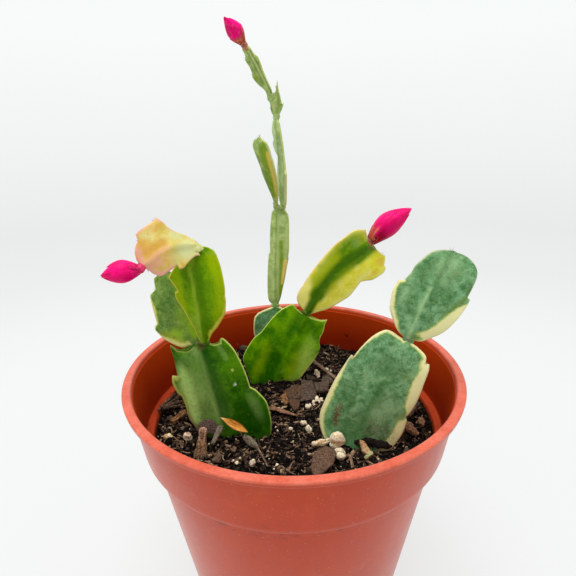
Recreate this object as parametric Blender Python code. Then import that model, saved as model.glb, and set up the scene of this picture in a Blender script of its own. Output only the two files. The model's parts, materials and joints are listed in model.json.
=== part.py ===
"""Potted Christmas cactus (Schlumbergera truncata), four rooted cuttings in a 10.5 cm plastic nursery pot.

Frame: origin at the centre of the pot's underside, +Z up, the front of the plant faces -Y.
All shapes are laid out in millimetres and written to the meshes in metres.
Every stem segment is its own object, as are the flower buds, the pot, the soil and the loose pieces on it.
"""

import math

import bmesh
import bpy
import numpy as np

for old in list(bpy.data.objects):
    bpy.data.objects.remove(old, do_unlink=True)

MM = 0.001
GAP = 0.35  # clearance between pieces that touch in the real plant, mm

# ---------------------------------------------------------------- pot dimensions, mm
POT_HEIGHT = 92.0
RIM_R = 52.5          # outside of the rolled lip
LIP_IN_R = 49.9       # inside edge of the lip
LIP_DROP = 1.6        # height of the lip's outer face
COLLAR_TOP_R = 50.6   # outside of the collar under the lip
COLLAR_LOW_R = 48.1   # outside of the collar at its lower edge
COLLAR_H = 19.0
LEDGE_Z = 74.0        # the inside step where the collar begins
LEDGE_OUT_R = 47.4
LEDGE_IN_R = 45.5
BODY_TOP_R = 46.0
BODY_LOW_R = 34.4
WALL = 0.75
FLOOR = 1.2
DRAIN_N = 5
DRAIN_R = 4.5
DRAIN_AT = 22.0
SEGS = 48             # facets round the pot and the soil

# ---------------------------------------------------------------- stem segment thickness, mm
EDGE_H = 0.40         # half thickness at the margin
RIB_H = 0.35          # extra half thickness of the midrib
FILL_LEN = 3.0        # how fast the flesh fills out from the margin

# Each stem segment hangs on a curved midrib from its base joint to its tip joint.
#   base, tip   ends of the midrib
#   bow         how far the middle of the midrib's control polygon stands off the straight line
#   w0, w1      direction across the segment at the base and at the tip
#   mid         half thickness of the flesh
#   cup         how far the margins curl towards the front
#   left/right  stations up each margin: (distance along the midrib, half width[, 1 where the margin has a
#               corner: a tooth, or the notch with the areole above it])
SEGMENTS = {
    "right_base_segment": dict(
        base=(15.0, -17.5, 66.0), tip=(32.5, -14.0, 105.8), bow=(0, -1.5, 0), w0=(1, -.30, 0), w1=(1, -.30, 0),
        mid=1.25, cup=-0.6,
        left=[(0, 2), (2.5, 6), (6.5, 11), (11, 13.5), (17, 14), (23.5, 14), (30.5, 13.2), (32.6, 12.8, 1),
              (32.1, 12, 1), (36, 11.2), (40.5, 9.6), (43.7, 7.3), (44.3, 5.2), (43.8, 2.6), (43.6, 1.4)],
        right=[(0, 2), (2.5, 5), (6.5, 8), (12, 9.5), (18, 10.2), (22.4, 9.6, 1), (23.4, 8.8, 1), (25, 9.3),
               (29.5, 9.5), (36, 8.8), (38.6, 8.5), (40.2, 7.9, 1), (39.9, 6.9, 1), (42, 6), (43.3, 3), (43.6, 1.4)]),
    "right_tip_segment": dict(
        base=(32.6, -13.8, 106.5), tip=(44.2, -8.5, 130.4), bow=(-1.2, -1.5, 0), w0=(1, -.05, 0), w1=(1, -.05, 0),
        mid=1.2, cup=0.5,
        left=[(0, 1.3), (1.4, 4.1), (5.4, 7.9), (7.2, 8.8), (11.1, 9.7), (14, 9.4, 1), (14.5, 8, 1), (17.4, 7.1),
              (19.2, 7), (23.7, 5.3), (25.2, 4.1), (26.4, 2.3), (27, 1)],
        right=[(0, 1.3), (0.4, 3.5), (2, 5.4), (5.5, 8.3), (9.8, 9.9), (14.5, 10.7), (17.2, 10.7, 1),
               (17.6, 9.8, 1), (21.2, 9.2), (24.3, 8.7), (26.3, 8, 1), (26.8, 6.1, 1), (27.2, 3.2), (27, 1)]),
    "left_base_segment": dict(
        base=(-17.2, -14.3, 65.6), tip=(-28.1, -5.4, 101.3), bow=(1.2, -1.2, 0), w0=(1, -.22, 0), w1=(1, -.22, 0),
        mid=1.3, cup=-0.6,
        left=[(0, 2), (2.5, 5.5), (6.5, 9), (13, 11.5), (16.8, 12.8), (20.3, 12.5), (24.3, 12.7), (25.2, 13.6),
              (28.8, 14.2), (30.4, 14), (31.9, 13.3, 1), (31, 11.6, 1), (33, 11.1), (38, 10.3), (41.6, 10, 1),
              (39, 8.1, 1), (37.8, 5), (38.1, 3.2), (38.6, 2)],
        right=[(0, 2), (2.5, 7), (6.5, 11.8), (9, 13), (11.5, 13.6), (16.2, 13.8), (19.2, 12.6), (20.9, 11.6, 1),
               (22, 10.4, 1), (25.4, 10.5), (29.8, 10.2), (34.3, 9.4), (37.6, 7.9), (38.4, 7.1, 1), (36.9, 6.5, 1),
               (37.2, 4.3), (38.3, 2.8), (38.6, 2)]),
    "left_rear_segment": dict(
        base=(-31.0, -3.0, 100.6), tip=(-39.3, 3.8, 122.4), bow=(-.5, -.6, 0), w0=(1, .25, 0), w1=(1, .25, 0),
        mid=1.1, cup=-0.4,
        left=[(0, 1.2), (.2, 3), (1.5, 4.7), (4.4, 7), (7.2, 8.3), (8.6, 8.7), (9.7, 8.2, 1), (9.9, 7.5, 1),
              (14.3, 7.1), (18, 6.6), (18.8, 6.3, 1), (19.7, 4.4, 1), (21.5, 4.1), (23, 3.8, 1), (23.8, 2.4, 1),
              (24.4, 1)],
        right=[(0, 1.2), (.5, 3.2), (2.9, 5.6), (6.7, 6.6), (10.1, 6.6, 1), (10.9, 5.6, 1), (14.4, 5.5), (18.3, 5),
               (21.1, 3.7, 1), (22.1, 2.7, 1), (24.4, 1)]),
    "left_front_segment": dict(
        base=(-26.7, -6.2, 102.7), tip=(-26.9, -3.4, 131.9), bow=(-1.3, -1.4, 0), w0=(1, -.1, 0), w1=(1, -.1, 0),
        mid=1.2, cup=0.6,
        left=[(0, 1.1), (2.9, 2), (5.5, 2.8), (10.5, 4.9), (12.6, 6.2), (14.4, 7), (15.9, 7, 1), (16.1, 6.2, 1),
              (17, 6.7), (18.7, 7.8), (20.1, 8.7, 1), (22.2, 7.4, 1), (25.4, 5), (28, 2.7), (29.3, 1.1)],
        right=[(0, 1.1), (2.9, 3), (4.8, 4.8), (8.7, 7.4), (10.3, 7.8), (13.4, 8.1, 1), (14.4, 7.9, 1), (16.6, 8),
               (18.8, 7.8), (21.8, 7.3), (24.2, 6.7), (27.4, 5.5, 1), (28.5, 4.6, 1), (29.3, 2.8), (29.3, 1.1)]),
    "left_tip_segment": dict(
        base=(-27.5, -4.9, 132.2), tip=(-41.0, -11.0, 128.2), bow=(0, 0, 4.0), w0=(.1, .5, 1), w1=(-.25, -.15, 1),
        mid=1.0, cup=0.5,
        left=[(0, .9), (-1.2, 1.8), (-1.9, 2.8, 1), (-.7, 3, 1), (2.1, 5.1), (3.6, 6.2), (5.2, 6.6), (6.5, 6.4, 1),
              (6.8, 5.2, 1), (9.3, 5.7), (12.7, 6), (14.4, 5.6), (15, 4.9), (15.6, 3.6, 1), (15.7, 2.2, 1), (16, 1)],
        right=[(0, 1), (1.3, 1.9), (3, 3), (4.7, 4), (5.9, 5.5), (6.5, 7.1), (7.5, 9.1, 1), (7.9, 8.3, 1), (9.8, 7.9),
               (11.1, 7.8), (12.1, 7.5, 1), (12.5, 5.9, 1), (14.5, 4.4), (15.8, 2.2), (16, 1)]),
    "centre_base_segment": dict(
        base=(-11.6, 14.4, 66.0), tip=(4.7, 19.7, 100.5), bow=(0, -1, 0), w0=(1, -.05, -.3), w1=(1, -.05, -.3),
        mid=1.25, cup=0.8,
        left=[(0, 1.8), (2, 3), (5.8, 5), (6.3, 7), (9.5, 9.8), (13.7, 13.6), (16.9, 14.2), (22.1, 13.6),
              (24.5, 12.7), (26.2, 11.8, 1), (29, 11.2, 1), (32.5, 10.3), (35.4, 9.2), (38, 7.6), (40.3, 5.4, 1),
              (39.2, 4, 1), (38.5, 1.9), (38.5, 1.2)],
        right=[(0, 1.8), (3, 3), (8, 4), (11.8, 4.8), (15.4, 8), (18.3, 8.8), (24.3, 10), (27.3, 10.3),
               (29.6, 10, 1), (31.2, 8.9, 1), (32.7, 8.6), (35.1, 8.7), (37.8, 8.2), (39.9, 8.1, 1), (38.8, 6.2, 1),
               (38.3, 2.9), (38.5, 1.2)]),
    "centre_tip_segment": dict(
        base=(5.4, 19.2, 101.3), tip=(27.6, 25.4, 125.0), bow=(-1.8, -1.0, 1.8), w0=(1, .12, -.9), w1=(1, .1, -1),
        mid=1.1, cup=0.6,
        left=[(0, 1.2), (.3, 2.6), (1.2, 4.9), (2.8, 6.6), (4.9, 7.3), (7.2, 7.4), (12.7, 8), (20, 8.3),
              (24.3, 8.3), (26.6, 8, 1), (28.3, 7.7, 1), (30.7, 7.5), (32.7, 6.6), (34.9, 4.6, 1), (34.1, 2.8, 1),
              (33.5, 1.1)],
        right=[(0, 1.2), (3.4, 4.2), (6.2, 6.1), (12.4, 8.5), (14.9, 9), (18.2, 8.8), (21.4, 8.5, 1),
               (23.2, 9.7, 1), (25.5, 11.2), (30.2, 12), (32.4, 11.3, 1), (32.6, 9.9, 1), (33.8, 9), (35, 7.6, 1),
               (34.4, 6.3, 1), (33.7, 2.8), (33.5, 1.1)]),
    "back_base_segment": dict(
        base=(-5.5, 29.0, 67.5), tip=(-6.2, 30.5, 99.5), bow=(2, 0, 0), w0=(1, -.1, 0), w1=(1, -.1, 0),
        mid=1.2, cup=0.4,
        left=[(0, 1.8), (3, 5), (8, 8), (14, 9.4), (20, 9.7), (22.7, 9.8), (26, 9.4), (28.5, 8.7), (30.1, 7.3, 1),
              (31, 5.2, 1), (31.5, 3.4), (32, 1.4)],
        right=[(0, 1.8), (3, 5), (8, 8), (14, 9.2), (20, 9.4), (25, 9, 1), (26, 8, 1), (28.5, 7), (30, 4.6, 1),
               (30.8, 3, 1), (32, 1.4)]),
    "back_second_segment": dict(
        base=(-6.2, 30.5, 100.3), tip=(-4.0, 33.0, 136.2), bow=(-.6, -.8, 0), w0=(1, -.35, 0), w1=(1, -.2, 0),
        mid=1.2, cup=0.0,
        left=[(0, 1.1), (1, 2.4), (3, 3), (7.7, 3.2), (13.5, 3.2), (19.3, 3, 1), (20, 2.5, 1), (22, 2.6),
              (26.7, 2.8), (31.5, 2.8), (34.7, 2.6, 1), (35.5, 2, 1), (36.4, 1.1)],
        right=[(0, 1.1), (3.1, 2.2), (7.2, 3), (10.3, 3.6), (15, 4.2), (18.1, 4.7, 1), (19.4, 4.5, 1), (21.8, 4.7),
               (27.3, 4.4), (32, 4), (34.5, 3.5, 1), (35.6, 2.6, 1), (36.4, 1.1)]),
    "back_side_segment": dict(
        base=(-4.7, 31.2, 137.0), tip=(-9.8, 25.0, 160.9), bow=(-.9, -2, 0), w0=(1, -.9, .3), w1=(1, -.8, .2),
        mid=0.85, cup=0.0,
        left=[(0, .6), (2, .5), (5, .5), (8.2, 1), (13, 1.9, 1), (14.4, 1.9, 1), (16.5, 2.2), (19.9, 3), (22, 3.4),
              (23.3, 3.3, 1), (24.2, 2.7, 1), (24.9, 1.8, 1), (24.8, .8)],
        right=[(0, .6), (3.3, 1.6), (7.4, 3.1), (11.1, 3.8), (14.6, 4), (17.9, 3.9, 1), (19.2, 3.6, 1),
               (21.1, 3.5), (23, 3), (23.8, 2.4, 1), (24.2, 1.4, 1), (24.8, .8)]),
    "back_third_segment": dict(
        base=(-2.7, 33.6, 137.0), tip=(-4.3, 33.0, 166.6), bow=(.9, 0, 0), w0=(.22, -1, 0), w1=(.26, -1, 0),
        mid=0.95, cup=0.0,
        left=[(0, 1.2), (1.6, 4.6), (5, 6.4), (8.7, 6.6), (12.5, 5.1), (16.2, 2.9, 1), (17.2, 2.4, 1), (18.6, 6),
              (20.8, 8.8), (22.2, 8.7, 1), (23.1, 6.6, 1), (25.7, 7.8), (27.7, 6.4), (29.4, 4.2, 1), (29.4, 2.6, 1),
              (29.6, 1.1)],
        right=[(0, 1.2), (1.2, 4.6), (5, 5.6), (9.5, 6.4), (11.9, 6.8, 1), (13.4, 5.8, 1), (15, 5.6), (18.2, 5),
               (22.3, 4.4, 1), (23.3, 4, 1), (26.1, 3.4), (28.4, 2.8, 1), (29.2, 1.7, 1), (29.6, 1.1)]),
    "back_fourth_segment": dict(
        base=(-4.2, 33.0, 167.3), tip=(-5.6, 32.0, 172.6), bow=(.3, 0, 0), w0=(1, -.55, .2), w1=(1, -.5, .3),
        mid=0.9, cup=0.0,
        left=[(0, .9), (1.2, 1.5), (2.5, 1.6), (3.1, 1.6, 1), (3.5, 1.3, 1), (4.7, 1.2), (5.5, .8)],
        right=[(0, .9), (.9, 1.6), (2.2, 2.8), (3.6, 3.7, 1), (3.2, 2.9, 1), (4.8, 3.1), (6.2, 3.3), (7.8, 3.5),
               (10.5, 4.2, 1), (8.6, 3, 1), (6.4, 2.1), (5.6, 1.4), (5.5, .8)]),
    "back_top_segment": dict(
        base=(-5.9, 31.8, 173.3), tip=(-13.3, 26.0, 187.3), bow=(.8, -.6, .6), w0=(1, -.35, .55), w1=(1, -.2, .6),
        mid=0.95, cup=0.0,
        left=[(0, .8), (1.3, .9), (2.9, 1.2), (4.7, 2.1), (6.4, 2.7), (8.2, 3, 1), (8.9, 2.5, 1), (11.3, 2.2),
              (13, 2.3), (13.9, 2.3, 1), (14.4, 1.7, 1), (15.4, 1.4), (16.7, 1.3, 1), (17, .8)],
        right=[(0, .8), (1.9, 1.1), (4.3, 1.1), (6.6, 1.1), (8.8, 1.3), (10.6, 1.6), (12.7, 1.8, 1), (13.4, 1.3, 1),
               (14.2, 1.2), (16, 1.2), (17, .8)]),
}

# Closed flower buds: neck, tip, largest radius, how far the axis bows, where the bud is widest.
BUDS = {
    "left_bud": dict(neck=(-41.3, -12.3, 127.8), tip=(-50.9, -15.2, 127.1), r=2.9, bow=(0, 0, .2), widest=.45),
    "centre_bud": dict(neck=(28.3, 25.4, 125.8), tip=(41.8, 25.2, 136.7), r=4.05, bow=(-.5, 0, .7), widest=.45),
    "back_bud": dict(neck=(-13.8, 25.5, 188.2), tip=(-18.7, 20.9, 194.3), r=2.35, bow=(-.1, 0, .3), widest=.42),
}

# Loose pieces of the potting mix that can be told apart.
# slab: centre, length, width, thickness, turn about Z, tilt about its length, tilt about its width
SLABS = {
    "bark_disc": dict(at=(-26.3, -14.4, 77.4), size=(5.4, 5.6, 1.0), turn=8, roll=72, pitch=0, n=9, seed=3),
    "pale_wood_fragment": dict(at=(-23.0, -17.7, 77.9), size=(3.8, 2.4, .8), turn=50, roll=40, pitch=-26, n=5, seed=5),
    "front_bark_chip": dict(at=(7.6, -26.6, 75.1), size=(8.8, 5.6, 1.1), turn=72, roll=6, pitch=3, n=6, seed=7),
    "centre_bark_chip": dict(at=(1.9, 7.6, 75.3), size=(10.3, 8.7, 1.4), turn=30, roll=8, pitch=-5, n=6, seed=11),
    "centre_rear_bark_chip": dict(at=(10.6, 10.8, 75.9), size=(6.2, 4.0, 1.2), turn=-38, roll=-8, pitch=6, n=6,
                                  seed=13),
    "left_bark_chip": dict(at=(-41.2, 2.6, 75.1), size=(6.8, 3.2, 1.5), turn=52, roll=10, pitch=-8, n=6, seed=17),
    "right_front_bark_chip": dict(at=(36.2, -13.0, 74.6), size=(5.6, 2.6, 1.0), turn=-52, roll=5, pitch=5, n=5,
                                  seed=23),
    "right_round_chip": dict(at=(40.2, -9.2, 74.8), size=(2.4, 2.0, .9), turn=10, roll=12, pitch=0, n=6, seed=73),
    "tan_bark_chip": dict(at=(20.5, -22.6, 74.9), size=(4.4, 2.6, 1.1), turn=-56, roll=-10, pitch=6, n=6, seed=29),
    "pale_bark_chip": dict(at=(21.0, -24.8, 74.5), size=(2.8, 1.6, .8), turn=15, roll=5, pitch=0, n=5, seed=79),
    "small_front_bark_chip": dict(at=(-22.2, -24.6, 74.7), size=(2.9, 2.2, .9), turn=70, roll=6, pitch=0, n=5, seed=31),
    "rear_bark_chip": dict(at=(-19.8, 40.0, 77.2), size=(5.0, 3.6, 1.6), turn=-20, roll=-14, pitch=6, n=6, seed=37),
}
# stick: the two ends, radii at the ends, sideways bow
STICKS = {
    "upright_stick": dict(a=(-27.8, -21.8, 72.8), b=(-26.9, -17.8, 80.2), ra=1.35, rb=1.2, bow=(.1, -.3, 0)),
    "leaf_stalk": dict(a=(-14.5, -18.0, 77.4), b=(-11.0, -19.4, 74.8), ra=.85, rb=.6, bow=(0, -.3, .4)),
    "thin_twig": dict(a=(-10.4, -20.6, 74.9), b=(-8.2, -26.6, 74.2), ra=.34, rb=.3, bow=(.2, 0, .4)),
    "long_twig": dict(a=(7.6, 27.4, 77.7), b=(16.0, 15.8, 76.0), ra=.45, rb=.4, bow=(.4, .2, .5)),
    "reddish_stick": dict(a=(-7.8, .0, 75.0), b=(1.0, -4.5, 74.8), ra=.95, rb=.75, bow=(0, .2, .3)),
    "orange_tipped_stick": dict(a=(-39.4, -6.2, 74.4), b=(-35.3, -3.4, 76.6), ra=1.15, rb=.6, bow=(.2, .2, .2)),
    "right_bark_stick": dict(a=(36.8, -5.4, 74.7), b=(41.6, .6, 75.3), ra=1.1, rb=.9, bow=(0, .2, .2)),
}
# grain: centre, half axes, seed
GRAINS = {
    "large_perlite": dict(at=(12.7, -19.6, 77.0), r=(2.3, 1.55, 1.65), seed=41),
    "lower_perlite": dict(at=(12.0, -21.4, 74.3), r=(1.7, 1.3, 1.3), seed=42),
    "front_perlite": dict(at=(13.4, -24.2, 74.8), r=(1.8, 1.35, 1.25), seed=43),
    "left_perlite": dict(at=(6.6, -18.4, 74.8), r=(1.5, 1.0, .95), seed=47),
    "middle_perlite": dict(at=(9.2, -16.4, 75.0), r=(1.0, .8, .9), seed=48),
    "inner_perlite": dict(at=(4.5, -12.0, 74.9), r=(.95, 1.0, 1.2), seed=53),
    "small_perlite": dict(at=(3.1, -8.5, 74.9), r=(.95, .75, .8), seed=54),
    "rear_perlite": dict(at=(9.1, 19.6, 76.4), r=(1.0, .9, 1.2), seed=59),
    "front_left_perlite": dict(at=(-12.0, -26.2, 74.7), r=(.95, .9, 1.1), seed=60),
    "pink_porous_grain": dict(at=(-32.6, -14.6, 75.0), r=(1.4, 1.3, 1.5), seed=61),
    "tan_grain": dict(at=(-38.7, -13.6, 74.5), r=(1.35, 1.1, .95), seed=67),
}
DRIED_LEAF = dict(a=(-21.9, -15.9, 82.5), b=(-15.5, -17.4, 78.9), width=2.4)


# ---------------------------------------------------------------- helpers
def unit(v):
    v = np.asarray(v, float)
    return v / np.linalg.norm(v)


def material(name, color, rough, metallic=0.0):
    m = bpy.data.materials.get(name)
    if m:
        return m
    m = bpy.data.materials.new(name)
    m.use_nodes = True
    b = m.node_tree.nodes["Principled BSDF"]
    b.inputs["Base Color"].default_value = (*color, 1)
    b.inputs["Roughness"].default_value = rough
    b.inputs["Metallic"].default_value = metallic
    m.diffuse_color = (*color, 1)
    return m


root = bpy.data.objects.new("plant_and_pot", None)
bpy.context.scene.collection.objects.link(root)


def add(name, verts, faces, mat=None, smooth=40, cutter=False):
    """A closed mesh object from points in mm, its faces turned outwards."""
    me = bpy.data.meshes.new(name)
    me.from_pydata([tuple(float(c) * MM for c in v) for v in verts], [], [tuple(f) for f in faces])
    bm = bmesh.new()
    bm.from_mesh(me)
    bmesh.ops.recalc_face_normals(bm, faces=bm.faces)
    if sum(f.calc_area() * f.normal.dot(f.calc_center_median()) for f in bm.faces) < 0:
        bmesh.ops.reverse_faces(bm, faces=bm.faces)
    bm.to_mesh(me)
    bm.free()
    ob = bpy.data.objects.new(name, me)
    bpy.context.scene.collection.objects.link(ob)
    ob.parent = root
    if mat:
        me.materials.append(mat)
    if smooth:
        me.shade_smooth()
        me.set_sharp_from_angle(angle=math.radians(smooth))
    if cutter:
        ob.hide_render = True
        ob.display_type = "WIRE"
    return ob


def cut(ob, cutter):
    m = ob.modifiers.new("cut_" + cutter.name, "BOOLEAN")
    m.operation = "DIFFERENCE"
    m.solver = "EXACT"
    m.object = cutter


def grown(ob, by):
    """Points and faces of a mesh, each point moved outwards by `by` mm along its normal."""
    bm = bmesh.new()
    bm.from_mesh(ob.data)
    bm.normal_update()
    v = [np.array(p.co) / MM + np.array(p.normal) * by * max(1.0, min(p.calc_shell_factor(), 1.6)) for p in bm.verts]
    f = [[p.index for p in g.verts] for g in bm.faces]
    bm.free()
    return v, f


# ---------------------------------------------------------------- stem segments
def margin(stations):
    """Margin curve through its stations: rounded between corners, sharp at them. Returns (t, points, corner t)."""
    p = np.array([s[:2] for s in stations], float)
    corner = [0] + [i for i, s in enumerate(stations) if len(s) > 2] + [len(p) - 1]
    out, marks = [p[0]], []
    for a, b in zip(corner[:-1], corner[1:]):
        run = p[a:b + 1]
        if len(run) == 2:
            pts = [run[0] * (1 - k / 4) + run[1] * k / 4 for k in range(1, 5)]
        else:
            ext = np.vstack([2 * run[0] - run[1], run, 2 * run[-1] - run[-2]])
            pts = []
            for i in range(1, len(ext) - 2):
                p0, p1, p2, p3 = ext[i - 1:i + 3]
                for k in range(1, 7):
                    t = k / 6
                    pts.append(.5 * ((2 * p1) + (p2 - p0) * t + (2 * p0 - 5 * p1 + 4 * p2 - p3) * t * t
                                     + (3 * p1 - p0 - 3 * p2 + p3) * t ** 3))
        out += pts
        marks.append(len(out) - 1)
    out = np.array(out)
    d = np.r_[0, np.cumsum(np.linalg.norm(np.diff(out, axis=0), axis=1))]
    t = d / d[-1]
    return t, out, [t[m] for m in marks[:-1]]


class Spine:
    """Curved midrib with its length scale, direction across it, and the face direction."""

    def __init__(self, base, tip, bow, w0, w1, **_):
        self.b, self.t = np.array(base, float), np.array(tip, float)
        self.m = (self.b + self.t) / 2 + np.array(bow, float)
        self.w0, self.w1 = unit(w0), unit(w1)
        self.q = np.linspace(0, 1, 201)
        p = np.array([self.point(q) for q in self.q])
        self.d = np.r_[0, np.cumsum(np.linalg.norm(np.diff(p, axis=0), axis=1))]
        self.length = self.d[-1]

    def point(self, q):
        return (1 - q) ** 2 * self.b + 2 * q * (1 - q) * self.m + q * q * self.t

    def place(self, u, v, off):
        q = np.interp(v, self.d, self.q)
        tan = unit(2 * (1 - q) * (self.m - self.b) + 2 * q * (self.t - self.m))
        p = self.point(q)
        p = p + tan * (min(v, 0) + max(v - self.length, 0))
        w = (1 - q) * self.w0 + q * self.w1
        w = unit(w - tan * (w @ tan))
        n = np.cross(w, tan)
        return p + u * w + off * n


def segment(spec, rows=13, cols=(-1, -.6, 0, .6, 1)):
    """Flattened fleshy stem segment: thin at its toothed margins, thicker inside, ribbed along the middle."""
    sp = Spine(**spec)
    tl, pl, cl = margin(spec["left"])
    tr, pr, cr = margin(spec["right"])
    ts = sorted(cl + cr)
    grid = [0.0, 1.0]
    for t in ts:
        if min(abs(t - g) for g in grid) > .006:
            grid.append(t)
    for k in range(1, rows):
        t = k / rows
        if min(abs(t - g) for g in grid) > .5 / rows:
            grid.append(t)
    grid = np.array(sorted(grid))

    def side(t, tt, pp):
        return np.array([np.interp(t, tt, pp[:, 0]), np.interp(t, tt, pp[:, 1])])

    vl = np.array([side(t, tl, pl) for t in grid])
    vr = np.array([side(t, tr, pr) for t in grid])
    vm = np.maximum.accumulate((vl[:, 0] + vr[:, 0]) / 2)
    vm = .8 * (vm - vm[0]) / (vm[-1] - vm[0]) + .2 * grid
    vm = vm * sp.length
    edge = np.vstack([pl * [1, -1], (pr * [1, 1])[::-1]])   # (v, u) round the margin
    seg_a, seg_b = edge[:-1], edge[1:]
    keep = np.ones(len(seg_a), bool)
    keep[len(pl) - 1] = False                                # the tip joint is not a margin
    seg_a, seg_b = seg_a[keep], seg_b[keep]

    def to_margin(v, u):
        p = np.array([v, u])
        ab = seg_b - seg_a
        k = np.clip(((p - seg_a) * ab).sum(1) / np.maximum((ab * ab).sum(1), 1e-9), 0, 1)
        return np.sqrt((((seg_a + ab * k[:, None]) - p) ** 2).sum(1).min())

    wmax = max(vl[:, 1].max(), vr[:, 1].max())
    front, back = [], []
    for i in range(len(grid)):
        for s in cols:
            e = vl[i] if s < 0 else vr[i]
            v = vm[i] + (e[0] - vm[i]) * abs(s)
            u = e[1] * s
            d = to_margin(v, u)
            h = EDGE_H + (spec["mid"] - RIB_H * .5 - EDGE_H) * (1 - math.exp(-d / FILL_LEN)) \
                + RIB_H * math.exp(-(u / 1.3) ** 2) * min(1, d / 1.5)
            off = spec["cup"] * (u / wmax) ** 2
            front.append(sp.place(u, v, off + h))
            back.append(sp.place(u, v, off - h))
    n, m = len(grid), len(cols)
    f = lambda i, j: i * m + j
    g = lambda i, j: n * m + i * m + j
    faces = []
    for i in range(n - 1):
        for j in range(m - 1):
            faces.append((f(i, j), f(i, j + 1), f(i + 1, j + 1), f(i + 1, j)))
            faces.append((g(i, j), g(i + 1, j), g(i + 1, j + 1), g(i, j + 1)))
        faces.append((f(i, 0), f(i + 1, 0), g(i + 1, 0), g(i, 0)))
        faces.append((f(i, m - 1), g(i, m - 1), g(i + 1, m - 1), f(i + 1, m - 1)))
    for j in range(m - 1):
        faces.append((f(0, j), g(0, j), g(0, j + 1), f(0, j + 1)))
        faces.append((f(n - 1, j), f(n - 1, j + 1), g(n - 1, j + 1), g(n - 1, j)))
    return front + back, faces


GREENS = {"right": (.13, .24, .10), "left": (.10, .26, .05), "centre": (.20, .32, .03), "back": (.24, .36, .14)}
base_segments = []
for name, spec in SEGMENTS.items():
    green = GREENS[name.split("_")[0]]
    ob = add(name, *segment(spec), mat=material("stem_" + name.split("_")[0], green, .38), smooth=50)
    if name in ("right_base_segment", "left_base_segment", "centre_base_segment", "back_base_segment"):
        base_segments.append(ob)

# the peach-coloured youngest segment
peach = material("stem_young", (.62, .42, .15), .4)
bpy.data.objects["left_tip_segment"].data.materials[0] = peach


# ---------------------------------------------------------------- flower buds
def bud(neck, tip, r, bow, widest, sides=10):
    a, b = np.array(neck, float), np.array(tip, float)
    m = (a + b) / 2 + np.array(bow, float)
    prof = [(0, .36), (.07, .58), (.16, .80), (widest * .72, .96), (widest, 1.0), (.62, .88), (.78, .60), (.90, .30),
            (.97, .12)]
    ref = unit(np.cross(b - a, (0, 1, .2)))
    verts, faces = [], []
    for q, k in prof:
        p = (1 - q) ** 2 * a + 2 * q * (1 - q) * m + q * q * b
        t = unit(2 * (1 - q) * (m - a) + 2 * q * (b - m))
        x = unit(ref - t * (ref @ t))
        y = np.cross(t, x)
        for i in range(sides):
            c = 2 * math.pi * i / sides
            verts.append(p + r * k * (x * math.cos(c) + .92 * y * math.sin(c)))
    verts += [a, b]
    n = len(prof)
    for j in range(n - 1):
        for i in range(sides):
            faces.append((j * sides + i, j * sides + (i + 1) % sides, (j + 1) * sides + (i + 1) % sides,
                          (j + 1) * sides + i))
    for i in range(sides):
        faces.append((n * sides, (i + 1) % sides, i))
        faces.append((n * sides + 1, (n - 1) * sides + i, (n - 1) * sides + (i + 1) % sides))
    return verts, faces


pink = material("bud_magenta", (.80, .005, .16), .35)
for name, spec in BUDS.items():
    add(name, *bud(**spec), mat=pink, smooth=60)


# ---------------------------------------------------------------- pot
def turned(profile, segs=SEGS):
    """Solid of revolution from (radius, height) points; a point at radius 0 closes the axis."""
    verts, faces, rings = [], [], []
    for r, z in profile:
        if r == 0:
            rings.append([len(verts)])
            verts.append((0, 0, z))
        else:
            rings.append(list(range(len(verts), len(verts) + segs)))
            verts += [(r * math.cos(2 * math.pi * i / segs), r * math.sin(2 * math.pi * i / segs), z)
                      for i in range(segs)]
    for a, b in zip(rings[:-1], rings[1:]):
        for i in range(segs):
            k = (i + 1) % segs
            if len(a) == 1:
                faces.append((a[0], b[k], b[i]))
            elif len(b) == 1:
                faces.append((a[i], a[k], b[0]))
            else:
                faces.append((a[i], a[k], b[k], b[i]))
    return verts, faces


collar_z = POT_HEIGHT - COLLAR_H
slope = (BODY_TOP_R - BODY_LOW_R) / collar_z
inside_low = BODY_LOW_R + slope * FLOOR - WALL
pot_profile = [
    (0, 0), (BODY_LOW_R - 1.2, 0), (BODY_LOW_R - .1, .9), (BODY_TOP_R, collar_z), (COLLAR_LOW_R, collar_z),
    (COLLAR_LOW_R + .15, collar_z + .8), (COLLAR_TOP_R, POT_HEIGHT - LIP_DROP - .5), (RIM_R - .15, POT_HEIGHT - LIP_DROP),
    (RIM_R, POT_HEIGHT - .3), (RIM_R - .3, POT_HEIGHT), (LIP_IN_R + .3, POT_HEIGHT), (LIP_IN_R, POT_HEIGHT - .4),
    (LEDGE_OUT_R, LEDGE_Z), (LEDGE_IN_R, LEDGE_Z), (LEDGE_IN_R - .3, LEDGE_Z - .5),
    (inside_low + .9, FLOOR + .9), (inside_low, FLOOR), (0, FLOOR)]
pot = add("pot", *turned(pot_profile), mat=material("pot_terracotta_plastic", (.42, .085, .045), .42), smooth=35)
for k in range(DRAIN_N):
    c = 2 * math.pi * (k + .5) / DRAIN_N + .04
    x, y = DRAIN_AT * math.cos(c), DRAIN_AT * math.sin(c)
    ring = [(x + DRAIN_R * math.cos(2 * math.pi * i / 14 + .13), y + DRAIN_R * math.sin(2 * math.pi * i / 14 + .13))
            for i in range(14)]
    v = [(*p, -2) for p in ring] + [(*p, FLOOR + 2) for p in ring]
    f = [tuple(range(14)), tuple(range(14, 28))] + [(i, (i + 1) % 14, 14 + (i + 1) % 14, 14 + i) for i in range(14)]
    cut(pot, add(f"drain_cutter_{k}", v, f, smooth=0, cutter=True))


# ---------------------------------------------------------------- soil
def ease(x):
    x = min(max(x, 0.0), 1.0)
    return x * x * (3 - 2 * x)


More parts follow.
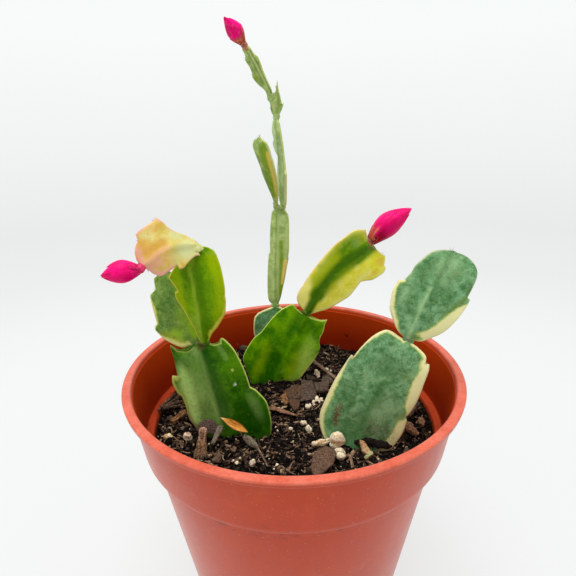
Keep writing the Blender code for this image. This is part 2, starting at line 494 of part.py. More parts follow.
def soil_top(x, y):
    """Height of the soil: just under the inside step at the front, a little over it at the back, gently lumpy."""
    return (73.5 + 2.5 * ease((y + 8) / 50) + .35 * math.sin(.21 * x + 1.3) * math.cos(.19 * y - .6)
            + .22 * math.sin(.43 * x + .31 * y + 2.0))


def soil_mesh(segs=SEGS):
    verts, faces, rings = [(0, 0, FLOOR + .3)], [], []
    wall = LEDGE_IN_R - .3 - GAP
    low = inside_low + .9 - GAP
    stack = []
    # 0: the soil ends below the inside step, 1: it lies over the step
    over = [ease((soil_top(46 * math.cos(2 * math.pi * i / segs), 46 * math.sin(2 * math.pi * i / segs)) - 74.0) / 1.6)
            for i in range(segs)]
    for i in range(segs):
        c = 2 * math.pi * i / segs
        cx, sy = math.cos(c), math.sin(c)
        z_c = 72.6 + 1.75 * min(1, 2 * over[i])
        spread = min(max(0, 2 * over[k % segs] - 1) for k in (i - 1, i, i + 1))
        r_d = wall + (LEDGE_OUT_R - GAP - wall) * spread
        z_top = max(soil_top(r_d * cx, r_d * sy) - .4, z_c + .35)
        col = [(inside_low - GAP - .5, FLOOR + .3), (low, FLOOR + 1.2), (wall - .1, 72.2), (wall - .05, z_c),
               (r_d, z_c + .02), (r_d + .02, z_top)]
        stack.append([(r * cx, r * sy, z) for r, z in col] + [
            (r * cx, r * sy, soil_top(r * cx, r * sy)) for r in (r_d - 3.2, 35, 27, 19, 11, 5)])
    n = len(stack[0])
    for i in range(segs):
        verts += stack[i]
    verts.append((0, 0, soil_top(0, 0)))
    at = lambda i, j: 1 + (i % segs) * n + j
    for i in range(segs):
        faces.append((0, at(i, 0), at(i + 1, 0)))
        for j in range(n - 1):
            faces.append((at(i, j), at(i, j + 1), at(i + 1, j + 1), at(i + 1, j)))
        faces.append((len(verts) - 1, at(i + 1, n - 1), at(i, n - 1)))
    return verts, faces


soil = add("soil", *soil_mesh(), mat=material("potting_mix", (.045, .028, .018), .95), smooth=60)


# ---------------------------------------------------------------- loose pieces in the potting mix
def rotation(turn, roll, pitch):
    a, b, c = (math.radians(v) for v in (turn, roll, pitch))
    rz = np.array([[math.cos(a), -math.sin(a), 0], [math.sin(a), math.cos(a), 0], [0, 0, 1]])
    rx = np.array([[1, 0, 0], [0, math.cos(b), -math.sin(b)], [0, math.sin(b), math.cos(b)]])
    ry = np.array([[math.cos(c), 0, math.sin(c)], [0, 1, 0], [-math.sin(c), 0, math.cos(c)]])
    return rz @ ry @ rx


def slab(at, size, turn, roll, pitch, n, seed):
    """Flat chip with an irregular outline and worn edges."""
    rng = np.random.default_rng(seed)
    ang = (np.arange(n) + rng.uniform(-.25, .25, n)) * 2 * math.pi / n
    rad = rng.uniform(.82, 1.0, n)
    x, y = rad * np.cos(ang) * size[0] / 2, rad * np.sin(ang) * size[1] / 2
    lay = [(-.5, .84), (-.1, 1.0), (.5, .88)]
    pts = [(x[i] * k, y[i] * k, h * size[2] + .10 * size[2] * math.sin(3 * ang[i] + seed)) for h, k in lay for i in range(n)]
    pts += [(0, 0, -.5 * size[2]), (0, 0, .5 * size[2])]
    rot = rotation(turn, roll, pitch)
    v = [np.array(at) + rot @ np.array(p) for p in pts]
    f = []
    for j in range(2):
        for i in range(n):
            k = (i + 1) % n
            f.append((j * n + i, j * n + k, (j + 1) * n + k, (j + 1) * n + i))
    for i in range(n):
        k = (i + 1) % n
        f.append((3 * n, k, i))
        f.append((3 * n + 1, 2 * n + i, 2 * n + k))
    return v, f


def stick(a, b, ra, rb, bow, sides=6, rings=5):
    a, b = np.array(a, float), np.array(b, float)
    m = (a + b) / 2 + np.array(bow, float)
    ref = unit(np.cross(b - a, (.3, .2, 1)))
    v, f = [], []
    for j in range(rings):
        q = j / (rings - 1)
        p = (1 - q) ** 2 * a + 2 * q * (1 - q) * m + q * q * b
        t = unit(2 * (1 - q) * (m - a) + 2 * q * (b - m))
        x = unit(ref - t * (ref @ t))
        y = np.cross(t, x)
        r = (ra + (rb - ra) * q) * (.8 if j in (0, rings - 1) else 1)
        v += [p + r * (x * math.cos(2 * math.pi * i / sides) + .8 * y * math.sin(2 * math.pi * i / sides))
              for i in range(sides)]
    v += [a, b]
    for j in range(rings - 1):
        for i in range(sides):
            k = (i + 1) % sides
            f.append((j * sides + i, j * sides + k, (j + 1) * sides + k, (j + 1) * sides + i))
    for i in range(sides):
        k = (i + 1) % sides
        f.append((rings * sides, k, i))
        f.append((rings * sides + 1, (rings - 1) * sides + i, (rings - 1) * sides + k))
    return v, f


def grain(at, r, seed):
    """Rounded, uneven lump."""
    bm = bmesh.new()
    bmesh.ops.create_icosphere(bm, subdivisions=2, radius=1.0)
    rng = np.random.default_rng(seed)
    k = rng.uniform(-1, 1, (4, 3)) * 2.2
    v = []
    for p in bm.verts:
        c = np.array(p.co)
        d = 1 + .07 * sum(math.sin(float(w @ c) * 1.7 + i) for i, w in enumerate(k))
        v.append(np.array(at) + c * d * np.array(r))
    f = [[p.index for p in g.verts] for g in bm.faces]
    bm.free()
    return v, f


def leaf(a, b, width, rows=7):
    """Dry curled leaf: a thin pointed blade with a trough along its middle."""
    a, b = np.array(a, float), np.array(b, float)
    t = unit(b - a)
    w = unit(np.cross(t, (0, -.75, .65)))
    n = np.cross(w, t)
    v = []
    for sgn in (1, -1):
        for i in range(rows):
            q = i / (rows - 1)
            half = width / 2 * (math.sin(math.pi * (.06 + .88 * q)) ** .8)
            for s in (-1, 0, 1):
                v.append(a + (b - a) * q + w * s * half + n * (.35 * abs(s) * math.sin(math.pi * q) + sgn * .22
                                                                + .5 * math.sin(math.pi * q)))
    f = []
    o = rows * 3
    for i in range(rows - 1):
        for j in range(2):
            c = i * 3 + j
            f.append((c, c + 1, c + 4, c + 3))
            f.append((o + c, o + c + 3, o + c + 4, o + c + 1))
        f.append((i * 3, i * 3 + 3, o + i * 3 + 3, o + i * 3))
        f.append((i * 3 + 2, o + i * 3 + 2, o + i * 3 + 5, i * 3 + 5))
    e = (rows - 1) * 3
    for j in range(2):
        f.append((j, o + j, o + j + 1, j + 1))
        f.append((e + j, e + j + 1, o + e + j + 1, o + e + j))
    return v, f


bark = material("bark", (.16, .095, .06), .85)
wood = material("pale_wood", (.42, .31, .21), .8)
perlite = material("perlite", (.78, .72, .62), .85)
tan = material("tan_grain", (.55, .40, .22), .85)
loose = []
for name, spec in SLABS.items():
    loose.append(add(name, *slab(**spec), mat=wood if "pale" in name else bark, smooth=30))
for name, spec in STICKS.items():
    loose.append(add(name, *stick(**spec), mat=wood if name in ("upright_stick", "leaf_stalk") else bark, smooth=50))
for name, spec in GRAINS.items():
    loose.append(add(name, *grain(**spec), mat=perlite if "perlite" in name else tan, smooth=60))
loose.append(add("dried_leaf", *leaf(**DRIED_LEAF), mat=material("dry_leaf", (.62, .32, .10), .7), smooth=40))

# Pockets in the soil for everything that is set into it
for ob in base_segments + loose:
    v, f = grown(ob, GAP)
    cut(soil, add("pocket_" + ob.name, v, f, smooth=0, cutter=True))
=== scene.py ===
"""Looks for the potted Christmas cactus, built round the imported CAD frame. Lengths in the tables are in millimetres."""
import json
import math

import bmesh
import bpy
import numpy as np
from mathutils import Matrix, Vector

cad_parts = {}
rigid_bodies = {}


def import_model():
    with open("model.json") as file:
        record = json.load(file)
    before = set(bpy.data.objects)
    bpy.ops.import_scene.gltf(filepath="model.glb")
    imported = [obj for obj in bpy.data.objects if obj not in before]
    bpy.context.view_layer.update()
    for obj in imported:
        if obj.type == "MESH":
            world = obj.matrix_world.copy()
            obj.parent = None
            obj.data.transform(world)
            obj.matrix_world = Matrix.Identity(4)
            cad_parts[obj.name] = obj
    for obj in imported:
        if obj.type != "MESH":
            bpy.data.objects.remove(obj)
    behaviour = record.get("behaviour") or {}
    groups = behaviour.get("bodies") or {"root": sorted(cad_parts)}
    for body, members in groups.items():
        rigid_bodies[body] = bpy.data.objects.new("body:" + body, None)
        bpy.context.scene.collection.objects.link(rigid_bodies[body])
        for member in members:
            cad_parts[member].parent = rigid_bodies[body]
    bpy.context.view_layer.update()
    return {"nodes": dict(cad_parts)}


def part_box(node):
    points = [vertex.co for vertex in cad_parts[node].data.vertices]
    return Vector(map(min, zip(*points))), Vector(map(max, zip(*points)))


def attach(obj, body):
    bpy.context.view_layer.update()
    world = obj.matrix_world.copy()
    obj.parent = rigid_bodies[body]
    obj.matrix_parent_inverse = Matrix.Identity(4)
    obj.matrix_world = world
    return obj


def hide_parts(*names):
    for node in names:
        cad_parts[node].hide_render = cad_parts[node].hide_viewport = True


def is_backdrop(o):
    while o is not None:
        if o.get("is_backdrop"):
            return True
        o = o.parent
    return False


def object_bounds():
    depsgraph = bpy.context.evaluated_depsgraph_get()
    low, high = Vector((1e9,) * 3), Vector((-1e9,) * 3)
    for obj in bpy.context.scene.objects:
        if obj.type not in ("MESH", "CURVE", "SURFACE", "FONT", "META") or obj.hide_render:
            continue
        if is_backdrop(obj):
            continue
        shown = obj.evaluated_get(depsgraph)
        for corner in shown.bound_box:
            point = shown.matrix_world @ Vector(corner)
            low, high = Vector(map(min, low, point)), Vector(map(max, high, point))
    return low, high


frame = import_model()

MM = 0.001


# ================================================================ small helpers
def unit(v):
    v = np.asarray(v, float)
    return v / np.linalg.norm(v)


def ease(x):
    x = np.clip(x, 0.0, 1.0)
    return x * x * (3 - 2 * x)


def srgb(r, g, b):
    """Linear colour from an 8 bit display colour."""
    out = []
    for c in (r, g, b):
        c = c / 255
        out.append(c / 12.92 if c <= .04045 else ((c + .055) / 1.055) ** 2.4)
    return tuple(out)


_LATTICE = {}


def noise3(p, scale, seed):
    """Smooth value noise in -1..1 at points p (N, 3) in mm; scale is the feature size in mm."""
    if seed not in _LATTICE:
        _LATTICE[seed] = np.random.default_rng(seed).uniform(-1, 1, (32, 32, 32))
    lat = _LATTICE[seed]
    q = np.asarray(p, float) / scale + 1000.37
    i = np.floor(q).astype(int)
    f = q - i
    f = f * f * (3 - 2 * f)
    i0, i1 = i % 32, (i + 1) % 32
    x0, y0, z0 = i0.T
    x1, y1, z1 = i1.T
    fx, fy, fz = f.T
    a = lat[x0, y0, z0] * (1 - fx) + lat[x1, y0, z0] * fx
    b = lat[x0, y1, z0] * (1 - fx) + lat[x1, y1, z0] * fx
    c = lat[x0, y0, z1] * (1 - fx) + lat[x1, y0, z1] * fx
    d = lat[x0, y1, z1] * (1 - fx) + lat[x1, y1, z1] * fx
    return (a * (1 - fy) + b * fy) * (1 - fz) + (c * (1 - fy) + d * fy) * fz


def fbm(p, scale, seed, octaves=3, gain=.5):
    out, amp, total = 0, 1.0, 0
    for k in range(octaves):
        out = out + amp * noise3(p, scale / 2 ** k, seed + k)
        total += amp
        amp *= gain
    return out / total


def piece(name, verts, faces, mats, replaces=(), smooth=True, attrs=None, body="root", mat_index=None,
          sharp=None):
    """A mesh object in the row frame from points in mm. faces is a list of integer arrays, each (M, 3) or (M, 4)."""
    me = bpy.data.meshes.new(name)
    verts = np.asarray(verts, np.float64)
    faces = [np.asarray(f, np.int32) for f in (faces if isinstance(faces, list) else [faces]) if len(f)]
    me.vertices.add(len(verts))
    me.vertices.foreach_set("co", (verts * MM).astype(np.float32).ravel())
    loops = np.concatenate([f.ravel() for f in faces])
    totals = np.concatenate([np.full(len(f), f.shape[1], np.int32) for f in faces])
    starts = np.r_[0, np.cumsum(totals)[:-1]].astype(np.int32)
    me.loops.add(len(loops))
    me.loops.foreach_set("vertex_index", loops.astype(np.int32))
    me.polygons.add(len(totals))
    me.polygons.foreach_set("loop_start", starts)
    me.polygons.foreach_set("use_smooth", np.full(len(totals), bool(smooth)))
    me.update(calc_edges=True)
    me.validate()
    for k, v in (attrs or {}).items():
        a = me.attributes.new(k, "FLOAT", "POINT")
        a.data.foreach_set("value", np.asarray(v, np.float32))
    for m in (mats if isinstance(mats, (list, tuple)) else [mats]):
        me.materials.append(m)
    if mat_index is not None:
        me.polygons.foreach_set("material_index", np.asarray(mat_index, np.int32))
    if sharp:
        me.set_sharp_from_angle(angle=math.radians(sharp))
    ob = bpy.data.objects.new(name, me)
    bpy.context.scene.collection.objects.link(ob)
    if replaces:
        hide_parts(*replaces)
    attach(ob, body)
    return ob


def outward(verts, tris):
    """Triangles turned so that the closed surface faces out."""
    a, b, c = verts[tris[:, 0]], verts[tris[:, 1]], verts[tris[:, 2]]
    if np.einsum("ij,ij->i", np.cross(a, b), c).sum() < 0:
        return tris[:, ::-1]
    return tris


# ================================================================ node material helper
class Mat:
    """Short way to write a node material: every method returns an output socket."""

    def __init__(self, name):
        self.m = bpy.data.materials.new(name)
        self.m.use_nodes = True
        self.t = self.m.node_tree
        self.t.nodes.clear()
        self.out = self.t.nodes.new("ShaderNodeOutputMaterial")
        self.b = self.t.nodes.new("ShaderNodeBsdfPrincipled")
        self.t.links.new(self.b.outputs[0], self.out.inputs[0])
        self.coord = self.t.nodes.new("ShaderNodeTexCoord").outputs["Object"]

    def set(self, **kw):
        names = dict(rough="Roughness", metal="Metallic", ior="IOR", sss="Subsurface Weight",
                     sss_scale="Subsurface Scale", coat="Coat Weight", coat_rough="Coat Roughness",
                     sheen="Sheen Weight", sheen_rough="Sheen Roughness", spec="Specular IOR Level", color="Base Color",
                     trans="Transmission Weight", normal="Normal", sheen_tint="Sheen Tint", sss_radius="Subsurface Radius",
                     emit="Emission Color", emit_strength="Emission Strength")
        for k, v in kw.items():
            s = self.b.inputs[names[k]]
            if isinstance(v, bpy.types.NodeSocket):
                self.t.links.new(v, s)
            elif isinstance(v, tuple) and len(v) == 3 and s.type == "RGBA":
                s.default_value = (*v, 1)
            else:
                s.default_value = v
        return self

    def put(self, sock, v):
        if isinstance(v, bpy.types.NodeSocket):
            self.t.links.new(v, sock)
        elif isinstance(v, tuple) and sock.type == "RGBA":
            sock.default_value = (*v, 1) if len(v) == 3 else v
        else:
            sock.default_value = v

    def attr(self, name):
        n = self.t.nodes.new("ShaderNodeAttribute")
        n.attribute_name = name
        return n.outputs["Fac"]

    def math(self, op, a, b=None, c=None, clamp=False):
        n = self.t.nodes.new("ShaderNodeMath")
        n.operation = op
        n.use_clamp = clamp
        for i, v in enumerate((a, b, c)):
            if v is not None:
                self.put(n.inputs[i], v)
        return n.outputs[0]

    def noise(self, size, detail=3.0, rough=.55, distort=0.0, coord=None, stretch=None, kind="Fac"):
        """size is the feature size in mm."""
        n = self.t.nodes.new("ShaderNodeTexNoise")
        n.inputs["Scale"].default_value = 1000.0 / size
        n.inputs["Detail"].default_value = detail
        n.inputs["Roughness"].default_value = rough
        n.inputs["Distortion"].default_value = distort
        src = coord or self.coord
        if stretch:
            mp = self.t.nodes.new("ShaderNodeMapping")
            mp.inputs["Scale"].default_value = stretch
            self.t.links.new(src, mp.inputs["Vector"])
            src = mp.outputs[0]
        self.t.links.new(src, n.inputs["Vector"])
        return n.outputs["Fac" if kind == "Fac" else "Color"]

    def voronoi(self, size, feature="F1", coord=None, out="Distance", randomness=1.0):
        n = self.t.nodes.new("ShaderNodeTexVoronoi")
        n.feature = feature
        n.inputs["Scale"].default_value = 1000.0 / size
        n.inputs["Randomness"].default_value = randomness
        self.t.links.new(coord or self.coord, n.inputs["Vector"])
        return n.outputs[out]

    def warp(self, size, amount):
        """Object coordinates shifted by noise: amount in mm."""
        col = self.noise(size, 2, kind="Color")
        v = self.t.nodes.new("ShaderNodeVectorMath")
        v.operation = "SUBTRACT"
        self.t.links.new(col, v.inputs[0])
        v.inputs[1].default_value = (.5, .5, .5)
        w = self.t.nodes.new("ShaderNodeVectorMath")
        w.operation = "SCALE"
        self.t.links.new(v.outputs[0], w.inputs[0])
        w.inputs["Scale"].default_value = amount * MM * 2
        a = self.t.nodes.new("ShaderNodeVectorMath")
        a.operation = "ADD"
        self.t.links.new(self.coord, a.inputs[0])
        self.t.links.new(w.outputs[0], a.inputs[1])
        return a.outputs[0]

    def remap(self, v, lo, hi, to_lo=0.0, to_hi=1.0, smooth=False):
        n = self.t.nodes.new("ShaderNodeMapRange")
        n.interpolation_type = "SMOOTHSTEP" if smooth else "LINEAR"
        for i, x in enumerate((v, lo, hi, to_lo, to_hi)):
            self.put(n.inputs[i], x)
        return n.outputs[0]

    def ramp(self, v, stops, mode="LINEAR"):
        n = self.t.nodes.new("ShaderNodeValToRGB")
        e = n.color_ramp.elements
        n.color_ramp.interpolation = mode
        while len(e) < len(stops):
            e.new(.5)
        for i, (p, c) in enumerate(sorted(stops, key=lambda s: s[0])):
            e[i].position = p
            e[i].color = (*c, 1) if len(c) == 3 else c
        self.t.links.new(v, n.inputs[0])
        return n.outputs["Color"]

    def mix(self, f, a, b, mode="MIX"):
        n = self.t.nodes.new("ShaderNodeMix")
        n.data_type = "RGBA"
        n.blend_type = mode
        n.clamp_factor = True
        self.put(n.inputs[0], f)
        self.put(n.inputs[6], a)
        self.put(n.inputs[7], b)
        return n.outputs[2]

    def sep(self, v=None):
        n = self.t.nodes.new("ShaderNodeSeparateXYZ")
        self.t.links.new(v or self.coord, n.inputs[0])
        return n.outputs

    def combine(self, x, y, z):
        n = self.t.nodes.new("ShaderNodeCombineXYZ")
        for i, v in enumerate((x, y, z)):
            self.put(n.inputs[i], v)
        return n.outputs[0]

    def bump(self, height, mm, strength=1.0, normal=None):
        n = self.t.nodes.new("ShaderNodeBump")
        n.inputs["Distance"].default_value = mm * MM
        n.inputs["Strength"].default_value = strength
        self.t.links.new(height, n.inputs["Height"])
        if normal is not None:
            self.t.links.new(normal, n.inputs["Normal"])
        return n.outputs[0]

    def mask(self, v, jitter=None, amount=.3, width=.15):
        """A mask attribute turned into a factor whose border is broken up by noise."""
        if jitter is not None:
            v = self.math("ADD", v, self.math("MULTIPLY", self.math("SUBTRACT", jitter, .5), amount))
        return self.remap(v, .5 - width, .5 + width, smooth=True)


# ================================================================ the stems' shapes, as in the CAD
SEGMENTS = {
    "right_base_segment": dict(
        base=(15.0, -17.5, 66.0), tip=(32.5, -14.0, 105.8), bow=(0, -1.5, 0), w0=(1, -.30, 0), w1=(1, -.30, 0),
        mid=1.25, cup=-0.6,
        left=[(0, 2), (2.5, 6), (6.5, 11), (11, 13.5), (17, 14), (23.5, 14), (30.5, 13.2), (32.6, 12.8, 1),
              (32.1, 12, 1), (36, 11.2), (40.5, 9.6), (43.7, 7.3), (44.3, 5.2), (43.8, 2.6), (43.6, 1.4)],
        right=[(0, 2), (2.5, 5), (6.5, 8), (12, 9.5), (18, 10.2), (22.4, 9.6, 1), (23.4, 8.8, 1), (25, 9.3),
               (29.5, 9.5), (36, 8.8), (38.6, 8.5), (40.2, 7.9, 1), (39.9, 6.9, 1), (42, 6), (43.3, 3), (43.6, 1.4)]),
    "right_tip_segment": dict(
        base=(32.6, -13.8, 106.5), tip=(44.2, -8.5, 130.4), bow=(-1.2, -1.5, 0), w0=(1, -.05, 0), w1=(1, -.05, 0),
        mid=1.2, cup=0.5,
        left=[(0, 1.3), (1.4, 4.1), (5.4, 7.9), (7.2, 8.8), (11.1, 9.7), (14, 9.4, 1), (14.5, 8, 1), (17.4, 7.1),
              (19.2, 7), (23.7, 5.3), (25.2, 4.1), (26.4, 2.3), (27, 1)],
        right=[(0, 1.3), (0.4, 3.5), (2, 5.4), (5.5, 8.3), (9.8, 9.9), (14.5, 10.7), (17.2, 10.7, 1),
               (17.6, 9.8, 1), (21.2, 9.2), (24.3, 8.7), (26.3, 8, 1), (26.8, 6.1, 1), (27.2, 3.2), (27, 1)]),
    "left_base_segment": dict(
        base=(-17.2, -14.3, 65.6), tip=(-28.1, -5.4, 101.3), bow=(1.2, -1.2, 0), w0=(1, -.22, 0), w1=(1, -.22, 0),
        mid=1.3, cup=-0.6,
        left=[(0, 2), (2.5, 5.5), (6.5, 9), (13, 11.5), (16.8, 12.8), (20.3, 12.5), (24.3, 12.7), (25.2, 13.6),
              (28.8, 14.2), (30.4, 14), (31.9, 13.3, 1), (31, 11.6, 1), (33, 11.1), (38, 10.3), (41.6, 10, 1),
              (39, 8.1, 1), (37.8, 5), (38.1, 3.2), (38.6, 2)],
        right=[(0, 2), (2.5, 7), (6.5, 11.8), (9, 13), (11.5, 13.6), (16.2, 13.8), (19.2, 12.6), (20.9, 11.6, 1),
               (22, 10.4, 1), (25.4, 10.5), (29.8, 10.2), (34.3, 9.4), (37.6, 7.9), (38.4, 7.1, 1), (36.9, 6.5, 1),
               (37.2, 4.3), (38.3, 2.8), (38.6, 2)]),
    "left_rear_segment": dict(
        base=(-31.0, -3.0, 100.6), tip=(-39.3, 3.8, 122.4), bow=(-.5, -.6, 0), w0=(1, .25, 0), w1=(1, .25, 0),
        mid=1.1, cup=-0.4,
        left=[(0, 1.2), (.2, 3), (1.5, 4.7), (4.4, 7), (7.2, 8.3), (8.6, 8.7), (9.7, 8.2, 1), (9.9, 7.5, 1),
              (14.3, 7.1), (18, 6.6), (18.8, 6.3, 1), (19.7, 4.4, 1), (21.5, 4.1), (23, 3.8, 1), (23.8, 2.4, 1),
              (24.4, 1)],
        right=[(0, 1.2), (.5, 3.2), (2.9, 5.6), (6.7, 6.6), (10.1, 6.6, 1), (10.9, 5.6, 1), (14.4, 5.5), (18.3, 5),
               (21.1, 3.7, 1), (22.1, 2.7, 1), (24.4, 1)]),
    "left_front_segment": dict(
        base=(-26.7, -6.2, 102.7), tip=(-26.9, -3.4, 131.9), bow=(-1.3, -1.4, 0), w0=(1, -.1, 0), w1=(1, -.1, 0),
        mid=1.2, cup=0.6,
        left=[(0, 1.1), (2.9, 2), (5.5, 2.8), (10.5, 4.9), (12.6, 6.2), (14.4, 7), (15.9, 7, 1), (16.1, 6.2, 1),
              (17, 6.7), (18.7, 7.8), (20.1, 8.7, 1), (22.2, 7.4, 1), (25.4, 5), (28, 2.7), (29.3, 1.1)],
        right=[(0, 1.1), (2.9, 3), (4.8, 4.8), (8.7, 7.4), (10.3, 7.8), (13.4, 8.1, 1), (14.4, 7.9, 1), (16.6, 8),
               (18.8, 7.8), (21.8, 7.3), (24.2, 6.7), (27.4, 5.5, 1), (28.5, 4.6, 1), (29.3, 2.8), (29.3, 1.1)]),
    "left_tip_segment": dict(
        base=(-27.5, -4.9, 132.2), tip=(-41.0, -11.0, 128.2), bow=(0, 0, 4.0), w0=(.1, .5, 1), w1=(-.25, -.15, 1),
        mid=1.0, cup=0.5,
        left=[(0, .9), (-1.2, 1.8), (-1.9, 2.8, 1), (-.7, 3, 1), (2.1, 5.1), (3.6, 6.2), (5.2, 6.6), (6.5, 6.4, 1),
              (6.8, 5.2, 1), (9.3, 5.7), (12.7, 6), (14.4, 5.6), (15, 4.9), (15.6, 3.6, 1), (15.7, 2.2, 1), (16, 1)],
        right=[(0, 1), (1.3, 1.9), (3, 3), (4.7, 4), (5.9, 5.5), (6.5, 7.1), (7.5, 9.1, 1), (7.9, 8.3, 1), (9.8, 7.9),
               (11.1, 7.8), (12.1, 7.5, 1), (12.5, 5.9, 1), (14.5, 4.4), (15.8, 2.2), (16, 1)]),
    "centre_base_segment": dict(
        base=(-11.6, 14.4, 66.0), tip=(4.7, 19.7, 100.5), bow=(0, -1, 0), w0=(1, -.05, -.3), w1=(1, -.05, -.3),
        mid=1.25, cup=0.8,
        left=[(0, 1.8), (2, 3), (5.8, 5), (6.3, 7), (9.5, 9.8), (13.7, 13.6), (16.9, 14.2), (22.1, 13.6),
              (24.5, 12.7), (26.2, 11.8, 1), (29, 11.2, 1), (32.5, 10.3), (35.4, 9.2), (38, 7.6), (40.3, 5.4, 1),
              (39.2, 4, 1), (38.5, 1.9), (38.5, 1.2)],
        right=[(0, 1.8), (3, 3), (8, 4), (11.8, 4.8), (15.4, 8), (18.3, 8.8), (24.3, 10), (27.3, 10.3),
               (29.6, 10, 1), (31.2, 8.9, 1), (32.7, 8.6), (35.1, 8.7), (37.8, 8.2), (39.9, 8.1, 1), (38.8, 6.2, 1),
               (38.3, 2.9), (38.5, 1.2)]),
    "centre_tip_segment": dict(
        base=(5.4, 19.2, 101.3), tip=(27.6, 25.4, 125.0), bow=(-1.8, -1.0, 1.8), w0=(1, .12, -.9), w1=(1, .1, -1),
        mid=1.1, cup=0.6,
        left=[(0, 1.2), (.3, 2.6), (1.2, 4.9), (2.8, 6.6), (4.9, 7.3), (7.2, 7.4), (12.7, 8), (20, 8.3),
              (24.3, 8.3), (26.6, 8, 1), (28.3, 7.7, 1), (30.7, 7.5), (32.7, 6.6), (34.9, 4.6, 1), (34.1, 2.8, 1),
              (33.5, 1.1)],
        right=[(0, 1.2), (3.4, 4.2), (6.2, 6.1), (12.4, 8.5), (14.9, 9), (18.2, 8.8), (21.4, 8.5, 1),
               (23.2, 9.7, 1), (25.5, 11.2), (30.2, 12), (32.4, 11.3, 1), (32.6, 9.9, 1), (33.8, 9), (35, 7.6, 1),
               (34.4, 6.3, 1), (33.7, 2.8), (33.5, 1.1)]),
    "back_base_segment": dict(
        base=(-5.5, 29.0, 67.5), tip=(-6.2, 30.5, 99.5), bow=(2, 0, 0), w0=(1, -.1, 0), w1=(1, -.1, 0),
        mid=1.2, cup=0.4,
        left=[(0, 1.8), (3, 5), (8, 8), (14, 9.4), (20, 9.7), (22.7, 9.8), (26, 9.4), (28.5, 8.7), (30.1, 7.3, 1),
              (31, 5.2, 1), (31.5, 3.4), (32, 1.4)],
        right=[(0, 1.8), (3, 5), (8, 8), (14, 9.2), (20, 9.4), (25, 9, 1), (26, 8, 1), (28.5, 7), (30, 4.6, 1),
               (30.8, 3, 1), (32, 1.4)]),
    "back_second_segment": dict(
        base=(-6.2, 30.5, 100.3), tip=(-4.0, 33.0, 136.2), bow=(-.6, -.8, 0), w0=(1, -.35, 0), w1=(1, -.2, 0),
        mid=1.2, cup=0.0,
        left=[(0, 1.1), (1, 2.4), (3, 3), (7.7, 3.2), (13.5, 3.2), (19.3, 3, 1), (20, 2.5, 1), (22, 2.6),
              (26.7, 2.8), (31.5, 2.8), (34.7, 2.6, 1), (35.5, 2, 1), (36.4, 1.1)],
        right=[(0, 1.1), (3.1, 2.2), (7.2, 3), (10.3, 3.6), (15, 4.2), (18.1, 4.7, 1), (19.4, 4.5, 1), (21.8, 4.7),
               (27.3, 4.4), (32, 4), (34.5, 3.5, 1), (35.6, 2.6, 1), (36.4, 1.1)]),
    "back_side_segment": dict(
        base=(-4.7, 31.2, 137.0), tip=(-9.8, 25.0, 160.9), bow=(-.9, -2, 0), w0=(1, -.9, .3), w1=(1, -.8, .2),
        mid=0.85, cup=0.0,
        left=[(0, .6), (2, .5), (5, .5), (8.2, 1), (13, 1.9, 1), (14.4, 1.9, 1), (16.5, 2.2), (19.9, 3), (22, 3.4),
              (23.3, 3.3, 1), (24.2, 2.7, 1), (24.9, 1.8, 1), (24.8, .8)],
        right=[(0, .6), (3.3, 1.6), (7.4, 3.1), (11.1, 3.8), (14.6, 4), (17.9, 3.9, 1), (19.2, 3.6, 1),
               (21.1, 3.5), (23, 3), (23.8, 2.4, 1), (24.2, 1.4, 1), (24.8, .8)]),
    "back_third_segment": dict(
        base=(-2.7, 33.6, 137.0), tip=(-4.3, 33.0, 166.6), bow=(.9, 0, 0), w0=(.22, -1, 0), w1=(.26, -1, 0),
        mid=0.95, cup=0.0,
        left=[(0, 1.2), (1.6, 4.6), (5, 6.4), (8.7, 6.6), (12.5, 5.1), (16.2, 2.9, 1), (17.2, 2.4, 1), (18.6, 6),
              (20.8, 8.8), (22.2, 8.7, 1), (23.1, 6.6, 1), (25.7, 7.8), (27.7, 6.4), (29.4, 4.2, 1), (29.4, 2.6, 1),
              (29.6, 1.1)],
        right=[(0, 1.2), (1.2, 4.6), (5, 5.6), (9.5, 6.4), (11.9, 6.8, 1), (13.4, 5.8, 1), (15, 5.6), (18.2, 5),
               (22.3, 4.4, 1), (23.3, 4, 1), (26.1, 3.4), (28.4, 2.8, 1), (29.2, 1.7, 1), (29.6, 1.1)]),
    "back_fourth_segment": dict(
        base=(-4.2, 33.0, 167.3), tip=(-5.6, 32.0, 172.6), bow=(.3, 0, 0), w0=(1, -.55, .2), w1=(1, -.5, .3),
        mid=0.9, cup=0.0,
        left=[(0, .9), (1.2, 1.5), (2.5, 1.6), (3.1, 1.6, 1), (3.5, 1.3, 1), (4.7, 1.2), (5.5, .8)],
        right=[(0, .9), (.9, 1.6), (2.2, 2.8), (3.6, 3.7, 1), (3.2, 2.9, 1), (4.8, 3.1), (6.2, 3.3), (7.8, 3.5),
               (10.5, 4.2, 1), (8.6, 3, 1), (6.4, 2.1), (5.6, 1.4), (5.5, .8)]),
    "back_top_segment": dict(
        base=(-5.9, 31.8, 173.3), tip=(-13.3, 26.0, 187.3), bow=(.8, -.6, .6), w0=(1, -.35, .55), w1=(1, -.2, .6),
        mid=0.95, cup=0.0,
        left=[(0, .8), (1.3, .9), (2.9, 1.2), (4.7, 2.1), (6.4, 2.7), (8.2, 3, 1), (8.9, 2.5, 1), (11.3, 2.2),
              (13, 2.3), (13.9, 2.3, 1), (14.4, 1.7, 1), (15.4, 1.4), (16.7, 1.3, 1), (17, .8)],
        right=[(0, .8), (1.9, 1.1), (4.3, 1.1), (6.6, 1.1), (8.8, 1.3), (10.6, 1.6), (12.7, 1.8, 1), (13.4, 1.3, 1),
               (14.2, 1.2), (16, 1.2), (17, .8)]),
}

